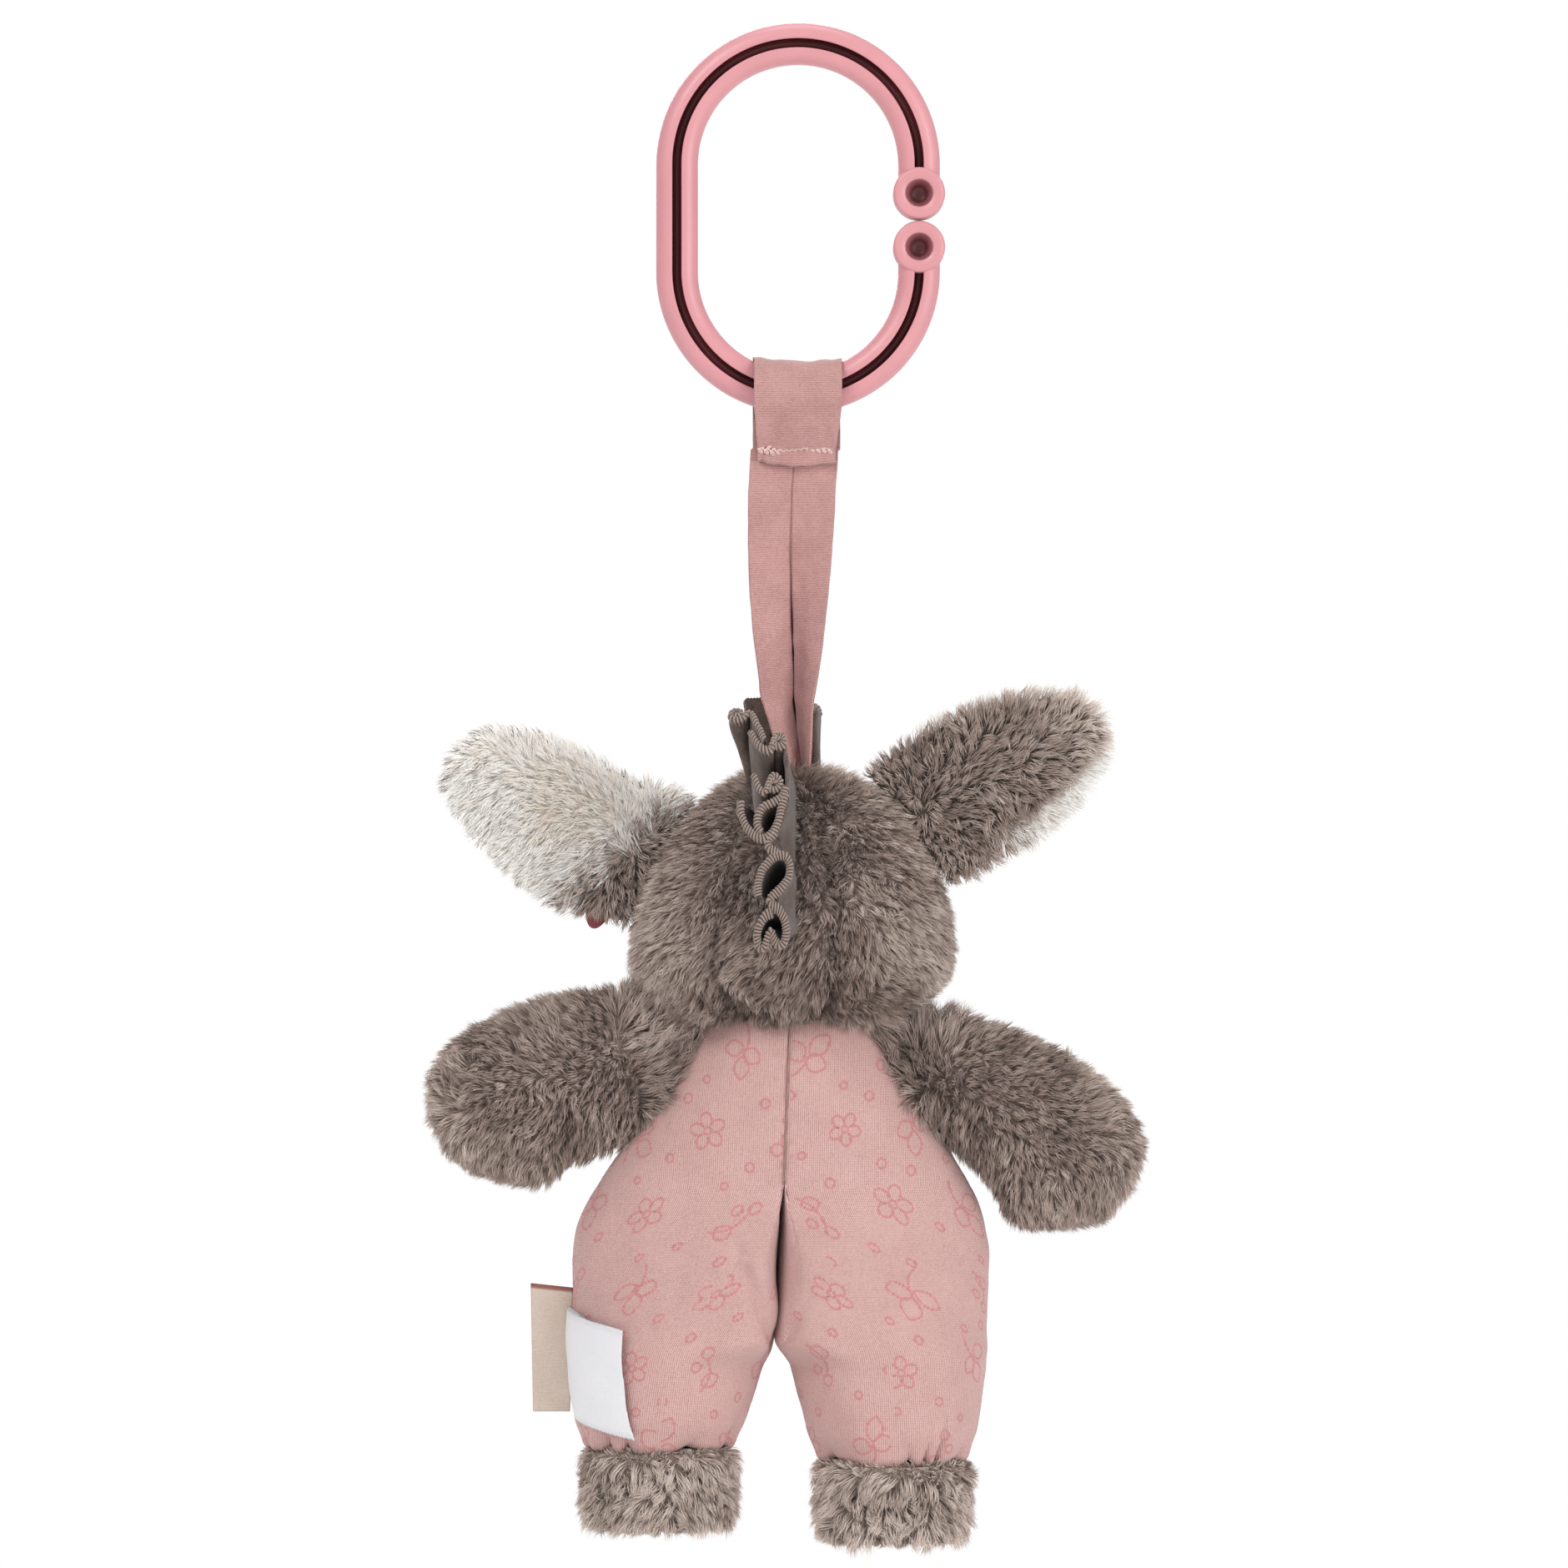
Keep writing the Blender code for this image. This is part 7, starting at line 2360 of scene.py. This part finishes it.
@dataclass
class CareLabel:
    """A satin label with pinked edges that lies round the back of the left leg, bare of any words."""

    length: float = 22.5 * MM
    height: float = 23.6 * MM
    cloth: tuple = (24.0 * MM, 25.2 * MM)
    drop: float = 5.0 * MM
    slope: float = 4.2 * MM
    stand: float = 1.5 * MM
    first_y: float = 1.5 * MM
    thickness: float = 0.35 * MM
    tooth: float = 0.3 * MM

    def build(self, overalls: Overalls, noise: SoftNoise) -> None:
        """Builds the label.

        Args:
            overalls: The overalls that it hangs on.
            noise: Noise for its waviness.
        """
        columns, rows = 97, 70
        share = np.linspace(0, 1, columns)
        grid = np.zeros((rows, columns, 3))
        trace = np.linspace(0, np.pi / 2, 400)
        for i, down in enumerate(np.linspace(0, 1, rows)):
            z = HIP_Z - self.drop - self.slope * share - self.height * down
            middle = np.array([float(z.mean())])
            _, _, wide, deep, _, centre = overalls.outlines(Side.LEFT, middle)
            x = centre[0] + (wide[0] + self.stand) * np.cos(trace)
            y = (deep[0] + self.stand) * np.sin(trace) ** (1 + overalls.leg_pinch)
            keep = y >= self.first_y
            line = np.stack([x[keep], y[keep]], -1)
            run = run_length(line)
            spot = np.stack([np.interp(share * self.length, run, line[:, k]) for k in (0, 1)], -1)
            spot[:, 0] -= 1.1 * MM * smooth_step(0.16, 0.0, share)
            spot[:, 1] += 0.9 * MM * share**3
            grid[i] = np.stack([spot[:, 0], spot[:, 1], z], -1)
        saw = np.abs((share * 20) % 1 - 0.5) * 2 * self.tooth
        edge = np.linspace(0, 1, rows)[:, None]
        grid[..., 2] += saw * (smooth_step(0.04, 0, edge) - smooth_step(0.96, 1, edge))
        grid[..., 1] += 0.35 * MM * noise.at(grid, 9 * MM) * share
        skin = sheet_skin(grid, self.thickness)
        down = edge * self.height + 0 * share
        frayed = 0.25 * (smooth_step(0.05, 0.03, edge) + smooth_step(0.95, 0.97, edge)) + 0 * share
        values = {
            "cloth_down": both_faces(down),
            "cloth_across": both_faces(share * self.length + 0 * down),
            "seam": both_faces(frayed),
        }
        satin = WovenFinish(
            "white_satin", (0.90, 0.895, 0.905), (0.83, 0.825, 0.84), (0.74, 0.73, 0.75),
            rib=0.22 * MM, roughness=0.45, sheen=0.05, relief=0.02 * MM,
        )
        label = skin_object("satin_label", skin, satin.material(), values)
        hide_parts("care_label")
        ride(label, "care_label")


# Mane

# Free edges of the mane's strips as seen from behind: X and Z in millimetres
UPPER_TAIL = (
    (6.1, -152.6), (8.0, -151.9), (9.2, -150.0), (10.2, -148.2),
)
LOWER_TAIL = (
    (7.8, -161.7), (9.2, -160.0), (10.0, -157.6),
)
TALL_TAIL = (
    (10.0, -144.1), (8.9, -146.0), (8.0, -148.2), (7.2, -150.2),
)
TONGUE = (
    (3.0, -160.2), (3.7, -162.4), (5.7, -163.5), (7.8, -164.3), (8.9, -166.1), (9.1, -168.3),
    (8.3, -169.8),
)
HEART = (
    (12.6, -163.2), (12.6, -165.8), (11.5, -168.5), (9.2, -170.8), (7.4, -171.3), (5.7, -169.8),
    (4.6, -167.2), (4.1, -164.7), (3.0, -161.7),
)
NECK_JOIN = (
    (5.2, -169.8), (6.7, -171.5), (6.7, -173.3), (4.6, -174.6),
)
LOOPS = (
    (8.9, -184.3), (8.9, -180.9), (8.0, -178.0), (6.3, -175.8), (4.6, -174.8), (2.8, -175.2),
    (1.9, -177.2), (2.2, -179.8), (3.7, -182.0), (5.5, -183.7), (6.7, -185.2), (5.9, -186.1),
    (4.3, -186.8), (3.0, -188.9), (2.6, -191.5), (3.0, -193.9), (4.3, -194.8), (5.2, -193.5),
    (6.1, -191.3), (6.8, -193.1), (7.6, -195.2), (8.7, -194.8), (9.1, -192.4), (8.5, -189.8),
    (7.4, -188.1), (5.7, -187.4),
)
WALL = (
    (3.3, -148.4), (2.8, -152.1), (2.6, -157.6), (3.0, -163.2), (3.9, -167.8), (5.9, -171.1), (5.5, -173.2),
    (2.4, -176.1), (2.0, -179.8), (4.6, -183.3), (4.8, -185.9), (2.8, -190.0), (2.8, -193.9),
)
FAR_ROLL = (
    (11.6, -141.6), (10.4, -140.2), (9.0, -140.6), (8.2, -139.9), (6.8, -140.0), (5.6, -141.2),
    (4.6, -143.0),
)
RIGHT_ROLL = (
    (-1.7, -143.2), (-3.0, -142.3), (-4.4, -142.3), (-5.2, -143.6), (-4.3, -145.0), (-2.8, -144.7),
)


@dataclass(frozen=True)
class SuedeFinish:
    """Short suede-like fleece with a thicker overlock thread on its edges."""

    dark: Triple = (0.25, 0.20, 0.175)
    fair: Triple = (0.43, 0.37, 0.34)
    thread: Triple = (0.58, 0.515, 0.48)

    def material(self) -> Material:
        """Builds the finish, which reads where the thread is and where painted shade goes.

        Returns:
            The material.
        """
        nodes = Nodes("taupe_suede")
        nap = nodes.noise(0.35 * MM, 4.0)
        cloudy = nodes.noise(3.5 * MM, 2.0)
        level = nodes.weighted((nap, 0.5), (cloudy, 0.5))
        cloth = nodes.ramp(level, [(0.3, linear(*self.dark)), (0.7, linear(*self.fair))])
        ribs = nodes.attribute("rib")
        strand = nodes.ramp(ribs, [(0.0, linear(*self.dark)), (0.75, linear(*self.thread))])
        both = nodes.mix(nodes.attribute("thread"), cloth, strand)
        # Painted shade: the deep mark darkens the inside of the loops nearly to black.
        nodes.colour(nodes.mix(nodes.attribute("deep"), both, (0.006, 0.004, 0.004)))
        nodes.set(Roughness=0.85, Sheen_Weight=0.25, Sheen_Roughness=0.45, Specular_IOR_Level=0.2)
        nodes.relief(nap, 0.15 * MM, 0.7)
        return nodes.material


@dataclass
class FrilledStrip:
    """A strip of suede that stands on the head's middle, its free edge overlocked and curled."""

    edge: tuple
    base_x: float = 0.9 * MM
    direction: int = 1
    height: float = 14 * MM
    # Which face takes painted shade inside the loops: 1 or -1 for one face, 2 for both, 0 for none.
    inner: int = 0
    edge_radius: float = 0.9 * MM
    base_share: float = 0.12
    thickness: float = 0.95 * MM
    sewn: float = 1.0
    rib: float = 0.7 * MM
    root: float = -1.6 * MM
    step: float = 0.14 * MM

    def frame(self, head: Head) -> np.ndarray:
        """Distance from the crown, place and outward way of the head's middle: t, y, z, out y, out z.

        Args:
            head: The head the strip stands on.

        Returns:
            A row of the five values for each place.
        """
        route, t = head.midline(self.direction)
        even = np.linspace(0, t[-1], 400)
        line = np.stack([np.interp(even, t, route[:, k]) for k in (0, 1)], -1)
        for _ in range(120):
            line[1:-1] = (line[:-2] + 2 * line[1:-1] + line[2:]) / 4
        run = unit(np.gradient(line, axis=0))
        out = np.stack([-run[:, 1], run[:, 0]], -1) * self.direction
        return np.column_stack([even, line, out])

    def rounded(self, step: float) -> np.ndarray:
        """The free edge as a smooth line with even steps, in metres.

        Args:
            step: Distance between the points.

        Returns:
            The points.
        """
        points = np.array(self.edge) * MM
        for _ in range(2):
            length = run_length(points)
            even = np.linspace(0, length[-1], max(int(length[-1] / step), 12))
            points = np.stack([np.interp(even, length, points[:, k]) for k in (0, 1)], -1)
            for _ in range(int((0.35 * MM / step) ** 2) + 6):
                points[1:-1] = (points[:-2] + 2 * points[1:-1] + points[2:]) / 4
        return points

    def build(self, name: str, head: Head, noise: SoftNoise, finish: Material) -> Piece:
        """Builds the strip.

        Args:
            name: Name of the piece.
            head: The head it stands on.
            noise: Noise for its unevenness.
            finish: Its suede.

        Returns:
            The piece.
        """
        step = self.step * 1
        edge, frame = self.rounded(step), self.frame(head)
        seen = frame[:, 2] + frame[:, 4] * self.height
        top = int(np.argmax(seen))
        place = np.interp(-edge[:, 1], -seen[top:], frame[top:, 0])
        heading = unit(np.gradient(np.stack([edge[:, 0], place], -1), axis=0))
        aside = np.stack([heading[:, 1], -heading[:, 0]], -1)
        base = self.smoothed(place, int(11 * MM / step))
        body = np.linspace(0, 1, 11)[:-1]
        bend = np.radians(np.linspace(-90, 270, 14)[1:-1])
        profile = [(h, 1.0, None) for h in body] + [(1.0, 0.0, a) for a in bend]
        profile += [(h, -1.0, None) for h in body[::-1]]
        wave = 2 * np.pi * np.arange(len(edge)) * step / self.rib
        rings, threads, ribs, painted_shades = [], [], [], []
        for h, face, turn in profile:
            share = self.base_share + (1 - self.base_share) * smooth_step(0, 1, h)
            x = self.base_x + (edge[:, 0] - self.base_x) * share
            t = base + (place - base) * share
            rise = self.root + (self.height - self.root) * h + 0 * t
            ridge, offset = np.zeros(len(t)), face * self.thickness / 2 + 0 * t
            if turn is not None:
                ridge = 0.5 + 0.5 * np.cos(wave + 1.4 * turn)
                radius = self.edge_radius * (0.7 + 0.3 * ridge)
                offset, rise = radius * math.cos(turn), rise + radius * math.sin(turn)
            x, t = x + aside[:, 0] * offset, t + aside[:, 1] * offset
            y, z, out_y, out_z = (np.interp(t, frame[:, 0], frame[:, k]) for k in (1, 2, 3, 4))
            rings.append(np.stack([x, y + out_y * rise, z + out_z * rise], -1))
            # Painted shade on the loops' inner face, fading out near the free edge.
            dark = smooth_step(0.95, 0.7, h) * (self.inner == 2 or (self.inner == face and face != 0))
            threads.append(np.full(len(t), self.sewn * (turn is not None)))
            ribs.append(ridge)
            painted_shades.append(np.full(len(t), float(dark)))
        rings = np.stack(rings, 1)
        soft = 0.25 * MM * noise.vectors(rings, 5 * MM) + 0.5 * MM * noise.vectors(rings, 12 * MM)
        skin = outward_skin(rings + soft)
        values = {
            key: with_poles(np.stack(rows, 1))
            for key, rows in (("thread", threads), ("rib", ribs), ("deep", painted_shades))
        }
        return skin_object(name, skin, finish, values)

    def smoothed(self, run: np.ndarray, count: int) -> np.ndarray:
        """The strip's run with its turns averaged out, as its stitched base has it.

        Args:
            run: Place of each point of the edge.
            count: Points on each side to average.

        Returns:
            Place of each point of the base.
        """
        padded = np.concatenate([np.full(count, run[0]), run, np.full(count, run[-1])])
        total = np.concatenate([[0.0], np.cumsum(padded)])
        window = 2 * count + 1
        return (total[window:] - total[:-window])[: len(run)] / window


@dataclass
class Mane:
    """Frilled suede strips down the middle of the head, and rolled tufts at its top."""

    front_rise: float = 19.4

    def curl(self, centre: tuple, radius: float, turns: float, end: float, squash: float = 1.0) -> tuple:
        """A spiral from its heart outward, in millimetres, that ends at this angle.

        Args:
            centre: Its heart.
            radius: Its outer radius.
            turns: How many turns it has.
            end: Angle of its outer end, in degrees.
            squash: Its height as a share of its width.

        Returns:
            The points.
        """
        t = np.linspace(0, 1, int(14 * turns))
        angle = np.radians(end) + 2 * np.pi * turns * (1 - t)
        reach = radius * (0.24 + 0.76 * t)
        return tuple(zip(centre[0] + reach * np.cos(angle), centre[1] + squash * reach * np.sin(angle)))

    def strips(self) -> dict[str, FrilledStrip]:
        """All the strips by name.

        Returns:
            Each strip under the name of its piece.
        """
        front = tuple((1.6 - x, z + self.front_rise) for x, z in LOOPS)
        thin = 0.74 * MM
        return {
            "mane_curl_upper": FrilledStrip(
                self.curl((4.3, -150.3), 1.75, 1.3, 90) + UPPER_TAIL, 5.0 * MM,
                edge_radius=thin, base_share=0.85,
            ),
            "mane_curl_lower": FrilledStrip(
                self.curl((5.8, -159.5), 2.0, 1.35, 90) + LOWER_TAIL, 5.0 * MM,
                edge_radius=thin, base_share=0.8,
            ),
            "mane_wall": FrilledStrip(
                WALL, 0.8 * MM, height=13.2 * MM, base_share=0.0, edge_radius=0.5 * MM, sewn=0.0
            ),
            "mane_tongue": FrilledStrip(TONGUE, inner=2),
            "mane_heart": FrilledStrip(HEART, inner=-1),
            "mane_join": FrilledStrip(NECK_JOIN),
            "mane_back_frill": FrilledStrip(LOOPS, inner=1),
            "mane_roll_tall": FrilledStrip(
                self.curl((13.2, -144.4), 2.3, 1.6, 150, 0.62) + TALL_TAIL, 9.6 * MM,
                height=14.4 * MM, edge_radius=thin, base_share=0.3,
            ),
            "mane_roll_far": FrilledStrip(
                FAR_ROLL, 7.4 * MM, -1, 15.0 * MM, edge_radius=thin, base_share=0.7, sewn=0.0
            ),
            "mane_roll_right": FrilledStrip(
                RIGHT_ROLL, -3.2 * MM, -1, 13.6 * MM, edge_radius=thin, base_share=0.55
            ),
            "mane_front_frill": FrilledStrip(front, 0.0, -1, 12.5 * MM, inner=-1),
        }

    def build(self, head: Head, noise: SoftNoise) -> None:
        """Builds the strips.

        Args:
            head: The head they stand on.
            noise: Noise for their unevenness.
        """
        suede = SuedeFinish().material()
        for name, strip in self.strips().items():
            piece = strip.build(name, head, noise, suede)
            if name.endswith("_frill"):
                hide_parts(name.removesuffix("_frill"))
            ride(piece, "head")


# Studio


@dataclass
class Studio:
    """White paper floor, soft lamps all round and a long lens behind the toy."""

    floor_z: float = -0.42
    floor_half: float = 3.0
    bare_floor: tuple = (0.09, 0.64)
    camera_place: tuple = (0.0031, 1.8, -0.1595)
    frame_width: float = 0.3478
    sensor: float = 36.0
    clip_end: float = 20.0
    world_strength: float = 0.54
    aim: tuple = (0.0, 0.0, -0.17)
    lights: tuple = (
        ("key", (0.75, 1.15, 0.85), 0.7, 11.5),
        ("fill", (-1.1, 1.0, 0.15), 0.9, 11.0),
        ("top", (0.0, -0.1, 1.3), 0.8, 6.2),
        ("front", (0.3, -1.3, 0.5), 0.9, 9.0),
    )

    def build(self) -> None:
        """Sets up the floor, lamps, world and camera."""
        for part in (self.paper, self.lamps, self.world, self.camera):
            part()

    def paper(self) -> None:
        """A level floor under the toy."""
        ends = (-self.floor_half, self.floor_half)
        points = np.array([(x, y, self.floor_z) for y in ends for x in ends])
        mesh_object("paper_floor", points, [np.array([(0, 1, 3, 2)])], self.paper_finish())

    def paper_finish(self) -> Material:
        """Matt white paper that turns plain white to the camera away from the toy.

        Returns:
            The material.
        """
        nodes = Nodes("white_paper")
        nodes.set(Base_Color=(0.92, 0.92, 0.92, 1.0), Roughness=0.9, Specular_IOR_Level=0.1)
        glow = nodes.add("ShaderNodeEmission")
        glow.inputs["Color"].default_value = WHITE
        blend = nodes.add("ShaderNodeMixShader")
        path = nodes.add("ShaderNodeLightPath")
        seen = nodes.sum("MAXIMUM", path.outputs["Is Camera Ray"], path.outputs["Is Glossy Ray"])
        seen = nodes.sum("MAXIMUM", seen, path.outputs["Is Transmission Ray"])
        place = nodes.add("ShaderNodeSeparateXYZ")
        nodes.link(nodes.add("ShaderNodeNewGeometry").outputs["Position"], place.inputs[0])
        squares = [nodes.sum("MULTIPLY", place.outputs[k], place.outputs[k]) for k in ("X", "Y")]
        away = nodes.add("ShaderNodeMapRange", clamp=True)
        away.inputs["From Min"].default_value, away.inputs["From Max"].default_value = self.bare_floor
        nodes.link(nodes.sum("ADD", *squares), away.inputs["Value"])
        nodes.link(nodes.sum("MULTIPLY", seen, away.outputs[0]), blend.inputs[0])
        nodes.link(nodes.shader.outputs[0], blend.inputs[1])
        nodes.link(glow.outputs[0], blend.inputs[2])
        nodes.link(blend.outputs[0], nodes.tree.nodes["Material Output"].inputs["Surface"])
        return nodes.material

    def lamps(self) -> None:
        """A large key lamp from above the camera's left, and weaker ones round the toy."""
        for name, place, size, power in self.lights:
            lamp = bpy.data.lights.new(name, "AREA")
            lamp.size, lamp.energy = size, power
            made = bpy.data.objects.new(name, lamp)
            made.location = place
            way = Vector(np.array(self.aim) - np.array(place))
            made.rotation_euler = way.to_track_quat("-Z", "Y").to_euler()
            bpy.context.scene.collection.objects.link(made)

    def world(self) -> None:
        """An even pale surround."""
        world = bpy.data.worlds.new("studio")
        world.use_nodes = True
        tree = world.node_tree
        light = tree.nodes["Background"]
        light.inputs["Color"].default_value = WHITE
        light.inputs["Strength"].default_value = self.world_strength
        plain = tree.nodes.new("ShaderNodeBackground")
        plain.inputs["Color"].default_value = WHITE
        blend = tree.nodes.new("ShaderNodeMixShader")
        path = tree.nodes.new("ShaderNodeLightPath")
        tree.links.new(path.outputs["Is Camera Ray"], blend.inputs[0])
        tree.links.new(light.outputs[0], blend.inputs[1])
        tree.links.new(plain.outputs[0], blend.inputs[2])
        tree.links.new(blend.outputs[0], tree.nodes["World Output"].inputs["Surface"])
        bpy.context.scene.world = world
        bpy.context.scene.view_settings.view_transform = "Standard"

    def camera(self) -> None:
        """A long lens straight behind the toy."""
        data = bpy.data.cameras.new("camera")
        data.sensor_width = self.sensor
        data.lens = self.sensor * self.camera_place[1] / self.frame_width
        data.clip_end = self.clip_end
        made = bpy.data.objects.new("camera", data)
        made.location = self.camera_place
        made.rotation_euler = (math.pi / 2, 0.0, math.pi)
        bpy.context.scene.collection.objects.link(made)
        bpy.context.scene.camera = made


def write_sizes() -> None:
    """Defines a helper that gives a box as plain lists; it writes nothing."""

    def plain(box: object) -> list:
        """A box as lists of numbers."""
        return [[float(v) for v in corner] for corner in box]


ARM = StuffedLimb(Side.LEFT, 51.3 * MM, 41.5 * MM, 27 * MM, 5.2 * MM, 0.85, ARM_TABLE)
EAR = StuffedLimb(
    Side.LEFT, 50.3 * MM, 35.9 * MM, 8.8 * MM, 2.3 * MM, 1.0, EAR_TABLE,
    inset=(2.0 * MM, 2.0 * MM, 1.4 * MM), lumps=0.5 * MM,
)
LIMBS = {
    "left_arm": replace(
        ARM, middle=(32.71, 0.4, -226.44), along=(-0.55572, 0, 0.83137), outward=(0.83137, 0, 0.55572),
        angle=-13.3, bow=4.2 * MM, inset=(4.2 * MM, 1.9 * MM, 1.9 * MM),
    ),
    "right_arm": replace(
        ARM, side=Side.RIGHT, middle=(-28.02, 0.4, -226.53), along=(0.51603, 0, 0.85657),
        outward=(-0.85657, 0, 0.51603), angle=-26, bow=0.7 * MM,
    ),
    "left_ear": replace(
        EAR, middle=(32.78, 0.4, -175.88), along=(-0.47043, 0, 0.88244), outward=(0.88244, 0, 0.47043),
        angle=33.5, bow=-4.0 * MM,
    ),
    "right_ear": replace(
        EAR, side=Side.RIGHT, middle=(-26.74, 0.4, -167.86), along=(0.59671, 0, 0.80246),
        outward=(-0.80246, 0, 0.59671), angle=27.5, bow=1.3 * MM, inset=(4.2 * MM, 2.0 * MM, 1.4 * MM),
    ),
}


def main() -> None:
    """Builds the toy's pieces in order, then the studio."""
    logging.basicConfig(level=logging.INFO, format="%(name)s: %(message)s")
    ClipRing().build()
    Strap().build(SoftNoise(7))
    head = Head()
    head.build(Plush(11))
    Face().build(head, Plush(17))
    Arm(LIMBS["left_arm"]).build(Plush(23))
    Arm(LIMBS["right_arm"]).build(Plush(31))
    Ear(LIMBS["left_ear"], cream_back=True).build(Plush(41))
    Ear(LIMBS["right_ear"], cream_back=False).build(Plush(53))
    Foot(Side.LEFT, (30.9, 0.4, -306.4)).build(Plush(61))
    Foot(Side.RIGHT, (-20.8, 0.4, -309.2)).build(Plush(71))
    Flower().build(LIMBS["left_ear"])
    overalls = Overalls()
    overalls.build(SoftNoise(83))
    SideLabel().build(SoftNoise(101))
    CareLabel().build(overalls, SoftNoise(103))
    Mane().build(head, SoftNoise(91))
    Studio().build()
    write_sizes()


if __name__ == "__main__":
    main()
